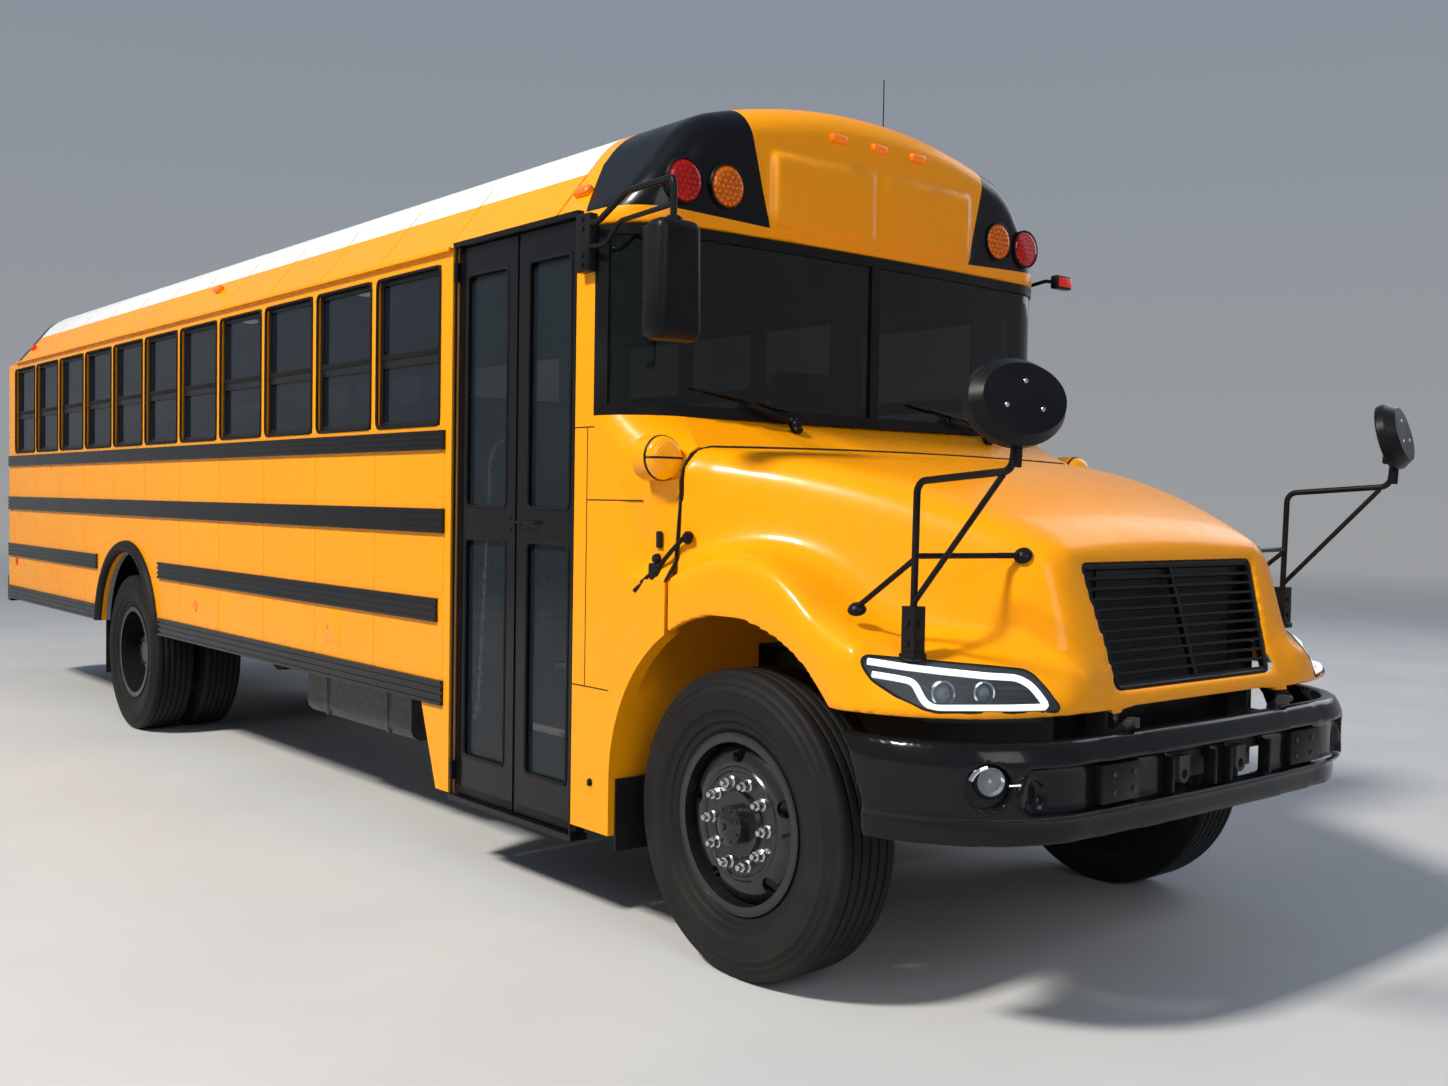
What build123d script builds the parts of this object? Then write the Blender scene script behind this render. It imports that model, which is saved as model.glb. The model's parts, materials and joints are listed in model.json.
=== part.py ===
from build123d import *
from math import atan2, cos, pi, sin, sqrt
import os

os.makedirs("parts", exist_ok=True)

# School bus, bonneted, with its entrance door on the right-hand side.
# Sizes are in millimetres. Z is up, Y runs rearwards, and X to the driver's side.
# Lengths along the bus are stations, measured rearwards from the front axle.
# Heights are taken from a datum that lies datum_up above the ground, and every
# plane and point below is placed through spot, which moves both to the model's origin.

# Overall sizes
wheelbase = 6337
body_half = 1219
front_reach = 1207.5
rear_reach = 9780
clear_half = body_half + 81
mid_station = (rear_reach - front_reach) / 2
datum_up = 20

# Body shell
wall = 60
skirt_z = 680
sill_z = 1905
eaves_z = 2656
window_top_z = eaves_z - 41
crown_z = 3195
crown_half = body_half - 419
crown_edge_z = 3083
corner_half = body_half - 234
corner_z = 2958
roof_wall = 45
body_front = 888
body_rear = rear_reach - 220
floor_top = 1080
floor_thick = 40
joint_gap = 0.5
seat_gap = 0.3

# Front wheel arch
arch_radius = 650
arch_station = -10
arch_z = 560

# Front cap, windshield and cowl
cap_front = 500
cap_flat_half = corner_half
cap_flat_back = 530
cap_side = 762
cap_round = 130
shield_bottom = sill_z + 3
shield_top = eaves_z - 45
cowl_front = 315
cowl_slope_top = 470
cowl_slope_z = 1800
cowl_bottom = 350
cowl_arch_back = arch_station + arch_radius
cowl_curve = 600
firewall_station = 600

# Hood and its fenders
hood_rear = 305
hood_wall = 30
nose_z = 965
nose_station = -1050
hood_hinge_station = -1082
hood_hinge_z = 932

# Wheels and axles
tyre_radius = 525
tyre_width = 279
rim_radius = 308
axle_z = tyre_radius - datum_up
front_wheel_x = body_half - 189
kingpin_x = front_wheel_x - 170
dual_outer_x = body_half - 159
dual_inner_x = dual_outer_x - 315
rear_arch_radius = tyre_radius + 50
rear_arch_z = 613
arch_trim_width = 80
arch_trim_proud = 41

# Doorway and its two leaves
door_front = body_front
door_rear = door_front + 960
door_top = eaves_z + 16
door_bottom = 303
door_head = door_top + 18
leaf_inset = 30
leaf_thick = 40
leaf_gap = 7
leaf_split = (door_front + door_rear) / 2 - 13
leaf_centre_gap = 20
leaf_stile = 70

# Side windows
window_pitch = 677
first_mullion = door_rear + 76
window_count = int((body_rear - 180 - first_mullion) / window_pitch)
mullion = 54
sash = 32
sash_depth = 24
window_inset = 18

# Rub rails
rail_proud = 16
rail_rear = body_rear - 19

# Chassis
rail_half = 430
rail_width = 80
frame_top = floor_top - 80
frame_bottom = frame_top - 260
frame_front = -960
frame_rear = body_rear - wall
hanger_z = frame_bottom - 120
tow_station = -1085


def spot(x, station, z):
    """A point of the bus in the model's frame."""
    return Vector(x, station - mid_station, z + datum_up)


def across(station):
    """A plane across the bus: draw with X to the right and Z up."""
    return Plane(origin=spot(0, station, 0), x_dir=(1, 0, 0), z_dir=(0, -1, 0))


def along(x):
    """A plane along the bus: draw with the station to the right and Z up."""
    return Plane(origin=spot(x, 0, 0), x_dir=(0, 1, 0), z_dir=(1, 0, 0))


def level(z):
    """A level plane: draw with X to the right and the station up."""
    return Plane(origin=spot(0, 0, z), x_dir=(1, 0, 0), z_dir=(0, 0, 1))


def block(low, high, mode=Mode.ADD):
    """A block between two corners, each (x, station, z)."""
    with BuildSketch(level(low[2])) as base:
        with Locations(((low[0] + high[0]) / 2, (low[1] + high[1]) / 2)):
            Rectangle(high[0] - low[0], high[1] - low[1])
    extrude(base.sketch, amount=high[2] - low[2], mode=mode)


def pair(low, high, mode=Mode.ADD):
    """Two blocks, the second mirrored to the door side."""
    block(low, high, mode)
    block((-high[0], low[1], low[2]), (-low[0], high[1], high[2]), mode)


def prism(plane, points, amount, mode=Mode.ADD):
    """A straight-sided prism on a plane, from its corners."""
    with BuildSketch(plane) as base:
        with BuildLine():
            Polyline(*points, close=True)
        make_face()
    extrude(base.sketch, amount=amount, mode=mode)


def rod(start, end, radius, mode=Mode.ADD):
    """A round bar between two points, each (x, station, z)."""
    a = spot(*start)
    b = spot(*end)
    with BuildSketch(Plane(origin=a, z_dir=b - a)) as base:
        Circle(radius)
    extrude(base.sketch, amount=(b - a).length, mode=mode)


def tube(points, radius, bend):
    """A bent round bar through points, each (x, station, z)."""
    places = [spot(*point) for point in points]
    with BuildLine() as path:
        FilletPolyline(*places, radius=bend)
    with BuildSketch(Plane(origin=places[0], z_dir=places[1] - places[0])) as base:
        Circle(radius)
    sweep(base.sketch, path=path.line)


def finish(piece, name):
    """Label a finished piece and write it to its file."""
    piece.label = name
    export_step(piece, f"parts/{name}.step")


def roof_outline(inset):
    """The closed roof section between the eaves, drawn smaller by inset."""
    half = body_half - inset
    foot = eaves_z - inset * 0.34
    edge = (crown_half - inset * 0.27, crown_edge_z - inset * 0.96)
    corner = (corner_half - inset * 0.79, corner_z - inset * 0.61)
    with BuildSketch() as outline:
        with BuildLine():
            crown = ThreePointArc((-edge[0], edge[1]), (0, crown_z - inset), edge)
            TangentArc(edge, corner, tangent=crown % 1)
            Polyline(corner, (half, foot), (-half, foot), (-corner[0], corner[1]))
            TangentArc((-edge[0], edge[1]), (-corner[0], corner[1]), tangent=(crown % 0) * -1)
        make_face()
    return outline.sketch


def roof_block(inset, start, end):
    """A solid under the roof section, from one station to another."""
    with BuildPart() as solid:
        with BuildSketch(across(end)):
            add(roof_outline(inset))
        extrude(amount=end - start)
    return solid.part


# The plan of the cap and windshield: nearly flat ahead, wrapped at the corners.
def cap_plan(inset, back, plane):
    """The front's plan, closed at the station back, drawn smaller by inset."""
    side = body_half - inset
    flat = (cap_flat_half - inset * 0.06, cap_flat_back + inset)
    with BuildSketch(plane) as plan:
        with BuildLine():
            front = ThreePointArc((-flat[0], flat[1]), (0, cap_front + inset), flat)
            TangentArc(flat, (side, cap_side), tangent=front % 1)
            Polyline((side, cap_side), (side, back), (-side, back), (-side, cap_side))
            TangentArc((-flat[0], flat[1]), (-side, cap_side), tangent=(front % 0) * -1)
        make_face()
    return plan.sketch


window_starts = [first_mullion + window_pitch * i for i in range(window_count)]
rear_axle_station = wheelbase
window_low = sill_z + 5
window_high = window_top_z - 5
driver_window = (body_front + 72, first_mullion - 134, 1640, window_high - 90, 2110)


# Side walls: skirt, window band and pillars
def side_wall(side):
    """One side wall with its windows and rear wheel arch cut."""
    inner = side * (body_half - wall)
    outer = side * body_half
    low_x, high_x = min(inner, outer), max(inner, outer)
    with BuildPart() as shell:
        start = door_rear if side < 0 else body_front + joint_gap
        block((low_x, start, skirt_z), (high_x, body_rear - wall - joint_gap, eaves_z - joint_gap))
        if side < 0:
            prism(
                along(low_x),
                [
                    (start, door_bottom + 5),
                    (start + 112, door_bottom + 5),
                    (start + 253, skirt_z),
                    (start, skirt_z),
                ],
                wall,
            )
            block((low_x, start, skirt_z), (high_x, start + 20, eaves_z - joint_gap))
        else:
            prism(
                along(low_x),
                [
                    (start, cowl_bottom),
                    (door_rear - 148, cowl_bottom),
                    (door_rear, skirt_z),
                    (start, skirt_z),
                ],
                wall,
            )
            a, b, low, high, rail = driver_window
            block((low_x, a, low), (high_x, b, high), Mode.SUBTRACT)
        for s in window_starts:
            block(
                (low_x, s + mullion / 2, window_low),
                (high_x, s + window_pitch - mullion / 2, window_high),
                Mode.SUBTRACT,
            )
        with BuildSketch(along(low_x)) as arch:
            with Locations((rear_axle_station, rear_arch_z)):
                Circle(rear_arch_radius)
        extrude(arch.sketch, amount=wall, mode=Mode.SUBTRACT)
        block(
            (low_x, rear_axle_station - rear_arch_radius, skirt_z - 100),
            (high_x, rear_axle_station + rear_arch_radius, rear_arch_z + 70),
            Mode.SUBTRACT,
        )
    return shell.part


finish(side_wall(-1), "side_wall_right")
finish(side_wall(1), "side_wall_left")

# Roof: white centre panels, from the cap to the rear cap, with two hatch holes
roof_front = 1095
roof_back = body_rear - 300
paint_half = body_half - 179
hatch_stations = (3350, body_rear - 2160)
hatch_half = 300
hatch_curb = 30
hatch_reach = hatch_half + hatch_curb + 25
hatch_lug_x = 200
hatch_pin = 5
hatch_pin_z = crown_z + 30
lid_low = crown_z + 18 + seat_gap

with BuildPart() as roof:
    add(roof_block(0, roof_front, roof_back))
    add(roof_block(roof_wall, roof_front, roof_back), mode=Mode.SUBTRACT)
    pair((paint_half, roof_front, 2500), (body_half, roof_back, crown_z), Mode.SUBTRACT)
    for s in hatch_stations:
        block(
            (-hatch_half - hatch_curb, s - hatch_half - hatch_curb, crown_z - 80),
            (hatch_half + hatch_curb, s + hatch_half + hatch_curb, crown_z + 18),
        )
        block(
            (-hatch_half, s - hatch_half, crown_z - 200),
            (hatch_half, s + hatch_half, crown_z + 40),
            Mode.SUBTRACT,
        )
        edge = s - hatch_reach
        for x in (-hatch_lug_x, hatch_lug_x):
            block((x - 12, edge - 8, crown_z - 5), (x + 12, s - hatch_half - hatch_curb, crown_z + 17))
            block((x - 12, edge - 8, crown_z - 5), (x + 12, edge + 8, hatch_pin_z + 8))
            low, high = sorted((x, x * (hatch_lug_x + 86) / hatch_lug_x))
            rod((low, edge, hatch_pin_z), (high, edge, hatch_pin_z), hatch_pin)
finish(roof.part, "roof")

# Roof coves: the painted lower bands of the roof, each with its drip rail
with BuildPart() as coves:
    add(roof_block(0, roof_front, roof_back))
    add(roof_block(roof_wall, roof_front, roof_back), mode=Mode.SUBTRACT)
    block((-paint_half, roof_front, 2500), (paint_half, roof_back, crown_z + 20), Mode.SUBTRACT)
    pair((body_half - 20, roof_front, eaves_z), (body_half + 22, roof_back, eaves_z + 14))
    block((-clear_half, roof_front, 2500), (-body_half + 119, door_rear, door_head), Mode.SUBTRACT)
finish(coves.part, "roof_coves")

# Front cap: the raised front end of the roof
panel_low = 2668
panel_high = 2945
brow_back = 820
with BuildPart() as cap:
    add(roof_block(0, 400, roof_front - joint_gap))
    block((-body_half, 400, shield_top), (body_half, roof_front - joint_gap, eaves_z))
    with BuildSketch(level(shield_top)) as plan:
        add(cap_plan(0, roof_front - joint_gap, Plane.XY))
    extrude(plan.sketch, amount=crown_z, mode=Mode.INTERSECT)
    front_edges = cap.edges().filter_by(
        lambda e: e.center().Y < cap_side - mid_station and e.center().Z > eaves_z + 110
    )
    fillet(front_edges, cap_round)
    add(roof_block(roof_wall, brow_back, roof_front + 20), mode=Mode.SUBTRACT)
    inner = body_half - wall
    block((-inner, brow_back, shield_top - 20), (inner, body_front + 20, eaves_z), Mode.SUBTRACT)
    block((-clear_half, body_front, shield_top - 20), (clear_half, roof_front + 20, eaves_z), Mode.SUBTRACT)
    block((-850, cap_front + 170, shield_top - 20), (850, brow_back + 20, 2900), Mode.SUBTRACT)
    for x in (-302, 302):
        block((x - 272, cap_front - 16, panel_low), (x + 272, cap_front + 30, panel_high))
    block((-clear_half, door_front, 2500), (-body_half + 119, door_rear, door_head), Mode.SUBTRACT)
finish(cap.part, "front_cap")

# Rear cap: the rounded rear end of the roof, closing on the rear wall
rear_round = 210
with BuildPart() as rear_cap:
    add(roof_block(0, roof_back + joint_gap, body_rear))
    rear_edges = rear_cap.edges().filter_by(
        lambda e: e.center().Y > body_rear - mid_station - 1 and e.center().Z > eaves_z + 60
    )
    fillet(rear_edges, rear_round)
    add(roof_block(roof_wall, roof_back - 10, body_rear - rear_round - 20), mode=Mode.SUBTRACT)
    block((-900, roof_back, 2500), (900, body_rear - 90, 2900), Mode.SUBTRACT)
finish(rear_cap.part, "rear_cap")

# Rear wall with the emergency doorway and two windows each side
rear_door_half = 480
rear_door_low = 1060
rear_door_high = 2600
rear_window = (rear_door_half + 120, body_half - 129)
rear_window_high = window_high - 130
rear_pin_x = -rear_door_half - 6
rear_pin_station = body_rear + 16
rear_hinge_heights = (1250, 1830, 2410)
plate_x, plate_z = -rear_door_half - 300, 1290
plate_spacing = (178, 121)
plate_bolt = 3.5
with BuildPart() as rear_wall:
    block((-body_half, body_rear - wall, skirt_z), (body_half, body_rear, eaves_z - joint_gap))
    block(
        (-rear_door_half, body_rear - wall, rear_door_low),
        (rear_door_half, body_rear, rear_door_high),
        Mode.SUBTRACT,
    )
    a, b = rear_window
    pair((a, body_rear - wall, window_low), (b, body_rear, rear_window_high), Mode.SUBTRACT)
    for x in (-plate_spacing[0] / 2, plate_spacing[0] / 2):
        for z in (-plate_spacing[1] / 2, plate_spacing[1] / 2):
            place = (plate_x + x, body_rear - wall - 5, plate_z + z)
            rod(place, (place[0], body_rear + 5, place[2]), plate_bolt, Mode.SUBTRACT)
    for z in rear_hinge_heights:
        rod((rear_pin_x, rear_pin_station, z - 75), (rear_pin_x, rear_pin_station, z + 75), 6)
        for foot, head in ((z - 80, z - 52), (z + 52, z + 80)):
            block((rear_pin_x - 60, body_rear - 1, foot), (rear_pin_x + 4, rear_pin_station + 9, head))
finish(rear_wall.part, "rear_wall")

# Plans that shape the cowl's corners: height, flat half, front, mid point, start of the curve
cowl_plans = [
    (shield_bottom, cap_flat_half, cap_flat_back, (1150, 598), cap_side),
    (1786, body_half - 139, cowl_front, (1158, 445), cowl_curve),
    (1742, body_half - 81, cowl_front, (1186, 448), cowl_curve),
    (1640, body_half - 56, cowl_front, (1200, 450), cowl_curve),
    (1312, body_half - 36, cowl_front, (1208, 452), cowl_curve),
]


def cowl_plan(z, flat_half, front, middle, curve):
    """One level of the cowl's envelope: flat ahead, curved back into the body sides."""
    mid_x = middle[0] - 1219 + body_half
    with BuildSketch(level(z)) as plan:
        with BuildLine():
            Line((-flat_half, front), (flat_half, front))
            ThreePointArc((flat_half, front), (mid_x, middle[1]), (body_half, curve))
            Polyline(
                (body_half, curve),
                (body_half, body_front + 20),
                (-body_half, body_front + 20),
                (-body_half, curve),
            )
            ThreePointArc((-body_half, curve), (-mid_x, middle[1]), (-flat_half, front))
        make_face()
    return plan.sketch


# Turn lamps: round pods at the cowl's corners
turn_x = body_half - 18
turn_station = 365
turn_z = 1745
turn_radius = 82


def lens(x, station, z, radius, depth, rounding):
    """A round lens that stands ahead of a station."""
    with BuildPart(mode=Mode.PRIVATE) as glass:
        rod((x, station, z), (x, station - depth, z), radius)
        fillet(glass.faces().sort_by(Axis.Y)[0].edges(), rounding)
    add(glass.part)


# Cowl: the fixed body ahead of the doors, with the rear part of the front wheel arch
with BuildPart() as cowl_top:
    loft([cowl_plan(*row) for row in cowl_plans[:2]])
with BuildPart() as cowl_side:
    loft([cowl_plan(*row) for row in cowl_plans[1:]])
with BuildPart() as cowl:
    with BuildSketch(along(-body_half)):
        with BuildLine():
            arch_top_z = arch_z + sqrt(arch_radius**2 - (cowl_front - arch_station) ** 2)
            Polyline(
                (cowl_front, arch_top_z),
                (cowl_front, cowl_slope_z),
                (cowl_slope_top, shield_bottom - joint_gap),
                (body_front, shield_bottom - joint_gap),
                (body_front, cowl_bottom),
                (cowl_arch_back, cowl_bottom),
                (cowl_arch_back, arch_z),
            )
            ThreePointArc(
                (cowl_arch_back, arch_z),
                (arch_station + arch_radius * cos(0.55), arch_z + arch_radius * sin(0.55)),
                (cowl_front, arch_top_z),
            )
        make_face()
    extrude(amount=2 * body_half)
    with BuildPart(mode=Mode.PRIVATE) as envelope:
        add(cowl_top.part)
        add(cowl_side.part)
        block((-body_half, 0, 200), (body_half, body_front + 20, 1312))
    add(envelope.part, mode=Mode.INTERSECT)
    for x in (-turn_x, turn_x):
        rod((x, turn_station - 75, turn_z), (x, turn_station, turn_z), turn_radius, Mode.SUBTRACT)
        rod((x, turn_station, turn_z), (x, turn_station + 75, turn_z), turn_radius)
    inner = body_half - wall
    block((-inner, 700, 200), (inner, 900, sill_z + 10), Mode.SUBTRACT)
    block((-inner, firewall_station, 1130), (inner, 900, sill_z - 30), Mode.SUBTRACT)
    block((-inner, 200, 200), (inner, firewall_station - 40, 1740), Mode.SUBTRACT)
    block((-inner, 200, 200), (inner, firewall_station - 40, 1039), Mode.SUBTRACT)
    block((-560, 500, 200), (560, 900, 1039), Mode.SUBTRACT)
    pair((inner, cap_side + 5 + joint_gap, sill_z), (body_half, body_front, shield_top - joint_gap))
finish(cowl.part, "front_cowl")

# Windshield frame and its two bent panes
frame_depth = 30
pane_low = shield_bottom + 42
pane_high = shield_top - 40
pane_back = 700
divider = 24
with BuildPart() as shield_frame:
    with BuildSketch(level(shield_bottom)):
        add(cap_plan(0, cap_side + 5, Plane.XY))
        add(cap_plan(frame_depth, cap_side + 30, Plane.XY), mode=Mode.SUBTRACT)
    extrude(amount=shield_top - shield_bottom - joint_gap)
    pair((divider, 380, pane_low), (body_half + 40, pane_back, pane_high), Mode.SUBTRACT)
finish(shield_frame.part, "windshield_frame")

with BuildPart() as shield:
    with BuildSketch(level(pane_low + joint_gap)):
        add(cap_plan(10, cap_side + 5, Plane.XY))
        add(cap_plan(18, cap_side + 30, Plane.XY), mode=Mode.SUBTRACT)
    extrude(amount=pane_high - pane_low - 2 * joint_gap)
    block((-clear_half, pane_back - joint_gap, 1800), (clear_half, 900, 2700), Mode.SUBTRACT)
    block(
        (-divider - joint_gap, 380, 1800), (divider + joint_gap, 900, 2700), Mode.SUBTRACT
    )
finish(shield.part, "windshield")

# Floor with its cross sills, entrance steps and wheel housings
step_edges = [-body_half + 79 + 228 * i for i in range(4)]
step_heights = (360, 600, 840)
step_wall = 20
house_half = 630
house_top = 1225
house_inner = 570
with BuildPart() as floor:
    inner = body_half - wall - joint_gap
    block(
        (-inner, 701, floor_top - floor_thick), (inner, body_rear - wall - joint_gap, floor_top)
    )
    block((-inner, door_front, 900), (step_edges[3] + step_wall, door_rear, 1200), Mode.SUBTRACT)
    for s in [first_mullion + window_pitch * i for i in range(window_count + 1)]:
        block((-inner, s - 30, frame_top + joint_gap), (inner, s + 30, floor_top - floor_thick))
    for sign in (-1, 1):
        x0, x1 = sorted((sign * house_inner, sign * (inner)))
        low, high = rear_axle_station - house_half, rear_axle_station + house_half
        block((x0, low, floor_top - floor_thick), (x1, high, house_top))
    for sign in (-1, 1):
        x0, x1 = sorted((sign * (house_inner + 20), sign * (inner + 5)))
        low, high = rear_axle_station - house_half + 20, rear_axle_station + house_half - 20
        block((x0, low, frame_top - 100), (x1, high, house_top - 20), Mode.SUBTRACT)
finish(floor.part, "floor")

# Entrance steps: treads, risers and the two sides of the step well
with BuildPart() as steps:
    s0, s1 = door_front + 2, door_rear - 2
    for i in range(3):
        left, right, top = step_edges[i], step_edges[i + 1], step_heights[i]
        block((left, s0, top - 25), (right + step_wall, s1, top))
        head = step_heights[i + 1] if i < 2 else floor_top
        block((right, s0, top - 25), (right + step_wall - joint_gap, s1, head))
    for s in (s0, s1 - step_wall):
        block((step_edges[0], s, 335), (step_edges[3], s + step_wall, floor_top))
finish(steps.part, "entrance_steps")

# Side window sashes and panes, with the driver's own window
sash_x = body_half - window_inset - sash_depth
meeting_z = 2240


def window_places(side):
    """Each window of a side: first and last station, foot, head and meeting rail."""
    places = [
        (s + mullion / 2, s + window_pitch - mullion / 2, window_low, window_high, meeting_z)
        for s in window_starts
    ]
    if side > 0:
        places.append(driver_window)
    return places


with BuildPart() as sashes:
    for side in (-1, 1):
        x = sash_x if side > 0 else -sash_x - sash_depth
        for a, b, low, high, rail in window_places(side):
            block((x, a + joint_gap, low + joint_gap), (x + sash_depth, b - joint_gap, high - joint_gap))
            for foot, head in ((low, rail - sash / 2), (rail - sash / 2, high)):
                block(
                    (x, a + sash, foot + sash), (x + sash_depth, b - sash, head - sash), Mode.SUBTRACT
                )
finish(sashes.part, "window_sashes")

with BuildPart() as side_glass:
    for side in (-1, 1):
        x = side * (sash_x + sash_depth / 2) - 3
        for a, b, low, high, rail in window_places(side):
            for foot, head in ((low, rail - sash / 2), (rail - sash / 2, high)):
                block(
                    (x, a + sash + joint_gap, foot + sash + joint_gap),
                    (x + 6, b - sash - joint_gap, head - sash - joint_gap),
                )
    for side in (-1, 1):
        x0, x1 = sorted((side * (rear_window[0] + joint_gap), side * (rear_window[1] - joint_gap)))
        s = body_rear - wall / 2
        block((x0, s - 3, window_low + joint_gap), (x1, s + 3, rear_window_high - joint_gap))
finish(side_glass.part, "window_glass")

# Rub rails: foot, head, first station, broken at the rear wheel arch
rail_start = first_mullion - 26
rub_rails = [
    (1802, 1887, rail_start, False),
    (1437, 1544, rail_start, False),
    (1045, 1149, rail_start + 56, True),
    (681, 791, rail_start, True),
]
arch_clear = rear_arch_radius + arch_trim_width + 12
with BuildPart() as rails:
    for side in (-1, 1):
        face = side * body_half
        for foot, head, start, broken in rub_rails:
            spans = [(start, rail_rear)]
            if broken:
                spans = [
                    (start, rear_axle_station - arch_clear),
                    (rear_axle_station + arch_clear, rail_rear),
                ]
            height = head - foot
            ridge = height / 7
            outline = [(face, foot)]
            for i in range(7):
                proud = rail_proud if i % 2 == 0 else rail_proud - 7
                outline.append((face + side * proud, foot + ridge * i))
                outline.append((face + side * proud, foot + ridge * (i + 1)))
            outline.append((face, head))
            for a, b in spans:
                prism(across(b), outline, b - a)
finish(rails.part, "rub_rails")

# Wheel arch trims: half-round rubber lips over the rear wheels
trim_mid = rear_arch_radius + arch_trim_width / 2
with BuildPart() as trims:
    for side in (-1, 1):
        centre = Plane(
            origin=spot(side * body_half, rear_axle_station, rear_arch_z),
            x_dir=(0, 1, 0),
            z_dir=(0, 0, 1),
        )
        with BuildSketch(centre) as lip:
            with BuildLine():
                inner_edge = (rear_arch_radius, 0)
                outer_edge = (rear_arch_radius + arch_trim_width, 0)
                Line(inner_edge, outer_edge)
                ThreePointArc(outer_edge, (trim_mid, -side * arch_trim_proud), inner_edge)
            make_face()
        axis = Axis(spot(0, rear_axle_station, rear_arch_z), (1, 0, 0))
        revolve(lip.sketch, axis=axis, revolution_arc=360)
    low, high = rear_axle_station - 1300, rear_axle_station + 1300
    block((-clear_half, low, -300), (clear_half, high, skirt_z), Mode.SUBTRACT)
finish(trims.part, "wheel_arch_trims")


def hood_section(plane, foot_half, foot_z, side_half, side_z, top_half, top_z, crown):
    """One cross section of the hood's middle, from foot to crown."""
    bulge_x = side_half - (side_half - top_half) * 0.3
    bulge_z = top_z - (top_z - side_z) * 0.3
    with BuildSketch(plane) as section:
        with BuildLine():
            Line((-foot_half, foot_z), (foot_half, foot_z))
            Line((foot_half, foot_z), (side_half, side_z))
            ThreePointArc((side_half, side_z), (bulge_x, bulge_z), (top_half, top_z))
            ThreePointArc((top_half, top_z), (0, crown), (-top_half, top_z))
            ThreePointArc((-top_half, top_z), (-bulge_x, bulge_z), (-side_half, side_z))
            Line((-side_half, side_z), (-foot_half, foot_z))
        make_face()
    return section.sketch


nose_lean = atan2(154, 507)


def nose_plane(back):
    """The leaning plane of the nose, moved rearwards by back; up runs along its face."""
    face = (0, -cos(nose_lean), sin(nose_lean))
    return Plane(
        origin=spot(0, nose_station - back * face[1], nose_z - back * face[2]),
        x_dir=(1, 0, 0),
        z_dir=face,
    )


# Hood middle sections: foot half, foot, side half, side, top half, top edge, crown
hood_sections = [
    (hood_rear, body_half - 24, 1130, body_half - 56, 1640, body_half - 139, 1786, 1800),
    (-350, 1010, 1130, 880, 1560, 780, 1678, 1705),
]
nose_section = (640, 0, 668, 440, 590, 526, 556)


def hood_middle(inset, drop):
    """The hood's middle, drawn smaller by inset, its foot lowered by drop."""
    with BuildPart() as solid:
        sections = []
        for station, foot_half, foot_z, side_half, side_z, top_half, top_z, crown in hood_sections:
            if inset and station == hood_rear:
                station = station + 20
            sections.append(
                hood_section(
                    across(station),
                    foot_half - inset,
                    foot_z - drop,
                    side_half - inset,
                    side_z - inset * 0.7,
                    top_half - inset * 0.7,
                    top_z - inset,
                    crown - inset,
                )
            )
        foot_half, foot_z, side_half, side_z, top_half, top_z, crown = nose_section
        sections.append(
            hood_section(
                nose_plane(inset),
                foot_half - inset,
                foot_z - drop,
                side_half - inset,
                side_z - inset * 0.7,
                top_half - inset * 0.7,
                top_z - inset,
                crown - inset,
            )
        )
        loft(sections)
    return solid.part


def fender_pair(inset, drop):
    """Both fenders with the nose corners, drawn smaller by inset."""
    half = body_half - inset
    with BuildPart() as solid:
        for side in (-1, 1):
            with BuildPart(mode=Mode.PRIVATE) as fender:
                with BuildSketch(along(0)) as profile:
                    with BuildLine():
                        Polyline(
                            (-1080, 1105 - inset),
                            (-1080, nose_z - drop),
                            (hood_rear + 20, nose_z - drop),
                            (hood_rear + 20, 1312 - inset),
                            (hood_rear, 1312 - inset),
                        )
                        ThreePointArc(
                            (hood_rear, 1312 - inset), (-60, 1428 - inset), (-400, 1262 - inset)
                        )
                        ThreePointArc(
                            (-400, 1262 - inset), (-700, 1152 - inset), (-1080, 1105 - inset)
                        )
                    make_face()
                extrude(profile.sketch, amount=side * clear_half)
                with BuildSketch(level(600)) as plan:
                    with BuildLine():
                        Polyline(
                            (side * 400, hood_rear + 30),
                            (side * half, hood_rear + 30),
                            (side * half, -440),
                        )
                        ThreePointArc(
                            (side * half, -440),
                            (side * (1172 - inset), -760 + inset * 0.4),
                            (side * (930 - inset * 0.5), -985 + inset),
                        )
                        ThreePointArc(
                            (side * (930 - inset * 0.5), -985 + inset),
                            (side * (780 - inset * 0.3), -1030 + inset),
                            (side * (600 - inset * 0.3), nose_station + inset),
                        )
                        Polyline(
                            (side * (600 - inset * 0.3), nose_station + inset),
                            (side * 400, nose_station + inset),
                            (side * 400, hood_rear + 30),
                        )
                    make_face()
                extrude(plan.sketch, amount=1000, mode=Mode.INTERSECT)
            add(fender.part)
    return solid.part


# Headlamp outline seen from ahead: distance from the middle, height
lamp_outline = [(715, 985), (825, 1128), (1230, 1148), (1230, 1130), (1120, 1048), (1000, 1002)]
hinge_x = 470
hinge_plate = 24
hinge_pin = 10

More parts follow.
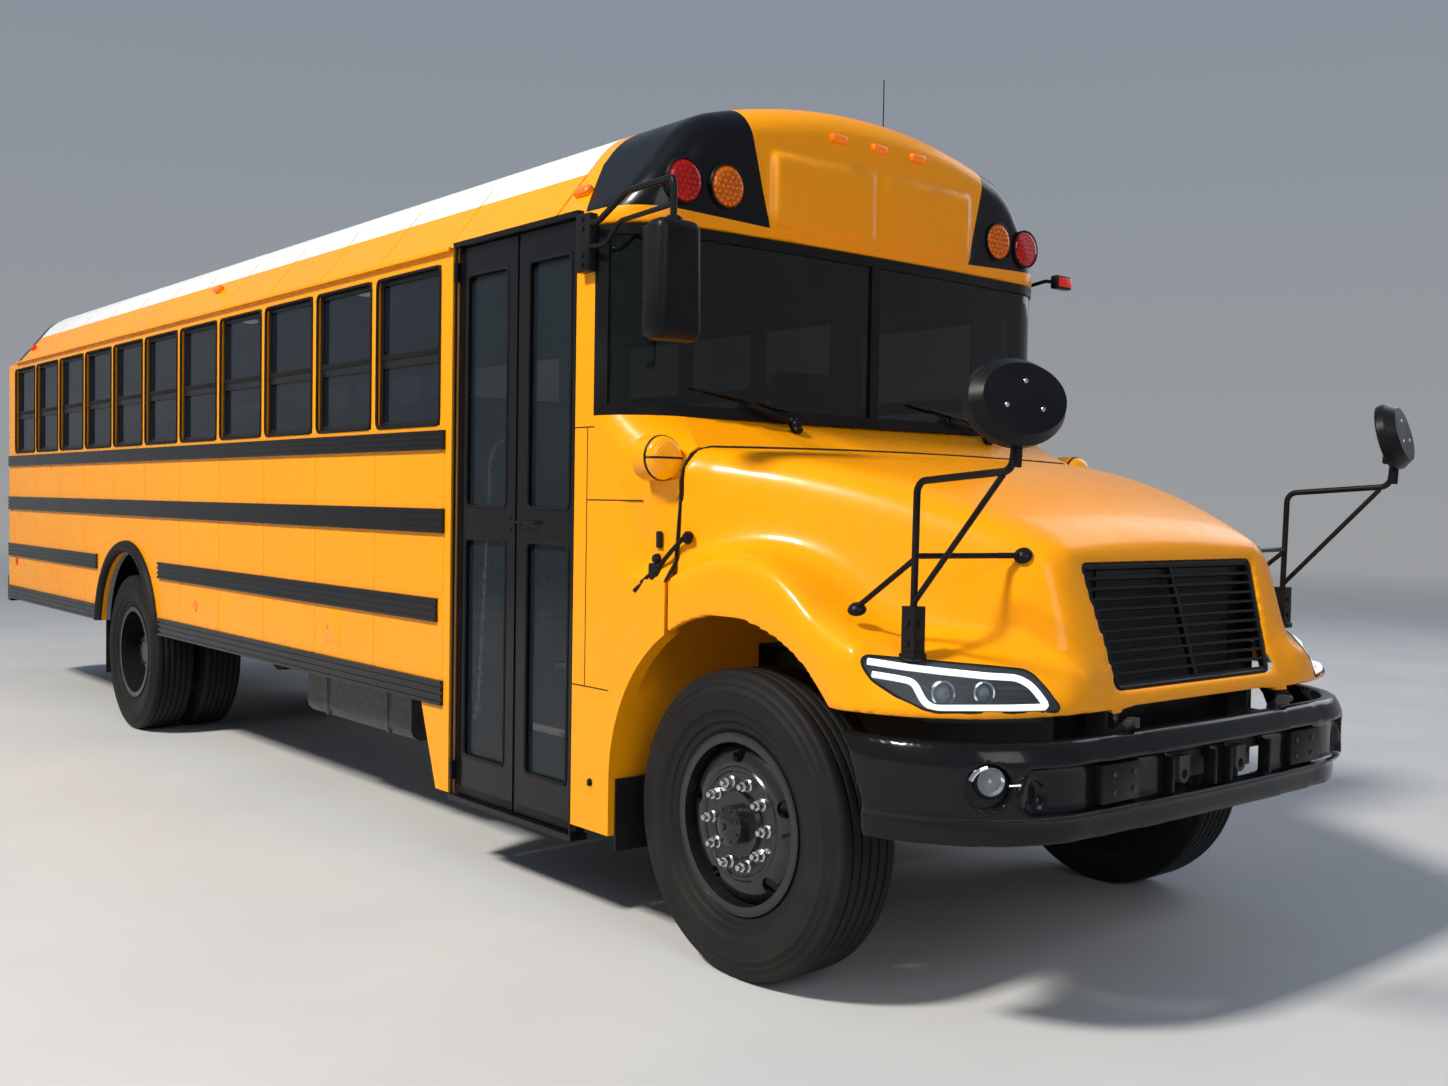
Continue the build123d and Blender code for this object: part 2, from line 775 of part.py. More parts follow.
# Hood: one moulded shell with its fenders, open below and behind
grille_low, grille_high = 67, 474
grille_low_half, grille_high_half = 452, 506
with BuildPart() as hood:
    add(hood_middle(0, 0))
    add(fender_pair(0, 0))
    block((-clear_half, hood_rear, 800), (clear_half, hood_rear + 200, 1900), Mode.SUBTRACT)
    add(hood_middle(hood_wall, 220), mode=Mode.SUBTRACT)
    add(fender_pair(hood_wall, 120), mode=Mode.SUBTRACT)
    with BuildSketch(along(-clear_half)) as arch:
        with Locations((arch_station, arch_z)):
            Circle(arch_radius)
    extrude(arch.sketch, amount=2 * clear_half, mode=Mode.SUBTRACT)
    block((-600, -900, 700), (600, 400, 1130), Mode.SUBTRACT)
    prism(
        nose_plane(hood_wall + 60),
        [
            (-grille_low_half, grille_low),
            (grille_low_half, grille_low),
            (grille_high_half, grille_high),
            (-grille_high_half, grille_high),
        ],
        hood_wall + 200,
        Mode.SUBTRACT,
    )
    for side in (-1, 1):
        prism(across(-620), [(side * x, z) for x, z in lamp_outline], 600, Mode.SUBTRACT)
    for sign in (-1, 1):
        x0, x1 = sorted((sign * hinge_x, sign * (hinge_x + hinge_plate)))
        prism(
            along(x0),
            [
                (nose_station + 14, nose_z + 2),
                (nose_station + 60, nose_z + 2),
                (hood_hinge_station + 22, hood_hinge_z - 13),
                (hood_hinge_station - 13, hood_hinge_z - 13),
                (hood_hinge_station - 16, hood_hinge_z + 14),
            ],
            hinge_plate,
        )
    rod(
        (-hinge_x - 60, hood_hinge_station, hood_hinge_z),
        (hinge_x + 60, hood_hinge_station, hood_hinge_z),
        hinge_pin + 0.3,
        Mode.SUBTRACT,
    )
finish(hood.part, "hood")

# Grille: bars set back in the nose opening
grille_depth = 20
bar_count = 11
with BuildPart() as grille:
    with BuildSketch(nose_plane(12)) as mesh:
        with BuildLine():
            Polyline(
                (-grille_low_half + 0.5, grille_low + 0.5),
                (grille_low_half - 0.5, grille_low + 0.5),
                (grille_high_half - 0.5, grille_high - 0.5),
                (-grille_high_half + 0.5, grille_high - 0.5),
                close=True,
            )
        make_face()
        pitch = (grille_high - grille_low - 30) / bar_count
        for i in range(bar_count):
            v = grille_low + 15 + pitch * (i + 0.5)
            spread = (v - grille_low) / (grille_high - grille_low)
            half = grille_low_half + spread * (grille_high_half - grille_low_half) - 20
            for sign in (-1, 1):
                with Locations((sign * (half + 8) / 2, v)):
                    Rectangle(half - 8, pitch - 9, mode=Mode.SUBTRACT)
    extrude(mesh.sketch, amount=-grille_depth)
finish(grille.part, "grille")

# Headlamps: long lamps let into the nose corners, flush with the skin
with BuildPart() as headlamps:
    add(fender_pair(0, 0))
    add(fender_pair(hood_wall - 4, 200), mode=Mode.SUBTRACT)
    with BuildPart(mode=Mode.PRIVATE) as reach:
        for side in (-1, 1):
            prism(across(-620.5), [(side * x, z) for x, z in lamp_outline], 600)
    add(reach.part, mode=Mode.INTERSECT)
    add(hood.part, mode=Mode.SUBTRACT)
finish(headlamps.part, "headlamps")

# Crossview mirrors on bent posts, carried by the fenders
post_radius = 11
with BuildPart() as crossview:
    for side in (-1, 1):
        x0, x1 = sorted((side * 1052, side * 1102))
        block((x0, -752, 1135), (x1, -702, 1290))
        tube(
            [
                (side * 1077, -727, 1280),
                (side * 1080, -735, 1663),
                (side * 1120, -1120, 1691),
                (side * 1120, -1135, 1840),
            ],
            post_radius,
            40,
        )
        rod((side * 1077, -727, 1300), (side * 1116, -1085, 1680), post_radius - 2)
        rod((side * 1078, -727, 1440), (side * 760, -790, 1440), post_radius - 2)
        rod((side * 1078, -727, 1430), (side * 1105, -520, 1275), post_radius - 2)
        head = Plane(
            origin=spot(side * 1120, -1135, 1880),
            x_dir=(1, 0, 0),
            z_dir=(side * 0.25, -1, 0.25),
        )
        with BuildSketch(head) as oval:
            Ellipse(165, 125)
        extrude(oval.sketch, amount=-30)
        with BuildSketch(head) as bulge:
            Ellipse(165, 125)
        extrude(bulge.sketch, amount=34, taper=35)
    add(fender_pair(-0.4, 0), mode=Mode.SUBTRACT)
    add(hood_middle(-0.4, 0), mode=Mode.SUBTRACT)
finish(crossview.part, "crossview_mirrors")

horn_end = -1062

# Front bumper: a deep shell that wraps round to the wheel arches
bumper_low = 600
bumper_high = 905
bumper_wall = 50
bumper_front = -1130
fog_radius = 50
tow_x = 170
tow_window = (120, 700, 810)
tow_z = 740
tow_bore = 16
fog_x = body_half - 319


def bumper_plan(inset):
    """The bumper's plan, closed well behind it, drawn smaller by inset."""
    with BuildSketch() as plan:
        with BuildLine():
            half = body_half - 4 - inset
            ThreePointArc(
                (-680, -1112 + inset), (0, bumper_front + inset), (680, -1112 + inset)
            )
            ThreePointArc(
                (680, -1112 + inset),
                (body_half - 149 - inset * 0.8, -955 + inset * 0.7),
                (half, -640),
            )
            Polyline((half, -640), (half, -450), (-half, -450), (-half, -640))
            ThreePointArc(
                (-half, -640),
                (-body_half + 149 + inset * 0.8, -955 + inset * 0.7),
                (-680, -1112 + inset),
            )
        make_face()
    return plan.sketch


with BuildPart() as bumper:
    with BuildSketch(level(bumper_low)):
        add(bumper_plan(0))
        add(bumper_plan(bumper_wall), mode=Mode.SUBTRACT)
    extrude(amount=bumper_high - bumper_low)
    block((-clear_half, -460, 500), (clear_half, 0, 1000), Mode.SUBTRACT)
    with BuildSketch(along(-clear_half)) as arch:
        with Locations((arch_station, arch_z)):
            Circle(arch_radius + 6)
    extrude(arch.sketch, amount=2 * clear_half, mode=Mode.SUBTRACT)
    with BuildPart(mode=Mode.PRIVATE) as recess:
        with BuildSketch(across(-600)):
            with Locations((0, 762)):
                SlotOverall(1930, 140)
        extrude(amount=700)
        with BuildSketch(level(500)):
            add(bumper_plan(32))
        extrude(amount=600, mode=Mode.SUBTRACT)
    add(recess.part, mode=Mode.SUBTRACT)
    for x in (-tow_x, tow_x):
        half, low, high = tow_window
        block((x - half, -1300, low), (x + half, -900, high), Mode.SUBTRACT)
    for x in (-fog_x, fog_x):
        rod((x, -1200, 755), (x, -900, 755), fog_radius + joint_gap, Mode.SUBTRACT)
    pair((345, -1092, 785), (435, horn_end - joint_gap, 890))
finish(bumper.part, "front_bumper")

# Rear bumper: a plain channel across the tail
with BuildPart() as rear_bumper:
    prism(
        level(645),
        [
            (24 - body_half, body_rear + 60),
            (24 - body_half, rear_reach - 70),
            (99 - body_half, rear_reach),
            (body_half - 99, rear_reach),
            (body_half - 24, rear_reach - 70),
            (body_half - 24, body_rear + 60),
        ],
        215,
    )
    block((69 - body_half, body_rear, 660), (body_half - 69, rear_reach - 45, 845), Mode.SUBTRACT)
    pair((360, body_rear + joint_gap, 760), (420, rear_reach - 40, 840))
finish(rear_bumper.part, "rear_bumper")

# Chassis: two channel rails, cross members, spring hangers and the hood's hinge bar
member_stations = (-700, 700, 2200, 3700, 5200, wheelbase + 963, body_rear - 260)
web = 14
bar_back = -1020
rear_eye_z = frame_bottom - 90
eye_rim = 14
eye_depth = 24
with BuildPart() as chassis:
    for side in (-1, 1):
        x0, x1 = sorted((side * (rail_half - rail_width), side * rail_half))
        block((x0, frame_front, frame_bottom), (x1, frame_rear, frame_top))
        a, b = (x0, x1 - web) if side > 0 else (x0 + web, x1)
        block((a, frame_front, frame_bottom + web), (b, frame_rear, frame_top - web), Mode.SUBTRACT)
        block((x0, bar_back + seat_gap, 770), (x1, frame_front + 20, 890))
        eye = side * (rail_half - rail_width / 2)
        s = frame_rear - 60
        low, high = eye - eye_depth / 2, eye + eye_depth / 2
        block((low, s, rear_eye_z), (high, frame_rear, frame_bottom + 5))
        rod((low, s + 30, rear_eye_z), (high, s + 30, rear_eye_z), tow_bore + eye_rim)
        rod((eye - 20, s + 30, rear_eye_z), (eye + 20, s + 30, rear_eye_z), tow_bore, Mode.SUBTRACT)
    inner = rail_half - web - seat_gap
    for s in member_stations:
        block((-inner, s - 40, frame_bottom + 60), (inner, s + 40, frame_top - 60))
    block((-rail_half - 90, horn_end, 780), (rail_half + 90, bar_back, 880))
    for sign in (-1, 1):
        eye = sign * tow_x
        block((eye - 30, tow_station, tow_z), (eye + 30, horn_end + 10, 800))
        rod((eye, tow_station, tow_z), (eye, tow_station + eye_depth, tow_z), tow_bore + eye_rim)
        rod((eye, tow_station - 5, tow_z), (eye, tow_station + 60, tow_z), tow_bore, Mode.SUBTRACT)
        x0, x1 = sorted((sign * (hinge_x - 26), sign * (hinge_x - 4)))
        prism(
            along(x0),
            [
                (horn_end, 850),
                (bar_back, 850),
                (bar_back, 905),
                (hood_hinge_station + 18, hood_hinge_z + 14),
                (hood_hinge_station - 14, hood_hinge_z + 14),
                (hood_hinge_station - 14, hood_hinge_z - 16),
                (horn_end, hood_hinge_z - 20),
            ],
            x1 - x0,
        )
        pin = sorted((sign * (hinge_x - 20), sign * (hinge_x + hinge_plate + 4)))
        rod(
            (pin[0], hood_hinge_station, hood_hinge_z),
            (pin[1], hood_hinge_station, hood_hinge_z),
            hinge_pin,
        )
    for s in (-560, 560, rear_axle_station - 640, rear_axle_station + 640):
        for side in (-1, 1):
            x0, x1 = sorted((side * (rail_half - rail_width), side * rail_half))
            block((x0, s - 30, hanger_z), (x1, s + 30, frame_bottom - seat_gap))
finish(chassis.part, "chassis_frame")

# Front axle: dropped beam, kingpins and leaf springs
kingpin = 22
beam_boss = 38
beam_end = 48
with BuildPart() as front_axle:
    block((160 - kingpin_x, -50, axle_z - 75), (kingpin_x - 160, 50, axle_z + 25))
    for side in (-1, 1):
        x0, x1 = sorted((side * (kingpin_x - 160), side * (kingpin_x - 20)))
        block((x0, -36, axle_z - beam_end), (x1, 36, axle_z + beam_end))
        x = side * kingpin_x
        rod((x, 0, axle_z - beam_end), (x, 0, axle_z + beam_end), beam_boss)
        rod((x, 0, axle_z - 105), (x, 0, axle_z + 105), kingpin)
        x0, x1 = sorted((side * (rail_half - rail_width + 4), side * (rail_half - 4)))
        for i in range(4):
            reach = 590 - 130 * i
            top = hanger_z - seat_gap - 18 * i
            block((x0, -reach, top - 18.5), (x1, reach, top))
        block((x0, -60, axle_z + 24), (x1, 60, hanger_z - 70))
finish(front_axle.part, "front_axle")


# Knuckles: a yoke over the axle's end and the spindle that carries the hub
spindle = 45


def knuckle(side):
    """One steering knuckle at straight ahead."""
    with BuildPart() as piece:
        centre = side * kingpin_x
        x0, x1 = sorted((centre, centre + side * 64))
        for low, high in ((-101, -beam_end - 6), (beam_end + 6, 101)):
            block((x0, -38, axle_z + low), (x1, 38, axle_z + high))
            rod((centre, 0, axle_z + low), (centre, 0, axle_z + high), 38)
        x0, x1 = sorted((centre + side * 46, centre + side * 84))
        block((x0, -60, axle_z - 101), (x1, 60, axle_z + 101))
        rod((centre + side * 60, 0, axle_z), (side * (front_wheel_x + 70), 0, axle_z), spindle)
        rod((centre, 0, axle_z - 125), (centre, 0, axle_z + 135), kingpin + 0.3, Mode.SUBTRACT)
    return piece.part


finish(knuckle(-1), "knuckle_right")
finish(knuckle(1), "knuckle_left")


def wheel_plane(centre_x, station):
    """A plane through the wheel's axle: X outwards along the axle, up is the radius."""
    return Plane(origin=spot(centre_x, station, axle_z), x_dir=(1, 0, 0), z_dir=(0, -1, 0))


def turned(profile, centre_x, station):
    """A solid turned about the wheel's axle from a profile of (out, radius) corners."""
    with BuildSketch(wheel_plane(centre_x, station)) as section:
        add(profile)
    revolve(
        section.sketch,
        axis=Axis(spot(0, station, axle_z), (1, 0, 0)),
        revolution_arc=360,
    )


def tyre_profile():
    """The tyre's section: tread, shoulders, sidewalls and beads."""
    half = tyre_width / 2
    with BuildSketch() as section:
        with BuildLine():
            bead = rim_radius - 22
            Polyline((-98, bead), (98, bead), (101, rim_radius + 6))
            ThreePointArc((101, rim_radius + 6), (half, 415), (118, tyre_radius - 22))
            ThreePointArc((118, tyre_radius - 22), (112, tyre_radius - 6), (100, tyre_radius))
            Line((100, tyre_radius), (-100, tyre_radius))
            ThreePointArc((-100, tyre_radius), (-112, tyre_radius - 6), (-118, tyre_radius - 22))
            ThreePointArc((-118, tyre_radius - 22), (-half, 415), (-101, rim_radius + 6))
            Line((-101, rim_radius + 6), (-98, bead))
        make_face()
    return section.sketch


hand_count = 5
hand_radius = 236


def hand_holes(start_x, end_x, station, radius):
    """A ring of round holes through a wheel's disc."""
    for i in range(hand_count):
        turn = 2 * pi * (i + 0.2) / hand_count
        s, z = station + radius * cos(turn), axle_z + radius * sin(turn)
        rod((start_x, s, z), (end_x, s, z), 30, Mode.SUBTRACT)


def front_rim(side):
    """A front rim with its convex disc and hub, bored for the spindle."""
    with BuildPart() as piece:
        with BuildSketch() as section:
            with Locations((0, rim_radius - 27)):
                Rectangle(226, 9)
            for x in (-108, 108):
                with Locations((x, rim_radius - 15)):
                    Rectangle(10, 30)
            with BuildLine():
                Line((side * 30, 279), (side * 58, 275))
                ThreePointArc((side * 58, 275), (side * 88, 240), (side * 98, 196))
                Polyline(
                    (side * 98, 196),
                    (side * 103, 190),
                    (side * 103, 180),
                    (side * 98, 174),
                    (side * 98, 116),
                    (side * 112, 110),
                    (side * 112, 66),
                    (side * 146, 62),
                    (side * 154, 46),
                    (side * 154, 0),
                    (side * 76, 0),
                    (side * 76, spindle + 0.3),
                    (side * 40, spindle + 0.3),
                    (side * 40, 120),
                    (side * 84, 186),
                )
                ThreePointArc((side * 84, 186), (side * 74, 230), (side * 46, 262))
                Polyline((side * 46, 262), (side * 30, 270), (side * 30, 279))
            make_face()
        turned(section.sketch, side * front_wheel_x, 0)
        start, end = side * (front_wheel_x - 20), side * (front_wheel_x + 110)
        hand_holes(start, end, 0, hand_radius)
    return piece.part


for side, word in ((-1, "right"), (1, "left")):
    with BuildPart() as tyre:
        turned(tyre_profile(), side * front_wheel_x, 0)
    finish(tyre.part, f"front_tyre_{word}")
    finish(front_rim(side), f"front_rim_{word}")
    with BuildPart() as tyres:
        for x in (dual_inner_x, dual_outer_x):
            turned(tyre_profile(), side * x, rear_axle_station)
    finish(tyres.part, f"rear_tyres_{word}")
    with BuildPart() as rims:
        for x, disc in ((dual_inner_x, 150), (dual_outer_x, -150)):
            with BuildSketch() as section:
                with Locations((0, rim_radius - 27)):
                    Rectangle(226, 9)
                for flange in (-108, 108):
                    with Locations((flange, rim_radius - 15)):
                        Rectangle(10, 30)
                with BuildLine():
                    sign = 1 if disc > 0 else -1
                    Polyline(
                        (side * sign * 60, 279),
                        (side * sign * 100, 275),
                        (side * disc, 200),
                        (side * disc, 100),
                        (side * (disc + sign * 8), 100),
                        (side * (disc + sign * 8), 204),
                        (side * sign * 106, 284),
                        (side * sign * 60, 284),
                        close=True,
                    )
                make_face()
            turned(section.sketch, side * x, rear_axle_station)
        with BuildSketch() as hub:
            with BuildLine():
                Polyline(
                    (side * -20, spindle + 0.3),
                    (side * -20, 130),
                    (side * 60, 130),
                    (side * 66, 100),
                    (side * 188, 92),
                    (side * 190, 104),
                    (side * 202, 104),
                    (side * 208, 60),
                    (side * 208, 0),
                    (side * 190, 0),
                    (side * 190, spindle + 0.3),
                    close=True,
                )
            make_face()
        turned(hub.sketch, side * (dual_inner_x + 150), rear_axle_station)
        start, end = side * (dual_inner_x + 85), side * (dual_outer_x - 85)
        hand_holes(start, end, rear_axle_station, hand_radius + 6)
    finish(rims.part, f"rear_rims_{word}")

# Rear axle: housing with its differential, drums, springs and drive shaft
with BuildPart() as rear_axle:
    tube_end = dual_inner_x - 85
    rod((-tube_end, rear_axle_station, axle_z), (tube_end, rear_axle_station, axle_z), 70)
    rod((-150, rear_axle_station, axle_z), (150, rear_axle_station, axle_z), 190)
    for side in (-1, 1):
        drum, tip = side * (tube_end - 10), side * (tube_end + 200)
        rod((drum, rear_axle_station, axle_z), (tip, rear_axle_station, axle_z), 190)
        drum, tip = side * (tube_end + 190), side * (dual_outer_x + 20)
        rod((drum, rear_axle_station, axle_z), (tip, rear_axle_station, axle_z), spindle)
        x0, x1 = sorted((side * (rail_half - rail_width + 4), side * (rail_half - 4)))
        for i in range(3):
            reach = 670 - 150 * i
            top = hanger_z - seat_gap - 18 * i
            block(
                (x0, rear_axle_station - reach, top - 18.5), (x1, rear_axle_station + reach, top)
            )
        low = (x0, rear_axle_station - 60, axle_z)
        block(low, (x1, rear_axle_station + 60, hanger_z - 50))
    rod((0, 620, 745), (0, rear_axle_station - 150, axle_z + 35), 45)
finish(rear_axle.part, "rear_axle")

# Engine and radiator as plain blocks
with BuildPart() as engine:
    block((-320, -640, 640), (320, 560, 1440))
    block((-400, -880, frame_top + 5), (400, -820, 1400))
    block((-60, -821, 1150), (60, -639, 1250))
finish(engine.part, "engine")

# Exhaust and fuel tank, hung from the rails
with BuildPart() as exhaust:
    rod((560, 1200, 700), (560, 2400, 700), 110)
    rod((560, 2390, 700), (560, 5400, 700), 45)
    for s in (1400, 2200, 3900):
        block((rail_half, s - 20, 780), (580, s + 20, 830))
        block((520, s - 20, 700), (600, s + 20, 800))
finish(exhaust.part, "exhaust")

with BuildPart() as tank:
    block((-1060, 2500, 420), (-480, 3700, 900))
    fillet(tank.edges().filter_by(Axis.Y), 60)
    for s in (2700, 3500):
        block((-500, s - 25, 760), (-rail_half, s + 25, 880))
finish(tank.part, "fuel_tank")

# Passenger seats: a cushion and a high back for each bench, on steel legs
seat_pitch = 706
first_seat = first_mullion + 406
seat_rows = int((body_rear - 220 - first_seat) / seat_pitch) + 1
seat_inner, seat_outer = 210, body_half - wall - 29
cushion_low, cushion_high = floor_top + 330, floor_top + 440
with BuildPart() as seats:
    for i in range(seat_rows):
        s = first_seat + seat_pitch * i
        pair((seat_inner, s - 380, cushion_low), (seat_outer, s - 8, cushion_high))
        pair((seat_inner, s, cushion_low), (seat_outer, s + 90, floor_top + 1010))
finish(seats.part, "passenger_seats")

with BuildPart() as legs:
    for i in range(seat_rows):
        s = first_seat + seat_pitch * i
        pair((seat_inner + 60, s - 330, floor_top + 0.5), (seat_inner + 90, s + 60, floor_top + 300))
        pair((seat_outer - 90, s - 330, floor_top + 160), (seat_outer - 60, s + 60, floor_top + 300))
        pair((seat_inner + 20, s - 360, floor_top + 300), (seat_outer - 20, s + 80, cushion_low - 0.5))
finish(legs.part, "seat_frames")

# Driver's seat
driver_x = body_half - 659
driver_seat_station = 1500
with BuildPart() as driver_seat:
    block((driver_x - 250, driver_seat_station - 420, 1480), (driver_x + 250, driver_seat_station, 1590))
    block(
        (driver_x - 240, driver_seat_station - 60, 1580), (driver_x + 240, driver_seat_station + 70, 2260)
    )
    block(
        (driver_x - 150, driver_seat_station - 350, floor_top + 0.5),
        (driver_x + 150, driver_seat_station - 60, 1485),
    )
finish(driver_seat.part, "driver_seat")

# Dashboard with the steering column and wheel
dash_half = body_half - 119
with BuildPart() as dash:
    block((-dash_half, 650, 1560), (dash_half, 800, 1860))
    block((-dash_half, firewall_station + joint_gap, 1600), (dash_half, 660, 1700))
    rod((driver_x, 780, 1640), (driver_x, 960, 1790), 30)
    hub = Plane(origin=spot(driver_x, 960, 1790), z_dir=(0, 180, 150))
    with BuildSketch(hub) as ring:
        Circle(230)
        Circle(205, mode=Mode.SUBTRACT)
        Rectangle(430, 40)
        Rectangle(40, 430)
    extrude(ring.sketch, amount=26)
finish(dash.part, "dashboard")

# Rearview mirrors: a head on two bent arms on each side, and a small lamp on the driver's side
mirror_x = body_half + 111
mirror_head = (100, 55, 2125, 2530)
mirror_stations = {-1: 150, 1: 930}
mirror_arms = {
    -1: [
        (9, 2533, [(31, 662, 2525), (46, 549, 2593)], 2584),
        (12, 2620, [(31, 709, 2614), (51, 502, 2691)], 2674),
    ],
    1: [
        (9, 2533, [(70, 840, 2525)], 2584),
        (12, 2620, [(80, 840, 2650)], 2674),
    ],
}
with BuildPart() as rearview:
    bracket_x = body_half + joint_gap
    for side in (-1, 1):
        station = mirror_stations[side]
        x0, x1 = sorted((side * bracket_x, side * (bracket_x + 42)))
        block((x0, 750, 2440), (x1, 840, 2656))
        with BuildPart(mode=Mode.PRIVATE) as head:
            half, depth, low, high = mirror_head
            x = side * mirror_x
            block((x - half, station - depth, low), (x + half, station + depth, high))
            fillet(head.edges().filter_by(Axis.Z), 42)
            fillet(head.faces().sort_by(Axis.Z)[-1].edges(), 20)
            fillet(head.faces().sort_by(Axis.Z)[0].edges(), 20)
        add(head.part)
        for radius, foot_z, bends, end_z in mirror_arms[side]:
            points = [(side * (bracket_x + 30), 800, foot_z)]
            for out, s, z in bends:
                points.append((side * (body_half + out), s, z))
            points.append((side * mirror_x, station, end_z))
            if end_z > 2600:
                points.append((side * mirror_x, station, high - 20))
            tube(points, radius, 24)
    lamp = (body_half + 60, 620, 2672)
    rod((bracket_x + 20, 770, 2640), lamp, 9)
    rod(lamp, (body_half + 110, 600, 2672), 9)
    block((body_half + 100, 575, 2640), (body_half + 215, 625, 2705))
finish(rearview.part, "rearview_mirrors")

# Antenna: a whip on a round foot, on the crown of the front cap
antenna = (231, 700)
with BuildPart() as whip:
    rod((*antenna, 3150), (*antenna, 3200), 14)
    rod((*antenna, 3195), (*antenna, 3215), 6)
    rod((*antenna, 3210), (*antenna, 3429), 2.5)
    add(cap.part, mode=Mode.SUBTRACT)
finish(whip.part, "antenna")

# Warning lamps on both caps: distance from the middle, height, station behind the cap's nose
lamp_places = [(body_half - 425, eaves_z + 127, 26), (body_half - 224, eaves_z + 119, 32)]
lamp_radius = 82
with BuildPart() as warning:
    for x, z, back in lamp_places:
        for side in (-1, 1):
            front = cap_front + back
            rod((side * x, front - 30, z), (side * x, front + 20, z), lamp_radius)
            rod((side * x, body_rear + 0.5, z - 30), (side * x, body_rear + 26, z - 30), lamp_radius)
    add(cap.part, mode=Mode.SUBTRACT)
    add(rear_cap.part, mode=Mode.SUBTRACT)
finish(warning.part, "warning_lamps")

# Marker, turn, tail and fog lamps
with BuildPart() as markers:
    for side in (-1, 1):
        lens(side * turn_x, turn_station - seat_gap, turn_z, turn_radius - 3, 42, 34)
        rod((side * fog_x, -1040, 755), (side * fog_x, -985, 755), fog_radius)
        for z in (1500, 1300):
            x = side * (body_half - 139)
            rod((x, body_rear + 0.5, z), (x, body_rear + 30, z), 85)
    for x in (-233, 0, 233):
        block((x - 45, cap_front - 20, 3035), (x + 45, cap_front + 80, 3075))
    add(cap.part, mode=Mode.SUBTRACT)
    add(bumper.part, mode=Mode.SUBTRACT)
finish(markers.part, "marker_lamps")

# Mud flaps behind the wheels
with BuildPart() as flaps:
    pair((body_half - 319, cowl_arch_back - 10, 290), (body_half - 29, cowl_arch_back - joint_gap, 560))
    s = wheelbase + 666
    head = floor_top - floor_thick - seat_gap
    pair((house_inner + 30, s, 292), (body_half - wall - seat_gap, s + 10, head))
finish(flaps.part, "mud_flaps")

# Wipers: two arms with their blades on the windshield's foot
with BuildPart() as wipers:
    for x, tip in ((-480, -900), (678, 240)):
        rod((x, 440, 1870), (x, 474, 1915), 22)
        rod((x, 466, 1905), ((x + tip) / 2, 486, 1960), 8)
    add(cowl.part, mode=Mode.SUBTRACT)
    add(shield_frame.part, mode=Mode.SUBTRACT)
    add(shield.part, mode=Mode.SUBTRACT)
finish(wipers.part, "wipers")

# Entrance door frame: header, sill and the pins that the leaves turn on
leaf_x = body_half - leaf_inset
leaf_low = door_bottom + 6
leaf_high = door_top - 8
leaf_pin = 6
leaf_pin_x = 9 - body_half
leaf_pins = {"front": door_front + 14, "rear": door_rear - 14}
ear_bands = [(leaf_low + 60, leaf_low + 140), (leaf_high - 140, leaf_high - 60)]
with BuildPart() as door_frame:
    x0, x1 = -body_half, 79 - body_half
    s0, s1 = door_front + joint_gap, door_rear - joint_gap
    block((x0, s0, door_top - 4), (x1, s1, door_head - joint_gap))
    block((x0, s0, door_bottom - 23), (x1, s1, door_bottom))
    for s in leaf_pins.values():
        rod((leaf_pin_x, s, door_bottom - 10), (leaf_pin_x, s, door_top + 4), leaf_pin)
finish(door_frame.part, "door_frame")

# Entrance door: two leaves with upper and lower glass, on ears round the pins
glass_bands = [(478, 1420), (1555, 2545)]
leaf_spans = {
    "front": (door_front + leaf_gap, leaf_split - leaf_centre_gap / 2),
    "rear": (leaf_split + leaf_centre_gap / 2, door_rear - leaf_gap - 1),
}
for word, (a, b) in leaf_spans.items():
    with BuildPart() as leaf:
        block((-leaf_x, a, leaf_low), (-leaf_x + leaf_thick, b, leaf_high))
        for foot, head in glass_bands:
            block(
                (-leaf_x, a + leaf_stile, foot), (-leaf_x + leaf_thick, b - leaf_stile, head), Mode.SUBTRACT
            )
        pin = leaf_pins[word]
        for foot, head in ear_bands:
            rod((leaf_pin_x, pin, foot), (leaf_pin_x, pin, head), leaf_pin + 3)
            block((leaf_pin_x, pin - 8, foot), (-leaf_x + 1, pin + 8, head))
            rod((leaf_pin_x, pin, foot - 5), (leaf_pin_x, pin, head + 5), leaf_pin + 0.3, Mode.SUBTRACT)
    finish(leaf.part, f"entrance_leaf_{word}")
    with BuildPart() as pane:
        for foot, head in glass_bands:
            block(
                (-leaf_x + 16, a + leaf_stile + joint_gap, foot + joint_gap),
                (-leaf_x + 22, b - leaf_stile - joint_gap, head - joint_gap),
            )
    finish(pane.part, f"entrance_glass_{word}")

# Rear emergency door with its panes and handle
gap = 7
with BuildPart() as rear_door:
    s0, s1 = body_rear - 45, body_rear + 5
    block(
        (-rear_door_half + gap, s0, rear_door_low + gap), (rear_door_half - gap, s1, rear_door_high - gap)
    )
    for foot, head in ((1180, 1620), (1760, 2500)):
        block((-380, s0, foot), (380, s1, head), Mode.SUBTRACT)
    for z in rear_hinge_heights:
        rod((rear_pin_x, rear_pin_station, z - 45), (rear_pin_x, rear_pin_station, z + 45), 11)
        block((rear_pin_x, body_rear + 1, z - 45), (rear_pin_x + 80, rear_pin_station + 6, z + 45))
        rod(
            (rear_pin_x, rear_pin_station, z - 50),
            (rear_pin_x, rear_pin_station, z + 50),
            leaf_pin + 0.3,
            Mode.SUBTRACT,
        )
finish(rear_door.part, "rear_door")
with BuildPart() as rear_pane:
    for foot, head in ((1180, 1620), (1760, 2500)):
        block((-379.5, body_rear - 23, foot + 0.5), (379.5, body_rear - 17, head - 0.5))
finish(rear_pane.part, "rear_door_glass")

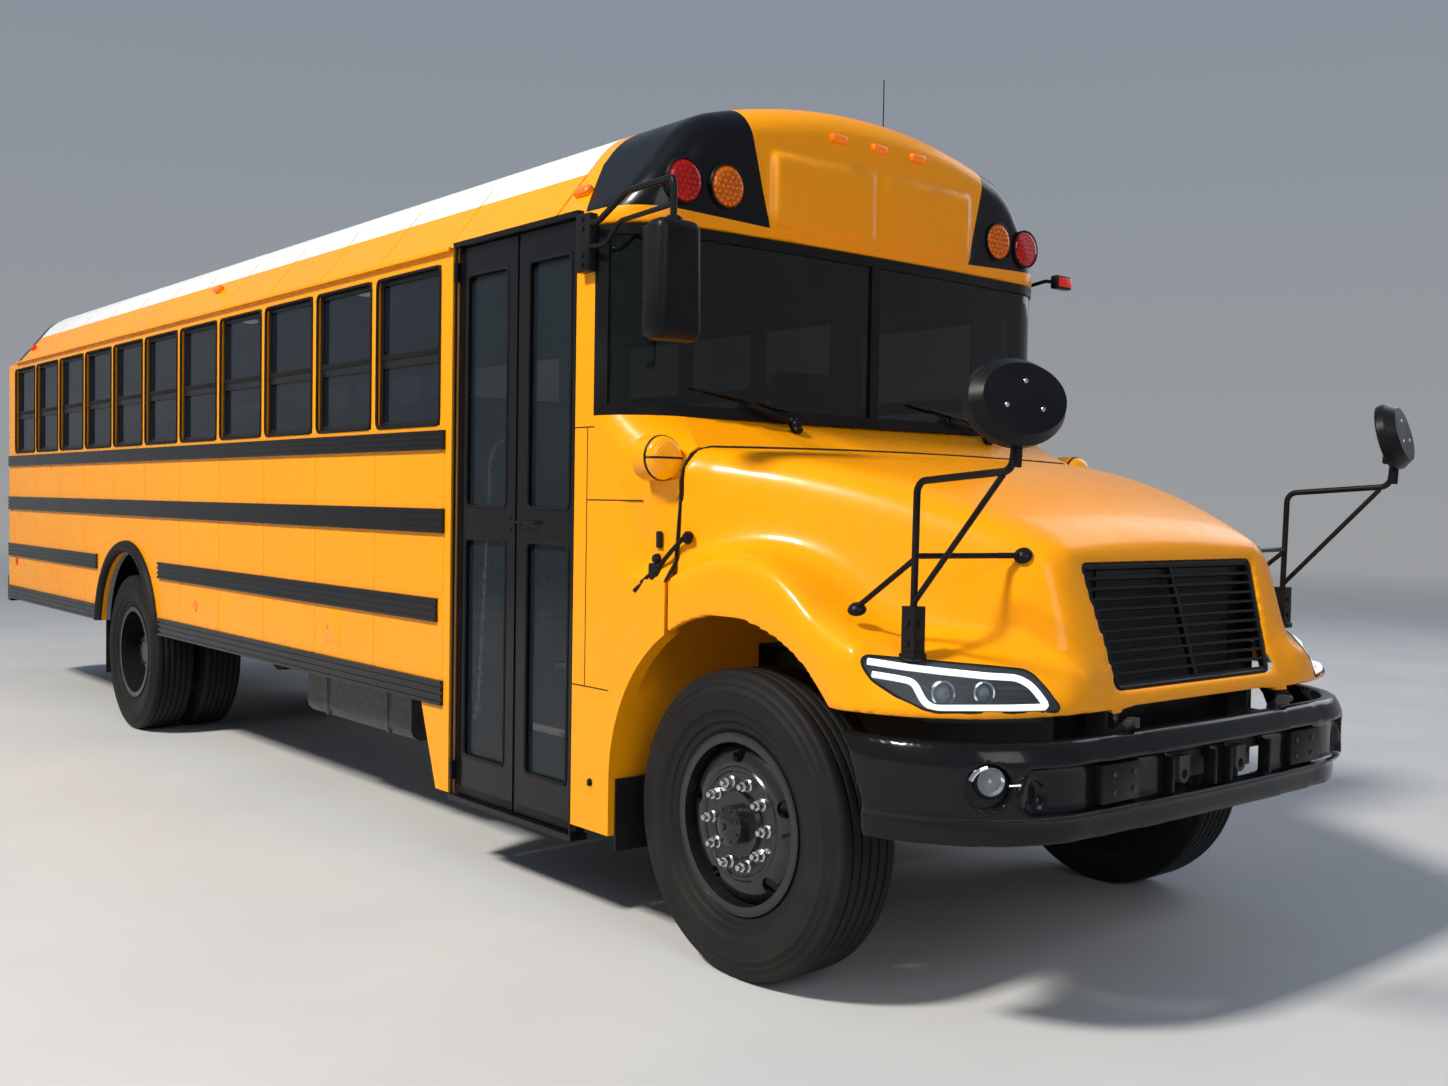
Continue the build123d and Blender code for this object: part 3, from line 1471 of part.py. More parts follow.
# Stop arm: a blank eight-sided blade folded back against the driver's side
stop_station = rail_start + 352
stop_z = 1680
stop_hinge_x = body_half + 40
with BuildPart() as stop_arm:
    with BuildSketch(along(stop_hinge_x + 6)) as sign:
        with Locations((stop_station + 330, stop_z)):
            RegularPolygon(232, 8, rotation=22.5)
    extrude(sign.sketch, amount=8)
    block((stop_hinge_x, stop_station, stop_z - 60), (stop_hinge_x + 14, stop_station + 160, stop_z + 60))
    rod((stop_hinge_x, stop_station, stop_z - 60), (stop_hinge_x, stop_station, stop_z + 60), 14)
    rod(
        (stop_hinge_x, stop_station, stop_z - 70),
        (stop_hinge_x, stop_station, stop_z + 70),
        leaf_pin + 0.3,
        Mode.SUBTRACT,
    )
finish(stop_arm.part, "stop_arm")
with BuildPart() as stop_bracket:
    block(
        (body_half + 0.3, stop_station - 60, stop_z - 100),
        (body_half + 18, stop_station + 60, stop_z + 100),
    )
    for foot, head in ((stop_z - 90, stop_z - 66), (stop_z + 66, stop_z + 90)):
        block((body_half + 17, stop_station - 20, foot), (stop_hinge_x + 14, stop_station + 20, head))
    rod((stop_hinge_x, stop_station, stop_z - 80), (stop_hinge_x, stop_station, stop_z + 80), leaf_pin)
finish(stop_bracket.part, "stop_arm_bracket")

# Roof hatches: lids on the two curbs, hinged on pins along their front edges
for word, s in zip(("front", "rear"), hatch_stations):
    with BuildPart() as lid:
        edge = s - hatch_reach
        block((-hatch_reach, edge, lid_low), (hatch_reach, s + hatch_reach, lid_low + 27))
        for x in (-hatch_lug_x, hatch_lug_x):
            low, high = (x - 30, edge - 20, lid_low - 1), (x + 30, edge + 22, lid_low + 28)
            block(low, high, Mode.SUBTRACT)
        for x in (-hatch_lug_x - 60, hatch_lug_x + 60):
            rod((x - 24, edge, hatch_pin_z), (x + 24, edge, hatch_pin_z), hatch_pin + 5)
            rod((x - 30, edge, hatch_pin_z), (x + 30, edge, hatch_pin_z), hatch_pin + 0.3, Mode.SUBTRACT)
    finish(lid.part, f"roof_hatch_{word}")
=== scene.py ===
# %% [markdown]
# # A bonneted school bus
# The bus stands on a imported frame: every piece of the frame is already at its real place,
# in metres, with Z up, Y towards the rear and X towards the driver's side. This lesson dresses
# that frame. It sets the camera and the light, gives each frame piece a painted, moulded or
# rubber finish, and models the small pieces that make the bus look real.

# %% Load the frame
import json
import math

import bmesh
import bpy
from mathutils import Matrix, Vector


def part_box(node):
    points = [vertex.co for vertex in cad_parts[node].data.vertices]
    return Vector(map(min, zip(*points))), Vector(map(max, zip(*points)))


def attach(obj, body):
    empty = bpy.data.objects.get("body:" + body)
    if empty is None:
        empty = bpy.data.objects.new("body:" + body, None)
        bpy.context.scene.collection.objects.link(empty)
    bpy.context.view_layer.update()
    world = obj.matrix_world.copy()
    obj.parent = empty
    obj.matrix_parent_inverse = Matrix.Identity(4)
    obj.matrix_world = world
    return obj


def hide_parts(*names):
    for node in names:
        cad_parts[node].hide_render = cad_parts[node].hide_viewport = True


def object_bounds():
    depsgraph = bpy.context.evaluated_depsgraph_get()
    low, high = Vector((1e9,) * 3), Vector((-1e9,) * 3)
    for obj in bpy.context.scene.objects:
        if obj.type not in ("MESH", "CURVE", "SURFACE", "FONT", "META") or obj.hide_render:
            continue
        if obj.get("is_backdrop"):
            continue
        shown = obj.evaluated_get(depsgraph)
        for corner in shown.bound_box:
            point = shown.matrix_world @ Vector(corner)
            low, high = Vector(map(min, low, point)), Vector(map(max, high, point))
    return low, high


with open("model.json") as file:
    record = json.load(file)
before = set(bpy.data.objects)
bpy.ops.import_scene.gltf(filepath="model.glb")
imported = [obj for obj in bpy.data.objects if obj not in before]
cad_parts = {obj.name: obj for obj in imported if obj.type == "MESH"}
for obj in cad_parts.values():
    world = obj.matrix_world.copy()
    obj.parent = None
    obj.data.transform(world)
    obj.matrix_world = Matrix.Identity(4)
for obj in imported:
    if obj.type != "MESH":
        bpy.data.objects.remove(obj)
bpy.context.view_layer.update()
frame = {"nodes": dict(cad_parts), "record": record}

nodes = frame["nodes"]

# %% [markdown]
# Lengths along a bus are given as stations, measured rearwards from the front axle, and
# heights from a datum a little above the road. One helper turns a station and a height into
# a point of the frame, so the numbers below are the ones a body builder would read off.

# %% Stations and heights
MID_STATION = 4.28625
DATUM_UP = 0.02


def spot(x, station, height):
    """A point of the bus: across from the middle, behind the front axle, above the datum."""
    return Vector((x, station - MID_STATION, height + DATUM_UP))


# %% [markdown]
# The camera stands at the door-side front corner at a standing person's eye height, with a
# slightly wide lens. The three angles are turned into the camera's right, up and forward
# directions, which are the columns of its rotation.

# %% Camera
CAMERA_PLACE = Vector((-4.1943, -7.85965, 1.6123))
CAMERA_YAW = math.radians(39.829)
CAMERA_PITCH = math.radians(-1.675)
CAMERA_ROLL = math.radians(0.911)

forward = Vector((math.sin(CAMERA_YAW) * math.cos(CAMERA_PITCH),
                  math.cos(CAMERA_YAW) * math.cos(CAMERA_PITCH), math.sin(CAMERA_PITCH)))
level_right = Vector((math.cos(CAMERA_YAW), -math.sin(CAMERA_YAW), 0))
level_up = level_right.cross(forward)
right = level_right * math.cos(CAMERA_ROLL) + level_up * math.sin(CAMERA_ROLL)
up = -level_right * math.sin(CAMERA_ROLL) + level_up * math.cos(CAMERA_ROLL)

lens = bpy.data.cameras.new("camera")
lens.lens = 34.79
lens.sensor_width = 36.0
lens.clip_end = 400
camera = bpy.data.objects.new("camera", lens)
bpy.context.scene.collection.objects.link(camera)
turn = Matrix((right, up, -forward)).transposed().to_4x4()
camera.matrix_world = Matrix.Translation(CAMERA_PLACE) @ turn
bpy.context.scene.camera = camera
print("camera at", tuple(CAMERA_PLACE))

# %% [markdown]
# A yellow bus looks right only if its paint reflects something. A pale sky that is brighter
# near the horizon gives the long soft reflections, one large warm light from the door side
# stands for the sun, and two weaker ones open up the nose and the far side.

# %% Light
scene = bpy.context.scene
scene.view_settings.view_transform = "Standard"
scene.view_settings.look = "None"

HORIZON = (0.62, 0.64, 0.66)
SKY_STRENGTH = 0.52
world = bpy.data.worlds.new("soft sky")
world.use_nodes = True
scene.world = world
sky = world.node_tree
direction = sky.nodes.new("ShaderNodeTexCoord")
split = sky.nodes.new("ShaderNodeSeparateXYZ")
ramp = sky.nodes.new("ShaderNodeValToRGB")
sky.links.new(direction.outputs["Generated"], split.inputs[0])
sky.links.new(split.outputs["Z"], ramp.inputs["Fac"])
ramp.color_ramp.elements[0].position = 0.0
ramp.color_ramp.elements[0].color = (*HORIZON, 1)
ramp.color_ramp.elements[1].position = 0.75
ramp.color_ramp.elements[1].color = (0.3, 0.42, 0.62, 1)
sky.links.new(ramp.outputs["Color"], sky.nodes["Background"].inputs["Color"])
sky.nodes["Background"].inputs["Strength"].default_value = SKY_STRENGTH


def area_light(name, place, target, size, power, color):
    """A square soft light at a place, facing a target."""
    data = bpy.data.lights.new(name, "AREA")
    data.shape = "SQUARE"
    data.size = size
    data.energy = power
    data.color = color
    light = bpy.data.objects.new(name, data)
    light.location = place
    light.rotation_mode = "QUATERNION"
    light.rotation_quaternion = (Vector(target) - Vector(place)).to_track_quat("-Z", "Y")
    scene.collection.objects.link(light)
    return light


area_light("sun", (-15, -2, 17), (0, -1, 1), 2.6, 6000, (1.0, 0.95, 0.87))
area_light("nose fill", (-4, -16, 8), (0, -4, 1), 6.0, 420, (0.95, 0.97, 1.0))
area_light("far fill", (13, -3, 8), (0, 0, 1), 8.0, 380, (0.92, 0.96, 1.0))

# %% [markdown]
# A finish is a small graph of nodes. Nearly every one here wants the same things: the place
# on the piece, a noise at some scale, a way to blend two colours, and a fine bump. These
# helpers add one node each, and the finishes below read like a recipe.

# %% Node helpers
class Finish:
    """A material with its shader, built up one node at a time on Object coordinates."""

    slot = "trim_black"

    def __init__(self, name, color, roughness, metallic=0.0):
        self.material = bpy.data.materials.new(name)
        self.material.use_nodes = True
        self.tree = self.material.node_tree
        self.shader = self.tree.nodes["Principled BSDF"]
        self.place = self.add("ShaderNodeTexCoord").outputs["Object"]
        self.set("Base Color", (*color, 1))
        self.set("Roughness", roughness)
        self.set("Metallic", metallic)
        print("finish:", name)

    def add(self, kind, **settings):
        """One new node with its settings."""
        node = self.tree.nodes.new(kind)
        for key, value in settings.items():
            setattr(node, key, value)
        return node

    def plug(self, source, socket):
        """A link where source is an output, a plain value otherwise."""
        if isinstance(source, bpy.types.NodeSocket):
            self.tree.links.new(source, socket)
        else:
            socket.default_value = source

    def set(self, name, value):
        """A value or an output for one of the shader's sockets."""
        self.plug(value, self.shader.inputs[name])
        return self

    def stretch(self, scale):
        """The place on the piece, scaled by a number for each axis."""
        node = self.add("ShaderNodeMapping")
        self.plug(self.place, node.inputs["Vector"])
        node.inputs["Scale"].default_value = scale
        return node.outputs["Vector"]

    def noise(self, scale, detail=4.0, place=None):
        """A cloudy value between 0 and 1."""
        node = self.add("ShaderNodeTexNoise")
        self.plug(place or self.place, node.inputs["Vector"])
        node.inputs["Scale"].default_value = scale
        node.inputs["Detail"].default_value = detail
        return node.outputs["Fac"]

    def math(self, operation, a, b=0.0):
        """Arithmetic on two values."""
        node = self.add("ShaderNodeMath", operation=operation)
        self.plug(a, node.inputs[0])
        self.plug(b, node.inputs[1])
        return node.outputs[0]

    def remap(self, value, low, high, new_low, new_high):
        """A value moved from one range to another, and held inside it."""
        node = self.add("ShaderNodeMapRange")
        self.plug(value, node.inputs["Value"])
        for socket, number in zip(node.inputs[1:5], (low, high, new_low, new_high)):
            socket.default_value = number
        return node.outputs["Result"]

    def blend(self, factor, a, b):
        """A colour between a and b."""
        node = self.add("ShaderNodeMix", data_type="RGBA")
        self.plug(factor, node.inputs["Factor"])
        self.plug((*a, 1) if isinstance(a, tuple) else a, node.inputs["A"])
        self.plug((*b, 1) if isinstance(b, tuple) else b, node.inputs["B"])
        return node.outputs["Result"]

    def axes(self):
        """The three coordinates of the place on the piece."""
        node = self.add("ShaderNodeSeparateXYZ")
        self.plug(self.place, node.inputs[0])
        return node.outputs["X"], node.outputs["Y"], node.outputs["Z"]

    def bump(self, height, strength, distance):
        """A fine relief on the shader's normal."""
        node = self.add("ShaderNodeBump")
        self.plug(height, node.inputs["Height"])
        node.inputs["Strength"].default_value = strength
        node.inputs["Distance"].default_value = distance
        self.set("Normal", node.outputs["Normal"])
        return node.outputs["Normal"]


# %% [markdown]
# The paint on a bus is thick and glossy, with a faint ripple like orange peel, long waves
# where thin sheet is pulled by its rivets, and a film of road dust that is heavier towards
# the skirt. The dust is a noise that is stronger the lower the paint lies.

# %% Paints
YELLOW = (0.92, 0.335, 0.001)
YELLOW_DEEP = (0.88, 0.312, 0.001)
ROOF_WHITE = (0.8, 0.82, 0.83)
ROOF_WHITE_DEEP = (0.72, 0.74, 0.75)
GLOSS_BLACK = (0.004, 0.004, 0.005)
DUST = (0.34, 0.29, 0.22)


def road_dust(finish, clean, amount):
    """The clean colour under a film of dust that fades out above the wheels."""
    low_down = finish.remap(finish.axes()[2], 0.25, 1.9, amount, 0.0)
    patches = finish.remap(finish.noise(2.3, 6.0), 0.35, 0.75, 0.25, 1.0)
    return finish.blend(finish.math("MULTIPLY", low_down, patches), clean, DUST)


def paint(name, color, deep, roughness=0.28, dust=0.015, coat=0.16):
    """A glossy coat with orange peel, soft panel waves and a little dust."""
    made = Finish(name, color, roughness)
    shade = made.blend(made.remap(made.noise(0.7), 0.3, 0.7, 0.0, 1.0), color, deep)
    made.set("Base Color", road_dust(made, shade, dust))
    made.set("Roughness", made.remap(made.noise(9.0), 0.3, 0.7, roughness - 0.04, roughness + 0.05))
    made.set("Coat Weight", coat).set("Coat Roughness", 0.06).set("Specular IOR Level", 0.14)
    waves = made.noise(1.6, 1.0)
    peel = made.math("MULTIPLY", made.noise(300.0, 1.0), 0.004)
    made.bump(made.math("ADD", waves, peel), 0.06, 0.006)
    return made


body_paint = paint("bus yellow", YELLOW, YELLOW_DEEP)
roof_paint = paint("roof white", ROOF_WHITE, ROOF_WHITE_DEEP, 0.34, 0.0)
black_paint = paint("gloss black", GLOSS_BLACK, (0.006, 0.006, 0.007), 0.2, 0.01, 0.2)

# %% [markdown]
# The front and rear caps are one shell painted in two colours: yellow in the middle, gloss
# black round the warning lamps at both corners. The edge between them is masked along
# straight lines, so it can be worked out from the place on the shell with a few comparisons.

# %% Cap paint
BLACK_INNER_FOOT = (0.583, 2.655)
BLACK_INNER_HEAD = (0.684, 3.043)
BLACK_FOOT_RISE = 0.039
CAP_BLACK_REAR = 9.2
CAP_BLACK_BACK = ((2.655, 0.846), (2.763, 0.92), (2.912, 1.01))


def cap_paint(name, front):
    """Yellow with a black corner on each side, from masks across, up and along the bus."""
    made = paint(name, YELLOW, YELLOW_DEEP)
    x, y, z = made.axes()
    wide = made.math("ABSOLUTE", x)
    height = made.math("SUBTRACT", z, DATUM_UP)
    lean = (BLACK_INNER_HEAD[0] - BLACK_INNER_FOOT[0]) / (BLACK_INNER_HEAD[1] - BLACK_INNER_FOOT[1])
    climb = made.math("MULTIPLY", made.math("SUBTRACT", height, BLACK_INNER_FOOT[1]), lean)
    outside = made.math("GREATER_THAN", wide, made.math("ADD", climb, BLACK_INNER_FOOT[0]))
    rise = made.math("MULTIPLY", made.math("SUBTRACT", wide, BLACK_INNER_FOOT[0]), BLACK_FOOT_RISE)
    above = made.math("GREATER_THAN", height, made.math("ADD", rise, BLACK_INNER_FOOT[1]))
    station = made.math("ADD", y, MID_STATION)
    if front:
        (z0, s0), (z1, s1), (z2, s2) = CAP_BLACK_BACK
        foot = made.remap(height, z0, z1, s0, s1)
        head = made.remap(height, z1, z2, 0.0, s2 - s1)
        near = made.math("LESS_THAN", station, made.math("ADD", foot, head))
    else:
        near = made.math("GREATER_THAN", station, CAP_BLACK_REAR)
    mask = made.math("MULTIPLY", made.math("MULTIPLY", outside, above), near)
    yellow = made.shader.inputs["Base Color"].links[0].from_socket
    made.set("Base Color", made.blend(mask, yellow, GLOSS_BLACK))
    return made


front_cap_paint = cap_paint("front cap yellow and black", True)
rear_cap_paint = cap_paint("rear cap yellow and black", False)

# %% [markdown]
# The shell of the body is painted outside and lined inside. Whether a point of the shell is
# on the inner side follows from how far it lies under the roof's arc, behind the coves' two
# flat bands and inside the side walls, so one mask serves every panel.

# %% Lining
LINING = (0.26, 0.265, 0.26)
LINING_START = 0.65
INNER_CROWN, SAG, INNER_HALF = 3.172, 0.175, 1.19
COVE_BANDS = ((0.8, 3.083, 0.56, 0.83), (1.219, 2.656, 0.79, 0.612))  # corner, direction


def inside_mask(made, rear_station):
    """1 on the faces that look into the bus, ahead of a station."""
    x, y, z = made.axes()
    wide = made.math("ABSOLUTE", x)
    corner = made.math("MULTIPLY", made.math("SUBTRACT", wide, 1.0), 0.8)
    front_limit = made.math("ADD", made.math("MAXIMUM", corner, 0.0), LINING_START - MID_STATION)
    rear_limit = rear_station - MID_STATION
    height = made.math("SUBTRACT", z, DATUM_UP)
    sag = made.math("MULTIPLY", made.math("MULTIPLY", wide, wide), SAG)
    mask = made.math("LESS_THAN", made.math("ADD", height, sag), INNER_CROWN)
    for corner_x, corner_z, slope_x, slope_z in COVE_BANDS:
        reach = made.math("ADD", made.math("MULTIPLY", wide, slope_x),
                          made.math("MULTIPLY", height, slope_z))
        limit = corner_x * slope_x + corner_z * slope_z - 0.02
        mask = made.math("MULTIPLY", mask, made.math("LESS_THAN", reach, limit))
    for test, value, limit in (("LESS_THAN", wide, INNER_HALF),
                               ("GREATER_THAN", y, front_limit),
                               ("LESS_THAN", y, rear_limit)):
        mask = made.math("MULTIPLY", mask, made.math(test, value, limit))
    return mask


def lined(made, rear_station=9.53):
    """A painted shell with its inner faces in the lining's colour."""
    outside = made.shader.inputs["Base Color"].links[0].from_socket
    made.set("Base Color", made.blend(inside_mask(made, rear_station), outside, LINING))
    return made


shell_paint = lined(paint("bus yellow, lined", YELLOW, YELLOW_DEEP))
roof_shell_paint = lined(paint("roof white, lined", ROOF_WHITE, ROOF_WHITE_DEEP, 0.34, 0.0))
lined(front_cap_paint)
lined(rear_cap_paint, 9.32)

# %% [markdown]
# Rubber and moulded black plastic are never quite black and never flat: they carry a fine
# grain, greyed patches where hands and weather reach, and a dull sheen.

# %% Rubber and plastics
def moulded(name, color, worn, roughness, grain=900.0, dust=0.03):
    """A moulded black with a fine grain, weathered patches and some dust."""
    made = Finish(name, color, roughness)
    patches = made.remap(made.noise(5.0, 6.0), 0.4, 0.75, 0.0, 1.0)
    made.set("Base Color", road_dust(made, made.blend(patches, color, worn), dust))
    made.set("Roughness", made.remap(patches, 0.0, 1.0, roughness - 0.06, roughness + 0.1))
    made.set("Specular IOR Level", 0.13)
    made.bump(made.noise(grain, 2.0), 0.25, 0.0006)
    return made


trim = moulded("black trim", (0.006, 0.006, 0.007), (0.011, 0.011, 0.012), 0.38)
rubber = moulded("black rubber", (0.007, 0.007, 0.007), (0.013, 0.013, 0.012), 0.55, 500.0, 0.03)
tyre_rubber = moulded("tyre rubber", (0.007, 0.007, 0.008), (0.014, 0.014, 0.013), 0.6, 350.0, 0.03)
dash = moulded("dashboard plastic", (0.03, 0.031, 0.034), (0.045, 0.046, 0.048), 0.55)

# %% [markdown]
# Steel under the bus is painted black and dusty, castings are rougher, and the wheels are
# painted a satin black that shows scuffs. Aluminium sashes keep a brushed streak.

# %% Metals
def painted_steel(name, color, worn, roughness, metallic=0.0, dust=0.1):
    """Painted or bare steel with scuffs and dust."""
    made = Finish(name, color, roughness, metallic)
    scuffs = made.remap(made.noise(14.0, 8.0), 0.55, 0.8, 0.0, 1.0)
    made.set("Base Color", road_dust(made, made.blend(scuffs, color, worn), dust))
    made.set("Roughness", made.remap(made.noise(30.0), 0.3, 0.7, roughness - 0.08, roughness + 0.08))
    made.bump(made.noise(160.0, 3.0), 0.12, 0.0008)
    return made


frame_steel = painted_steel("frame steel", (0.02, 0.02, 0.022), (0.05, 0.042, 0.034), 0.5)
axle_iron = painted_steel("cast iron", (0.03, 0.029, 0.028), (0.075, 0.055, 0.04), 0.62)
wheel_steel = painted_steel("wheel black", (0.009, 0.009, 0.01), (0.014, 0.014, 0.014), 0.22, 0.0, 0.02)
bright_steel = painted_steel("bright steel", (0.6, 0.6, 0.6), (0.38, 0.36, 0.33), 0.28, 1.0, 0.05)
exhaust_steel = painted_steel("exhaust steel", (0.16, 0.14, 0.12), (0.22, 0.13, 0.08), 0.48, 0.8)
seat_steel = painted_steel("seat steel", (0.25, 0.25, 0.26), (0.4, 0.39, 0.38), 0.35, 0.7, 0.0)


def brushed(name, color, roughness):
    """Drawn aluminium with fine streaks along the bus."""
    made = Finish(name, color, roughness, 0.6)
    streaks = made.noise(240.0, 3.0, made.stretch((1.0, 0.02, 1.0)))
    made.set("Base Color", made.blend(streaks, color, tuple(0.6 * c for c in color)))
    made.set("Roughness", made.remap(streaks, 0.3, 0.7, roughness - 0.08, roughness + 0.08))
    made.bump(streaks, 0.1, 0.0003)
    return made


sash_alloy = brushed("sash black", (0.02, 0.02, 0.022), 0.35)

# %% [markdown]
# Bus glass is tinted, so from outside it is a dark mirror of the sky with a faint view of
# the seats. A partly clear surface does this with no refraction, and it renders quickly.

# %% Glass and lenses
def tinted(name, color, cover, roughness=0.03):
    """A tinted pane: cover is how much of what is behind it is hidden."""
    made = Finish(name, color, roughness)
    film = made.remap(made.noise(1.7, 5.0), 0.3, 0.75, cover - 0.04, cover + 0.05)
    made.set("Alpha", film)
    made.set("IOR", 1.5)
    made.set("Roughness", made.remap(made.noise(6.0), 0.3, 0.7, roughness, roughness + 0.03))
    made.bump(made.noise(1.1, 1.0), 0.05, 0.01)
    return made


side_glass = tinted("side glass", (0.008, 0.014, 0.022), 0.66)
shield_glass = tinted("windshield glass", (0.003, 0.005, 0.005), 0.6)
door_glass = tinted("door glass", (0.016, 0.026, 0.034), 0.4)


def lens_plastic(name, color, glow):
    """A moulded lens: clear colour over a pattern of small prisms."""
    made = Finish(name, color, 0.12)
    x, y, z = made.axes()
    prisms = made.math("MULTIPLY", made.math("SINE", made.math("MULTIPLY", x, 420.0)),
                       made.math("SINE", made.math("MULTIPLY", z, 420.0)))
    cell = made.remap(prisms, -1.0, 1.0, 0.0, 1.0)
    made.set("Base Color", made.blend(cell, tuple(0.55 * c for c in color), color))
    made.set("Coat Weight", 0.5).set("Coat Roughness", 0.03).set("Specular IOR Level", 0.25)
    made.set("Emission Color", (*glow, 1)).set("Emission Strength", 0.3)
    made.bump(prisms, 0.35, 0.0015)
    return made


amber_lens = lens_plastic("amber lens", (0.85, 0.16, 0.0), (1.0, 0.26, 0.0))
red_lens = lens_plastic("red lens", (0.55, 0.006, 0.004), (0.9, 0.012, 0.004))
clear_lens = lens_plastic("clear lens", (0.62, 0.66, 0.7), (0.8, 0.9, 1.0))
turn_lens = lens_plastic("turn lens", (0.95, 0.33, 0.0), (1.0, 0.42, 0.0))

# %% [markdown]
# Inside, the floor is a grey ribbed sheet, the benches are dark grained vinyl, and the
# sides of the roof are off-white. Little of it shows, but it shows through every window.

# %% Inside finishes
floor_sheet = moulded("floor sheet", (0.1, 0.1, 0.105), (0.16, 0.155, 0.15), 0.55, 300.0, 0.0)
seat_vinyl = moulded("seat vinyl", (0.02, 0.026, 0.045), (0.035, 0.042, 0.065), 0.45, 420.0, 0.0)

# %% [markdown]
# Seen from the road the same floor is black: its underside and the hollow over each rear
# wheel are coated against stones and salt. Whether a point is on that side follows from its
# height and its distance from the rear axle.

# %% Undercoat
UNDERCOAT = (0.008, 0.008, 0.008)
WHEELBASE = 6.337
FLOOR_MIDDLE = 1.06
HOLLOW_REACH, HOLLOW_INNER, HOLLOW_TOP = 0.62, 0.58, 1.215


def undercoated(made):
    """A floor finish that is black on the faces that look down at the road."""
    x, y, z = made.axes()
    reach = made.math("ABSOLUTE", made.math("SUBTRACT", y, WHEELBASE - MID_STATION))
    hollow = made.math("LESS_THAN", reach, HOLLOW_REACH)
    for test, value, limit in (("GREATER_THAN", made.math("ABSOLUTE", x), HOLLOW_INNER),
                               ("LESS_THAN", z, HOLLOW_TOP + DATUM_UP)):
        hollow = made.math("MULTIPLY", hollow, made.math(test, value, limit))
    below = made.math("MAXIMUM", hollow, made.math("LESS_THAN", z, FLOOR_MIDDLE + DATUM_UP))
    clean = made.shader.inputs["Base Color"].links[0].from_socket
    made.set("Base Color", made.blend(below, clean, UNDERCOAT))


undercoated(floor_sheet)
print("undercoat below", FLOOR_MIDDLE, "m")

# %% [markdown]
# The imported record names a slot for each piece. Giving every slot its finish dresses the
# whole frame at once, and the few pieces that need their own are named after that.

# %% Dress the frame
BY_SLOT = {
    "hood_moulding": body_paint,
    "body_paint": body_paint,
    "roof_white": roof_paint,
    "black_paint": black_paint,
    "trim_black": trim,
    "arch_rubber": rubber,
    "frame_steel": frame_steel,
    "axle_iron": axle_iron,
    "wheel_steel": wheel_steel,
    "tyre": tyre_rubber,
    "glass": side_glass,
    "lamp_clear": clear_lens,
    "lamp_amber": amber_lens,
    "lamp_red": red_lens,
    "sash_alloy": sash_alloy,
    "floor_grey": floor_sheet,
    "seat_vinyl": seat_vinyl,
    "seat_steel": seat_steel,
    "exhaust_steel": exhaust_steel,
    "dash_plastic": dash,
}
BY_NODE = {
    **dict.fromkeys(("side_wall_right", "side_wall_left", "roof_coves", "rear_wall",
                     "front_cowl", "rear_door"), shell_paint),
    "roof": roof_shell_paint,
    "front_cap": front_cap_paint,
    "rear_cap": rear_cap_paint,
    "windshield": shield_glass,
    "entrance_glass_front": door_glass,
    "entrance_glass_rear": door_glass,
}
for slot, finish in BY_SLOT.items():  # each finish keeps the name of its slot
    finish.slot = slot
rubber.slot = "trim_black"


def dress(piece, finish):
    """A piece shown in one finish."""
    piece.data.materials.clear()
    piece.data.materials.append(finish.material)


for entry in frame["record"]["subparts"]:
    name = entry["node"]
    dress(nodes[name], BY_NODE.get(name, BY_SLOT[entry["material_slot"]]))
print("dressed", len(nodes), "frame pieces")

# %% [markdown]
# The bus stands on a plain pale floor. A faint mottling keeps it from looking like paper, and
# far from the bus it takes on the colour of the sky, so no edge shows where the two meet.

# %% Floor
FLOOR_HALF = 90.0
FADE_START, FADE_END = 9.0, 34.0

floor_finish = Finish("pale floor", (0.52, 0.52, 0.52), 0.65)
mottle = floor_finish.remap(floor_finish.noise(0.8, 8.0), 0.3, 0.7, 0.0, 1.0)
floor_x, floor_y, _ = floor_finish.axes()
far = floor_finish.math("ADD", floor_finish.math("MULTIPLY", floor_x, floor_x),
                        floor_finish.math("MULTIPLY", floor_y, floor_y))
far = floor_finish.remap(floor_finish.math("SQRT", far), FADE_START, FADE_END, 0.0, 1.0)
near_color = floor_finish.blend(mottle, (0.5, 0.5, 0.5), (0.55, 0.55, 0.54))
floor_finish.set("Base Color", floor_finish.blend(far, near_color, (0.0, 0.0, 0.0)))
floor_finish.set("Emission Color", (*HORIZON, 1))
floor_finish.set("Emission Strength", floor_finish.math("MULTIPLY", far, SKY_STRENGTH))
floor_finish.set("Specular IOR Level", 0.0)


def as_object(shape, name):
    """An object that holds a bmesh, which is then freed."""
    mesh = bpy.data.meshes.new(name)
    shape.to_mesh(mesh)
    shape.free()
    made = bpy.data.objects.new(name, mesh)
    scene.collection.objects.link(made)
    return made


ground = bmesh.new()
bmesh.ops.create_grid(ground, x_segments=2, y_segments=2, size=FLOOR_HALF)
stage_floor = as_object(ground, "studio_floor")
dress(stage_floor, floor_finish)
stage_floor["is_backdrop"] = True
print("floor:", 2 * FLOOR_HALF, "m square")

# %% [markdown]
# New pieces are modelled with bmesh operators. A few shapes come back again and again on a
# bus: blocks with rounded edges, round bars, turned parts and bent tubes. Each has a helper
# that starts from one of Blender's own shapes or from a single profile line.

# %% Shape helpers
TURN = 2 * math.pi


def bevelled(shape, edges, width, segments=2):
    """Round some of a shape's edges."""
    bmesh.ops.bevel(shape, geom=edges, offset=width, offset_type="OFFSET", segments=segments,
                    profile=0.5, affect="EDGES", material=-1)
    return shape


def at(place):
    """A point of the frame. A Vector is one already, and a tuple is a place on the bus."""
    return place if isinstance(place, Vector) else spot(*place)


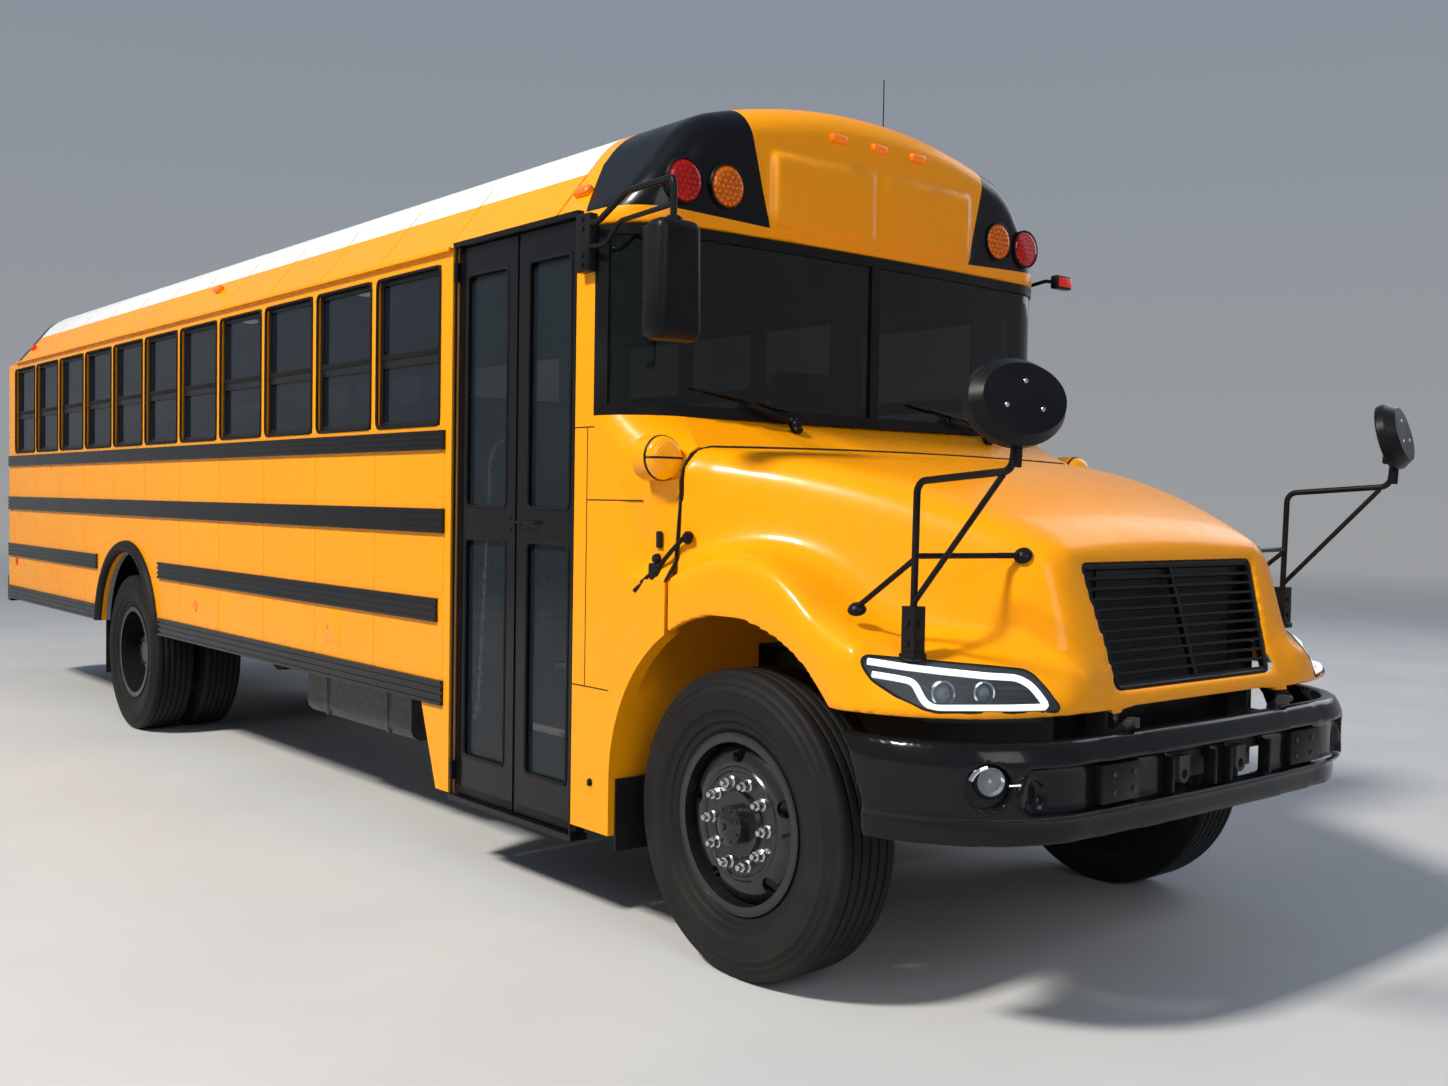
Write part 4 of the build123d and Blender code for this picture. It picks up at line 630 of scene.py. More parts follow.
def block(low, high, rounding=0.0, segments=2):
    """A block between two corners, with rounded edges."""
    shape = bmesh.new()
    bmesh.ops.create_cube(shape, size=1.0)
    low, high = at(low), at(high)
    bmesh.ops.scale(shape, vec=high - low, verts=shape.verts)
    bmesh.ops.translate(shape, vec=(low + high) / 2, verts=shape.verts)
    return bevelled(shape, shape.edges[:], rounding, segments) if rounding else shape


def facing(axis):
    """A rotation that turns the Z axis to another direction."""
    return Vector((0, 0, 1)).rotation_difference(Vector(axis)).to_matrix().to_4x4()


def rod(start, end, radius, sides=20, rounding=0.0, end_radius=None):
    """A round bar between two points, with softened ends."""
    start, end = at(start), at(end)
    shape = bmesh.new()
    far = radius if end_radius is None else end_radius
    bmesh.ops.create_cone(shape, cap_ends=True, segments=sides, radius1=radius, radius2=far,
                          depth=(end - start).length)
    if rounding:
        rims = [e for e in shape.edges if abs(e.verts[0].co.z - e.verts[1].co.z) < 1e-6]
        bevelled(shape, rims, rounding)
    move = Matrix.Translation((start + end) / 2) @ facing(end - start)
    bmesh.ops.transform(shape, matrix=move, verts=shape.verts)
    return shape


def turned(profile, place, axis, steps=48, closed=False):
    """A shape spun about an axis from a profile of (radius, distance along the axis)."""
    shape = bmesh.new()
    line = [shape.verts.new((radius, 0, along)) for radius, along in profile]
    ends = line[1:] + line[:1] if closed else line[1:]
    edges = [shape.edges.new(pair) for pair in zip(line, ends)]
    bmesh.ops.spin(shape, geom=line + edges, cent=(0, 0, 0), axis=(0, 0, 1), angle=TURN,
                   steps=steps, use_merge=True)
    bmesh.ops.remove_doubles(shape, verts=shape.verts, dist=1e-6)
    bmesh.ops.recalc_face_normals(shape, faces=shape.faces)
    bmesh.ops.transform(shape, matrix=Matrix.Translation(at(place)) @ facing(axis), verts=shape.verts)
    return shape


def repeated(shape, moves):
    """One bmesh with a copy of a shape for each matrix."""
    pattern = bpy.data.meshes.new("pattern")
    shape.to_mesh(pattern)
    shape.free()
    many = bmesh.new()
    for move in moves:
        first = len(many.verts)
        many.from_mesh(pattern)
        many.verts.ensure_lookup_table()
        bmesh.ops.transform(many, matrix=move, verts=many.verts[first:])
    bpy.data.meshes.remove(pattern)
    return many


def joined(*shapes):
    """One bmesh made of several."""
    whole = bmesh.new()
    for shape in shapes:
        part = bpy.data.meshes.new("part")
        shape.to_mesh(part)
        shape.free()
        whole.from_mesh(part)
        bpy.data.meshes.remove(part)
    return whole


def both_sides(*shapes):
    """Shapes and their mirror image on the other side of the bus."""
    flip = Matrix.Scale(-1, 4, (1, 0, 0))
    twins = repeated(joined(*shapes), (Matrix.Identity(4), flip))
    bmesh.ops.recalc_face_normals(twins, faces=twins.faces)
    return twins


def worked_out(holder):
    """The bmesh that an object's curve or modifiers give. The object is then removed."""
    graph = bpy.context.evaluated_depsgraph_get()
    done = bpy.data.meshes.new_from_object(holder.evaluated_get(graph))
    result = bmesh.new()
    result.from_mesh(done)
    bpy.data.objects.remove(holder)
    bpy.data.meshes.remove(done)
    return result


def settled(shape, kind, **settings):
    """A shape after a modifier has been worked out on it."""
    holder = as_object(shape, "settled")
    modifier = holder.modifiers.new(kind, kind)
    for key, value in settings.items():
        setattr(modifier, key, value)
    return worked_out(holder)


def remeshed(shape, size):
    """A shape's skin as an even net of small faces."""
    return settled(shape, "REMESH", mode="VOXEL", voxel_size=size)


def smooth(shape, points, rounds=1):
    """Draw points halfway towards their neighbours, a number of times."""
    for _ in range(rounds):
        bmesh.ops.smooth_vert(shape, verts=points, factor=0.5, use_axis_x=True, use_axis_y=True,
                              use_axis_z=True)


def smooth_by_softness(shape, softness, rounds):
    """Smooth each point in the share of the rounds that its softness gives."""
    for i in range(rounds):
        smooth(shape, [v for v, soft in softness.items() if soft >= (i + 1) / rounds])


def softened(places, bends, loop):
    """The points of a line whose corners are rounded over a length of bends."""
    line = []
    for i, place in enumerate(places):
        if not loop and i in (0, len(places) - 1):
            line.append(place)
            continue
        ways = [places[i - 1] - place, places[(i + 1) % len(places)] - place]
        start, end = [place + way.normalized() * min(bends, way.length * 0.45) for way in ways]
        for t in (0.0, 0.25, 0.5, 0.75, 1.0):
            line.append(start.lerp(place, t).lerp(place.lerp(end, t), t))
    return line


def tube(points, radius, bends=0.0, sides=3, loop=False):
    """A round tube along points, as a curve with rounded corners made into a mesh."""
    path = bpy.data.curves.new("path", "CURVE")
    path.dimensions = "3D"
    path.bevel_depth = radius
    path.bevel_resolution = sides
    path.use_fill_caps = not loop
    places = [at(point) for point in points]
    if bends:
        places = softened(places, bends, loop)
    line = path.splines.new("POLY")
    line.points.add(len(places) - 1)
    for point, place in zip(line.points, places):
        point.co = (*place, 1)
    line.use_cyclic_u = loop
    holder = bpy.data.objects.new("path", path)
    scene.collection.objects.link(holder)
    shape = worked_out(holder)
    bpy.data.curves.remove(path)
    bmesh.ops.recalc_face_normals(shape, faces=shape.faces)
    return shape


def keep(shape, name, finish, body="coach", slot=None, stands_for=(), crease=38):
    """A finished piece from a shape or a list of shapes: smooth but for its creases."""
    shape = joined(*shape) if isinstance(shape, list) else shape
    limit = math.radians(crease)
    for face in shape.faces:
        face.smooth = True
    for edge in shape.edges:
        edge.smooth = len(edge.link_faces) == 2 and edge.calc_face_angle(0.0) < limit
    count = len(shape.faces)
    made = as_object(shape, name)
    dress(made, finish)
    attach(made, body)
    slot or finish.slot
    if stands_for:
        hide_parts(*stands_for)
    print(f"{name}: {count} faces on {body}")
    return made


# %% [markdown]
# The hood with its fenders is one moulding, so its creases are wide and soft: the fender
# swells out of the side, and the nose turns its corners gently. The frame has the right
# surfaces but meets them at hard edges. A voxel remesh of that shell gives an even net of
# small faces, and smoothing the net in the open areas, away from the edges of the wheel
# arch, grille and seams, lets the surfaces flow into each other as on the moulding.

# %% Hood
hood_paint = paint("hood yellow", YELLOW, YELLOW_DEEP)
under_nose = hood_paint.math("LESS_THAN", hood_paint.axes()[2], 0.96 + DATUM_UP)
hood_yellow = hood_paint.shader.inputs["Base Color"].links[0].from_socket
hood_paint.set("Base Color", hood_paint.blend(under_nose, hood_yellow, GLOSS_BLACK))
HOOD_VOXEL = 0.014
HOOD_ROUNDS, CORNER_ROUNDS = 70, 260
HOOD_REAR = 0.305
ARCH = (-0.01, 0.56, 0.65)
NOSE_STATION, NOSE_FOOT = -1.05, 0.965
NOSE_LEAN = math.atan2(0.154, 0.507)
LEAN_ACROSS, LEAN_ALONG = 0.957, 0.291
GRILLE_FOOT, GRILLE_HEAD, GRILLE_RISE = 0.067, 0.474, 0.407
GRILLE_HALF, GRILLE_SPREAD = 0.452, 0.054
LAMP_CORNER = (0.7, -0.6, 0.985, 1.22)  # inner edge, rear station, foot, head
FOOT_INNER, FOOT_OUTER, FOOT_TOP = 0.38, 0.62, 1.16


def eased(value, start, end):
    """A smooth step from 0 at start to 1 at end."""
    share = min(max((value - start) / (end - start), 0.0), 1.0)
    return share * share * (3 - 2 * share)


def merged_copy(*names):
    """One bmesh of some frame pieces, with their loose triangles joined."""
    shape = bmesh.new()
    for name in names:
        shape.from_mesh(nodes[name].data)
    bmesh.ops.remove_doubles(shape, verts=shape.verts, dist=1e-5)
    return shape


def hood_softness(place):
    """How many rounds of smoothing a point of the hood gets: none near its edges."""
    station, height = place.y + MID_STATION, place.z - DATUM_UP
    arch_gap = math.hypot(station - ARCH[0], height - ARCH[1]) - ARCH[2]
    back, rise = station - NOSE_STATION, height - NOSE_FOOT
    nose_gap = abs(back * LEAN_ACROSS - rise * LEAN_ALONG)
    up_face = rise * LEAN_ACROSS + back * LEAN_ALONG
    half = GRILLE_HALF + GRILLE_SPREAD * (up_face - GRILLE_FOOT) / GRILLE_RISE
    from_grille = max(abs(place.x) - half, GRILLE_FOOT - up_face, up_face - GRILLE_HEAD)
    room = min(
        arch_gap - 0.03,
        HOOD_REAR - 0.03 - station,
        rise - 0.02,
        from_grille - 0.03 if nose_gap < 0.1 else 1.0,
    )
    return min(max(room, 0.0) / 0.06, 1.0)


def corner_softness(place):
    """The same for the corner of the nose round the headlamp, which is rounder still."""
    wide, station, height = abs(place.x), place.y + MID_STATION, place.z - DATUM_UP
    inner, rear, foot, head = LAMP_CORNER
    room = min(wide - inner, rear - station, height - foot, head - height)
    return min(max(room, 0.0) / 0.05, 1.0)


def draw_back(place):
    """Move a point on the foot of a nose corner into the leaning nose."""
    wide, station, height = abs(place.x), place.y + MID_STATION, place.z - DATUM_UP
    lean_cos, lean_sin = math.cos(NOSE_LEAN), math.sin(NOSE_LEAN)
    ahead = (height - NOSE_FOOT) * lean_sin - (station - NOSE_STATION) * lean_cos
    if ahead > 0.0015 and FOOT_INNER < wide < FOOT_OUTER and height < FOOT_TOP:
        back = ahead * 0.75 * eased(wide, FOOT_OUTER, 0.54)
        place.y += back * lean_cos
        place.z -= back * lean_sin
        place.x = math.copysign(0.6 - (0.6 - wide) * 0.6 if wide < 0.6 else wide, place.x)


hood_net = remeshed(merged_copy("hood", "headlamps"), HOOD_VOXEL)
for v in hood_net.verts:
    draw_back(v.co)
softness = {v: hood_softness(v.co) for v in hood_net.verts}
smooth(hood_net, hood_net.verts)
smooth_by_softness(hood_net, softness, HOOD_ROUNDS)
corner = {v: corner_softness(v.co) for v in hood_net.verts}
smooth_by_softness(hood_net, corner, CORNER_ROUNDS)
smooth(hood_net, hood_net.verts)
print("hood net:", len(hood_net.faces), "faces")

# %% [markdown]
# A headlamp is a dark tray let into the corner of the nose, with two projector lenses and a
# white light guide bent round its edge, under one clear cover that carries on the hood's
# surface. The opening's outline lies on the soft hood, and a prism of that outline, pushed
# in along the lamp's own direction, cuts the opening out of the hood and gives back the
# piece it cut, whose outer faces become the cover.

# %% Headlamp openings
LAMP_OUTLINE = [
    (-1.193, -0.625, 1.126), (-1.178, -0.630, 1.139), (-1.089, -0.706, 1.131),
    (-0.998, -0.790, 1.122), (-0.901, -0.868, 1.113), (-0.812, -0.932, 1.103),
    (-0.797, -0.958, 1.089), (-0.786, -0.996, 1.053), (-0.761, -1.030, 0.999),
    (-0.771, -1.030, 0.985), (-0.925, -0.984, 0.989), (-1.035, -0.921, 0.991),
    (-1.105, -0.855, 0.989), (-1.131, -0.820, 0.997), (-1.165, -0.745, 1.028),
    (-1.187, -0.665, 1.070), (-1.194, -0.636, 1.104),
]
LAMP_IN = Vector((0.55, 0.72, -0.42)).normalized()


def on_bus(points, inwards=0.0):
    """Stations and heights as points of the frame, moved into the lamp."""
    return [spot(*point) + LAMP_IN * inwards for point in points]


def outline_prism(start, end, shrink=1.0):
    """The lamp's outline pushed along the lamp's direction, for one side of the bus."""
    shape = bmesh.new()
    loop = on_bus(LAMP_OUTLINE, start)
    middle = sum(loop, Vector()) / len(loop)
    face = shape.faces.new([shape.verts.new(middle + (p - middle) * shrink) for p in loop])
    moved = bmesh.ops.extrude_face_region(shape, geom=[face])
    ends = [v for v in moved["geom"] if isinstance(v, bmesh.types.BMVert)]
    bmesh.ops.translate(shape, vec=LAMP_IN * (end - start), verts=ends)
    bmesh.ops.recalc_face_normals(shape, faces=shape.faces)
    return shape


def cut_with(shape, tool, operation):
    """A shape after a Boolean with a tool, which is then removed."""
    held = as_object(tool, "tool")
    result = settled(shape, "BOOLEAN", operation=operation, object=held, solver="EXACT")
    bpy.data.objects.remove(held)
    return result


uncut = hood_net.copy()
hood_net = cut_with(hood_net, both_sides(outline_prism(-0.06, 0.11)), "DIFFERENCE")
cover = cut_with(uncut, both_sides(outline_prism(-0.05, 0.1, 0.995)), "INTERSECT")
outwards = {-1: -LAMP_IN, 1: Vector((LAMP_IN.x, -LAMP_IN.y, -LAMP_IN.z))}
inner = [f for f in cover.faces
         if f.normal.dot(outwards[-1 if f.calc_center_median().x < 0 else 1]) < 0.25]
bmesh.ops.delete(cover, geom=inner, context="FACES")
bmesh.ops.solidify(cover, geom=cover.faces[:], thickness=0.003)
keep(hood_net, "hood_shell", hood_paint, "hood", "hood_moulding", ("hood",), 40)

# %% [markdown]
# The clear cover needs almost no colour, only gloss. The guide glows a little, as a daytime
# light does, and the tray is a satin black moulding with fins between the lenses.

# %% Headlamp finishes
clear_cover = tinted("clear cover", (0.3, 0.34, 0.38), 0.06)
guide_light = Finish("light guide", (0.9, 0.93, 0.95), 0.3)
ripple = guide_light.noise(60.0, 2.0)
guide_light.set("Base Color", guide_light.blend(ripple, (0.8, 0.85, 0.9), (0.95, 0.97, 1.0)))
guide_light.set("Emission Color", (0.92, 0.97, 1.0, 1)).set("Emission Strength", 0.85)
lens_glass = tinted("projector glass", (0.1, 0.13, 0.17), 0.72)
tray_black = moulded("lamp tray", (0.018, 0.02, 0.024), (0.03, 0.033, 0.038), 0.24, 300.0)
chrome = painted_steel("chrome ring", (0.75, 0.77, 0.8), (0.6, 0.62, 0.65), 0.12, 1.0, 0.0)

# %% [markdown]
# Inside the tray the white guide follows the cover's edge in one bent line, and the two
# projectors are turned shapes: a chrome ring round a domed lens, both looking forwards. A
# thin gasket closes the joint between the cover and the hood.

# %% Headlamps
GUIDE = [
    (-1.178, -0.639, 1.126), (-1.108, -0.724, 1.113), (-1.026, -0.815, 1.102),
    (-0.930, -0.893, 1.091), (-0.846, -0.940, 1.085), (-0.823, -0.971, 1.066),
    (-0.814, -0.997, 1.038), (-0.799, -1.018, 1.003), (-0.922, -0.981, 1.005),
    (-1.032, -0.918, 1.006), (-1.108, -0.845, 1.003), (-1.120, -0.818, 1.018),
    (-1.117, -0.771, 1.074), (-1.144, -0.724, 1.082), (-1.180, -0.663, 1.089),
]
PROJECTORS = [((-1.066, -0.848, 1.056), 0.03), ((-0.961, -0.916, 1.058), 0.026)]
keep(cover, "headlamp_covers", clear_cover, "hood", "lamp_clear", ("headlamps",))
tray = outline_prism(0.006, 0.105, 0.992)
mouth = min(tray.faces, key=lambda f: f.calc_center_median().dot(LAMP_IN))
bmesh.ops.delete(tray, geom=[mouth], context="FACES")
bmesh.ops.solidify(tray, geom=tray.faces[:], thickness=-0.002)
fins = []
for k in range(4):
    start = spot(-1.14 + 0.01 * k, -0.765, 1.075 - 0.02 * k) + LAMP_IN * 0.06
    end = spot(-0.84 + 0.01 * k, -0.985, 1.072 - 0.02 * k) + LAMP_IN * 0.06
    fins.append(rod(start, end, 0.0045, 8, 0.001))
keep(both_sides(tray, *fins), "headlamp_trays", tray_black, "hood")
guide = tube(on_bus(GUIDE, 0.012), 0.0105, 0.02, 2)
keep(both_sides(guide), "headlamp_light_guides", guide_light, "hood", "lamp_clear")
rings, eyes = [], []
for place, radius in PROJECTORS:
    seat = spot(*place) + LAMP_IN * 0.055
    look = Vector((-0.38, -0.9, 0.1))
    rings.append(turned([(radius, -0.03), (radius + 0.004, 0.012), (radius + 0.009, 0.01),
                         (radius + 0.012, -0.002), (radius + 0.014, -0.03)], seat, look, 32))
    eyes.append(turned([(0.0, 0.016), (radius * 0.45, 0.013), (radius * 0.8, 0.005),
                        (radius, -0.006), (0.0, -0.01)], seat, look, 32))
keep(both_sides(*rings), "headlamp_rings", chrome, "hood", "lamp_clear")
keep(both_sides(*eyes), "headlamp_lenses", lens_glass, "hood", "lamp_clear")
lip = tube(on_bus(LAMP_OUTLINE, 0.001), 0.0045, 0.012, 2, loop=True)
keep(both_sides(lip), "headlamp_gaskets", rubber, "hood")

# %% [markdown]
# A truck tyre's section is drawn once: five grooves in the tread, rounded shoulders, raised
# rings on the sidewall where the mould halves and the rim protector meet it. Spun a full
# turn it is a whole tyre, and the six tyres are copies of one shape.

# %% Tyres
AXLE_HEIGHT = 0.505
FRONT_WHEEL_X = 1.03
DUAL_OUTER_X = 1.06
DUAL_INNER_X = 0.745
GROOVES = (-0.076, -0.038, 0.0, 0.038, 0.076)
SIDEWALL = [  # distance from the middle of the tyre, radius
    (0.0985, 0.288), (0.101, 0.300), (0.106, 0.318), (0.111, 0.322), (0.113, 0.330),
    (0.111, 0.336), (0.118, 0.348), (0.1215, 0.350), (0.1225, 0.356), (0.124, 0.364),
    (0.131, 0.385), (0.1335, 0.387), (0.1345, 0.393), (0.1355, 0.400), (0.139, 0.415),
    (0.1393, 0.430), (0.138, 0.447), (0.1395, 0.449), (0.1385, 0.455), (0.1345, 0.459),
    (0.131, 0.472), (0.1325, 0.474), (0.131, 0.481), (0.126, 0.486), (0.121, 0.500),
    (0.1215, 0.508), (0.118, 0.515), (0.110, 0.5215), (0.098, 0.5235),
]


def tyre_section():
    """The closed section of a tyre, as (radius, distance along the axle)."""
    half = [(radius, wide) for wide, radius in SIDEWALL]
    tread = []
    for middle in reversed(GROOVES):
        tread += [(0.5245, middle + 0.0062), (0.5235, middle + 0.0048), (0.512, middle + 0.0034),
                  (0.512, middle - 0.0034), (0.5235, middle - 0.0048), (0.5245, middle - 0.0062)]
    other = [(radius, -wide) for radius, wide in reversed(half)]
    return half + tread + other


def wheel_copies(shape, places):
    """Copies of a shape made for a wheel centred on X, at places across and along the bus."""
    moves = [Matrix.Translation(spot(x, station, AXLE_HEIGHT)) for x, station in places]
    return repeated(shape, moves)


TYRES = {
    "front_tyre_right": ("wheel_front_right", [(-FRONT_WHEEL_X, 0.0)]),
    "front_tyre_left": ("wheel_front_left", [(FRONT_WHEEL_X, 0.0)]),
    "rear_tyres_right": ("wheels_rear_right", [(-DUAL_OUTER_X, WHEELBASE), (-DUAL_INNER_X, WHEELBASE)]),
    "rear_tyres_left": ("wheels_rear_left", [(DUAL_OUTER_X, WHEELBASE), (DUAL_INNER_X, WHEELBASE)]),
}
for name, (body, places) in TYRES.items():
    one = turned(tyre_section(), Vector(), (1, 0, 0), 96, closed=True)
    keep(wheel_copies(one, places), f"{name}_rubber", tyre_rubber, body, "tyre", (name,), 50)

# %% [markdown]
# Each wheel is held by ten flanged nuts on long studs, the brightest things on a black
# wheel. A rounded bead on the rim's edge catches a line of light, and a hub cap with its
# small screws closes the bearing.

# %% Wheel nuts and hubs
def axle_rod(start, end, radius, sides, rounding):
    """A bar along the X axis, between two distances from the origin."""
    return rod(Vector((start, 0, 0)), Vector((end, 0, 0)), radius, sides, rounding)


def wheel_nut(stud):
    """A flanged nut with its stud, standing out along X from the origin."""
    nut = axle_rod(0.004, 0.026, 0.019, 6, 0.002)
    flange = turned([(0.0, 0.006), (0.019, 0.006), (0.0225, 0.003), (0.0225, 0.0), (0.0, 0.0)],
                    Vector(), (1, 0, 0), 20)
    return joined(nut, flange, axle_rod(0.0, stud, 0.0105, 12, 0.002))


def ring_of(shape, count, radius, phase=0.0):
    """Copies of a shape round the X axis."""
    moves = []
    for i in range(count):
        angle = TURN * (i + phase) / count
        moves.append(Matrix.Rotation(angle, 4, "X") @ Matrix.Translation((0, radius, 0)))
    return repeated(shape, moves)


def rim_bead():
    """The rounded edge of a rim, round the X axis."""
    return turned([(0.296, 0.11), (0.302, 0.1145), (0.307, 0.112), (0.308, 0.104),
                   (0.302, 0.106), (0.296, 0.106)], Vector(), (1, 0, 0), 96, closed=True)


def small_bolts(length, radius, rounding, circle, out):
    """Eight bolt heads round the X axis, standing out from a distance along it."""
    head = axle_rod(0, length, radius, 6, rounding)
    return repeated(ring_of(head, 8, circle, 0.5), [Matrix.Translation((out, 0, 0))])


def wheel_side(shape, side, x, station):
    """A shape made for the left side, moved to a wheel and turned round on the right."""
    turn = Matrix.Identity(4) if side > 0 else Matrix.Rotation(math.pi, 4, "Z")
    move = Matrix.Translation(spot(side * x, station, AXLE_HEIGHT)) @ turn
    bmesh.ops.transform(shape, matrix=move, verts=shape.verts)
    return shape


VALVE_STEM = ((0.06, 0.215, 0.0), (0.104, 0.222, 0.0), (0.125, 0.25, 0.0))
for side, word in ((-1, "right"), (1, "left")):
    face = FRONT_WHEEL_X + 0.098
    nuts = wheel_side(ring_of(wheel_nut(0.044), 10, 0.143), side, face, 0.0)
    keep(nuts, f"front_nuts_{word}", bright_steel, f"wheel_front_{word}", "wheel_steel")
    cap = turned([(0.0, 0.1665), (0.018, 0.166), (0.04, 0.162), (0.05, 0.156),
                  (0.0665, 0.148), (0.0675, 0.142), (0.0, 0.142)], Vector(), (1, 0, 0), 40)
    plug = axle_rod(0.16, 0.174, 0.012, 6, 0.002)
    screws = small_bolts(0.006, 0.0045, 0.001, 0.057, 0.152)
    stem = tube([Vector(p) for p in VALVE_STEM], 0.006, 0.02, 2)
    hub = wheel_side(joined(rim_bead(), cap, plug, screws, stem), side, FRONT_WHEEL_X, 0.0)
    keep(hub, f"front_hub_{word}", wheel_steel, f"wheel_front_{word}")
    nuts = wheel_side(ring_of(wheel_nut(0.036), 10, 0.16), side, 0.91, WHEELBASE)
    keep(nuts, f"rear_nuts_{word}", bright_steel, f"wheels_rear_{word}", "wheel_steel")
    bolts = small_bolts(0.01, 0.008, 0.0015, 0.082, 0.04)
    hub = wheel_side(joined(rim_bead(), bolts), side, DUAL_OUTER_X, WHEELBASE)
    keep(hub, f"rear_hub_{word}", wheel_steel, f"wheels_rear_{word}")

# %% [markdown]
# Lamps are small on a bus, but they are looked at first. Each one is a domed coloured cover
# over a cluster of light-emitting diodes, pressed into a black ring. The warning lamps at the
# roof's corners are amber inside and red outside, front and rear alike.

# %% Lamp finishes
amber_cover = tinted("amber cover", (0.85, 0.17, 0.003), 0.55, 0.05)
red_cover = tinted("red cover", (0.5, 0.006, 0.004), 0.58, 0.05)
clear_dome = tinted("clear dome", (0.55, 0.6, 0.65), 0.3, 0.04)
FORWARD, REARWARD = Vector((0, -1, 0)), Vector((0, 1, 0))


def dome(place, axis, radius, depth):
    """A domed cover standing out along an axis from its rim."""
    shares = ((0.0, 1.0), (0.35, 0.97), (0.65, 0.82), (0.85, 0.55), (0.96, 0.24), (1.0, 0.0))
    profile = [(radius * a, depth * b) for a, b in shares]
    return turned(profile + [(radius, -0.01), (0.0, -0.01)], place, axis, 44)


def bezel(place, axis, inner, outer, height):
    """A rounded ring round a lamp."""
    lip = (outer - inner) * 0.3
    profile = [(inner, -0.012), (inner, height * 0.7), (inner + lip, height),
               (outer - lip, height * 0.8), (outer, height * 0.2), (outer, -0.012)]
    return turned(profile, place, axis, 48, closed=True)


def diodes(place, axis, radius):
    """Rings of small round diodes on a lamp's base."""
    moves = [Matrix.Identity(4)]
    for count, share in ((6, 0.32), (12, 0.62), (18, 0.9)):
        for i in range(count):
            angle = TURN * i / count
            moves.append(Matrix.Translation((math.cos(angle) * share * radius,
                                             math.sin(angle) * share * radius, 0)))
    bead = bmesh.new()
    bmesh.ops.create_icosphere(bead, subdivisions=1, radius=0.0065)
    spread = repeated(bead, moves)
    bmesh.ops.transform(spread, matrix=Matrix.Translation(place) @ facing(axis), verts=spread.verts)
    return spread


# %% [markdown]
# The four warning lamps of each end and the tail lamps are the same lamp in two colours. A
# table holds the places, and one loop makes the covers, the diodes and the rings.

# %% Warning lamps
WARNING_RADIUS = 0.079
WARNING_LAMPS = {  # distance from the middle, front station and height, rear height
    "amber": (0.794, 0.513, 2.783, 2.753),
    "red": (0.995, 0.519, 2.775, 2.745),
}
TAIL_LAMPS = {"red": (1.08, 1.5), "amber": (1.08, 1.3)}
REAR_FACE = 9.566
covers = {"amber": amber_cover, "red": red_cover}
bases = {"amber": amber_lens, "red": red_lens}
bezels = []
for color, (x, front, front_height, rear_height) in WARNING_LAMPS.items():
    tail_x, tail_height = TAIL_LAMPS[color]
    seats = [(spot(x, front, front_height), FORWARD), (spot(x, REAR_FACE, rear_height), REARWARD),
             (spot(tail_x, REAR_FACE, tail_height), REARWARD)]
    domes = [dome(place, axis, WARNING_RADIUS, 0.017) for place, axis in seats]
    bezels += [bezel(place, axis, WARNING_RADIUS, WARNING_RADIUS + 0.007, 0.006)
               for place, axis in seats]
    beads = [diodes(place, axis, WARNING_RADIUS * 0.92) for place, axis in seats]
    keep(both_sides(*domes), f"lamp_covers_{color}", covers[color], "coach",
         f"lamp_{color}", ("warning_lamps",))
    keep(both_sides(*beads), f"lamp_diodes_{color}", bases[color], "coach", f"lamp_{color}")
keep(both_sides(*bezels), "lamp_bezels", trim)

# %% [markdown]
# The turn lamps are full round domes on the cowl's pods, with a dark strip across the middle
# where the turn signal meets the side marker. Small lozenge lamps mark the roof's edges.

# %% Turn and marker lamps
TURN_LAMP = (1.201, 0.3645, 1.745)
TURN_PROFILE = [(0.0, 0.0405), (0.03, 0.04), (0.05, 0.0375), (0.064, 0.031),
                (0.0735, 0.021), (0.078, 0.009), (0.0785, 0.0)]
turn_seat = spot(*TURN_LAMP)
turn_dome = turned(TURN_PROFILE + [(0.0, 0.0)], turn_seat, FORWARD, 56)
strip = [turn_seat + Vector((side * radius, -along - 0.0004, 0))
         for side, profile in ((-1, reversed(TURN_PROFILE)), (1, TURN_PROFILE[1:]))
         for radius, along in profile]
turn_ring = bezel(turn_seat, FORWARD, 0.0775, 0.0815, 0.009)
markers = [block((x - 0.045, 0.484, 3.04), (x + 0.045, 0.56, 3.074), 0.012, 3)
           for x in (-0.233, 0.0, 0.233)]


def marker_lamp(place, axis, proud=0.024):
    """A lozenge lamp, long along the bus, standing out along an axis."""
    shape = block(Vector((-0.021, -0.05, -0.006)), Vector((0.021, 0.05, proud)), 0.01, 3)
    bmesh.ops.transform(shape, matrix=Matrix.Translation(place) @ facing(axis), verts=shape.verts)
    return shape


COVE_OUT = Vector((0.79, 0, 0.612))
cove_lamps = [
    marker_lamp(spot(1.09, 4.985, 2.834), COVE_OUT),
    marker_lamp(spot(1.124, 0.985, 2.783), COVE_OUT)]
rear_cove_lamp = marker_lamp(spot(1.124, 9.15, 2.783), COVE_OUT)
rear_marks = [block((x - 0.045, 9.5, 2.985), (x + 0.045, 9.548, 3.015), 0.01, 3)
              for x in (-0.233, 0.0, 0.233)]
keep(both_sides(turn_dome), "turn_lenses", turn_lens, "coach", "lamp_amber", ("marker_lamps",))
keep(joined(both_sides(*cove_lamps), *markers), "marker_lenses_amber", amber_lens)
keep(joined(both_sides(rear_cove_lamp), *rear_marks), "marker_lenses_red", red_lens)
keep(both_sides(joined(turn_ring, tube(strip, 0.0038, 0.0, 2))), "turn_lamp_trim", trim)

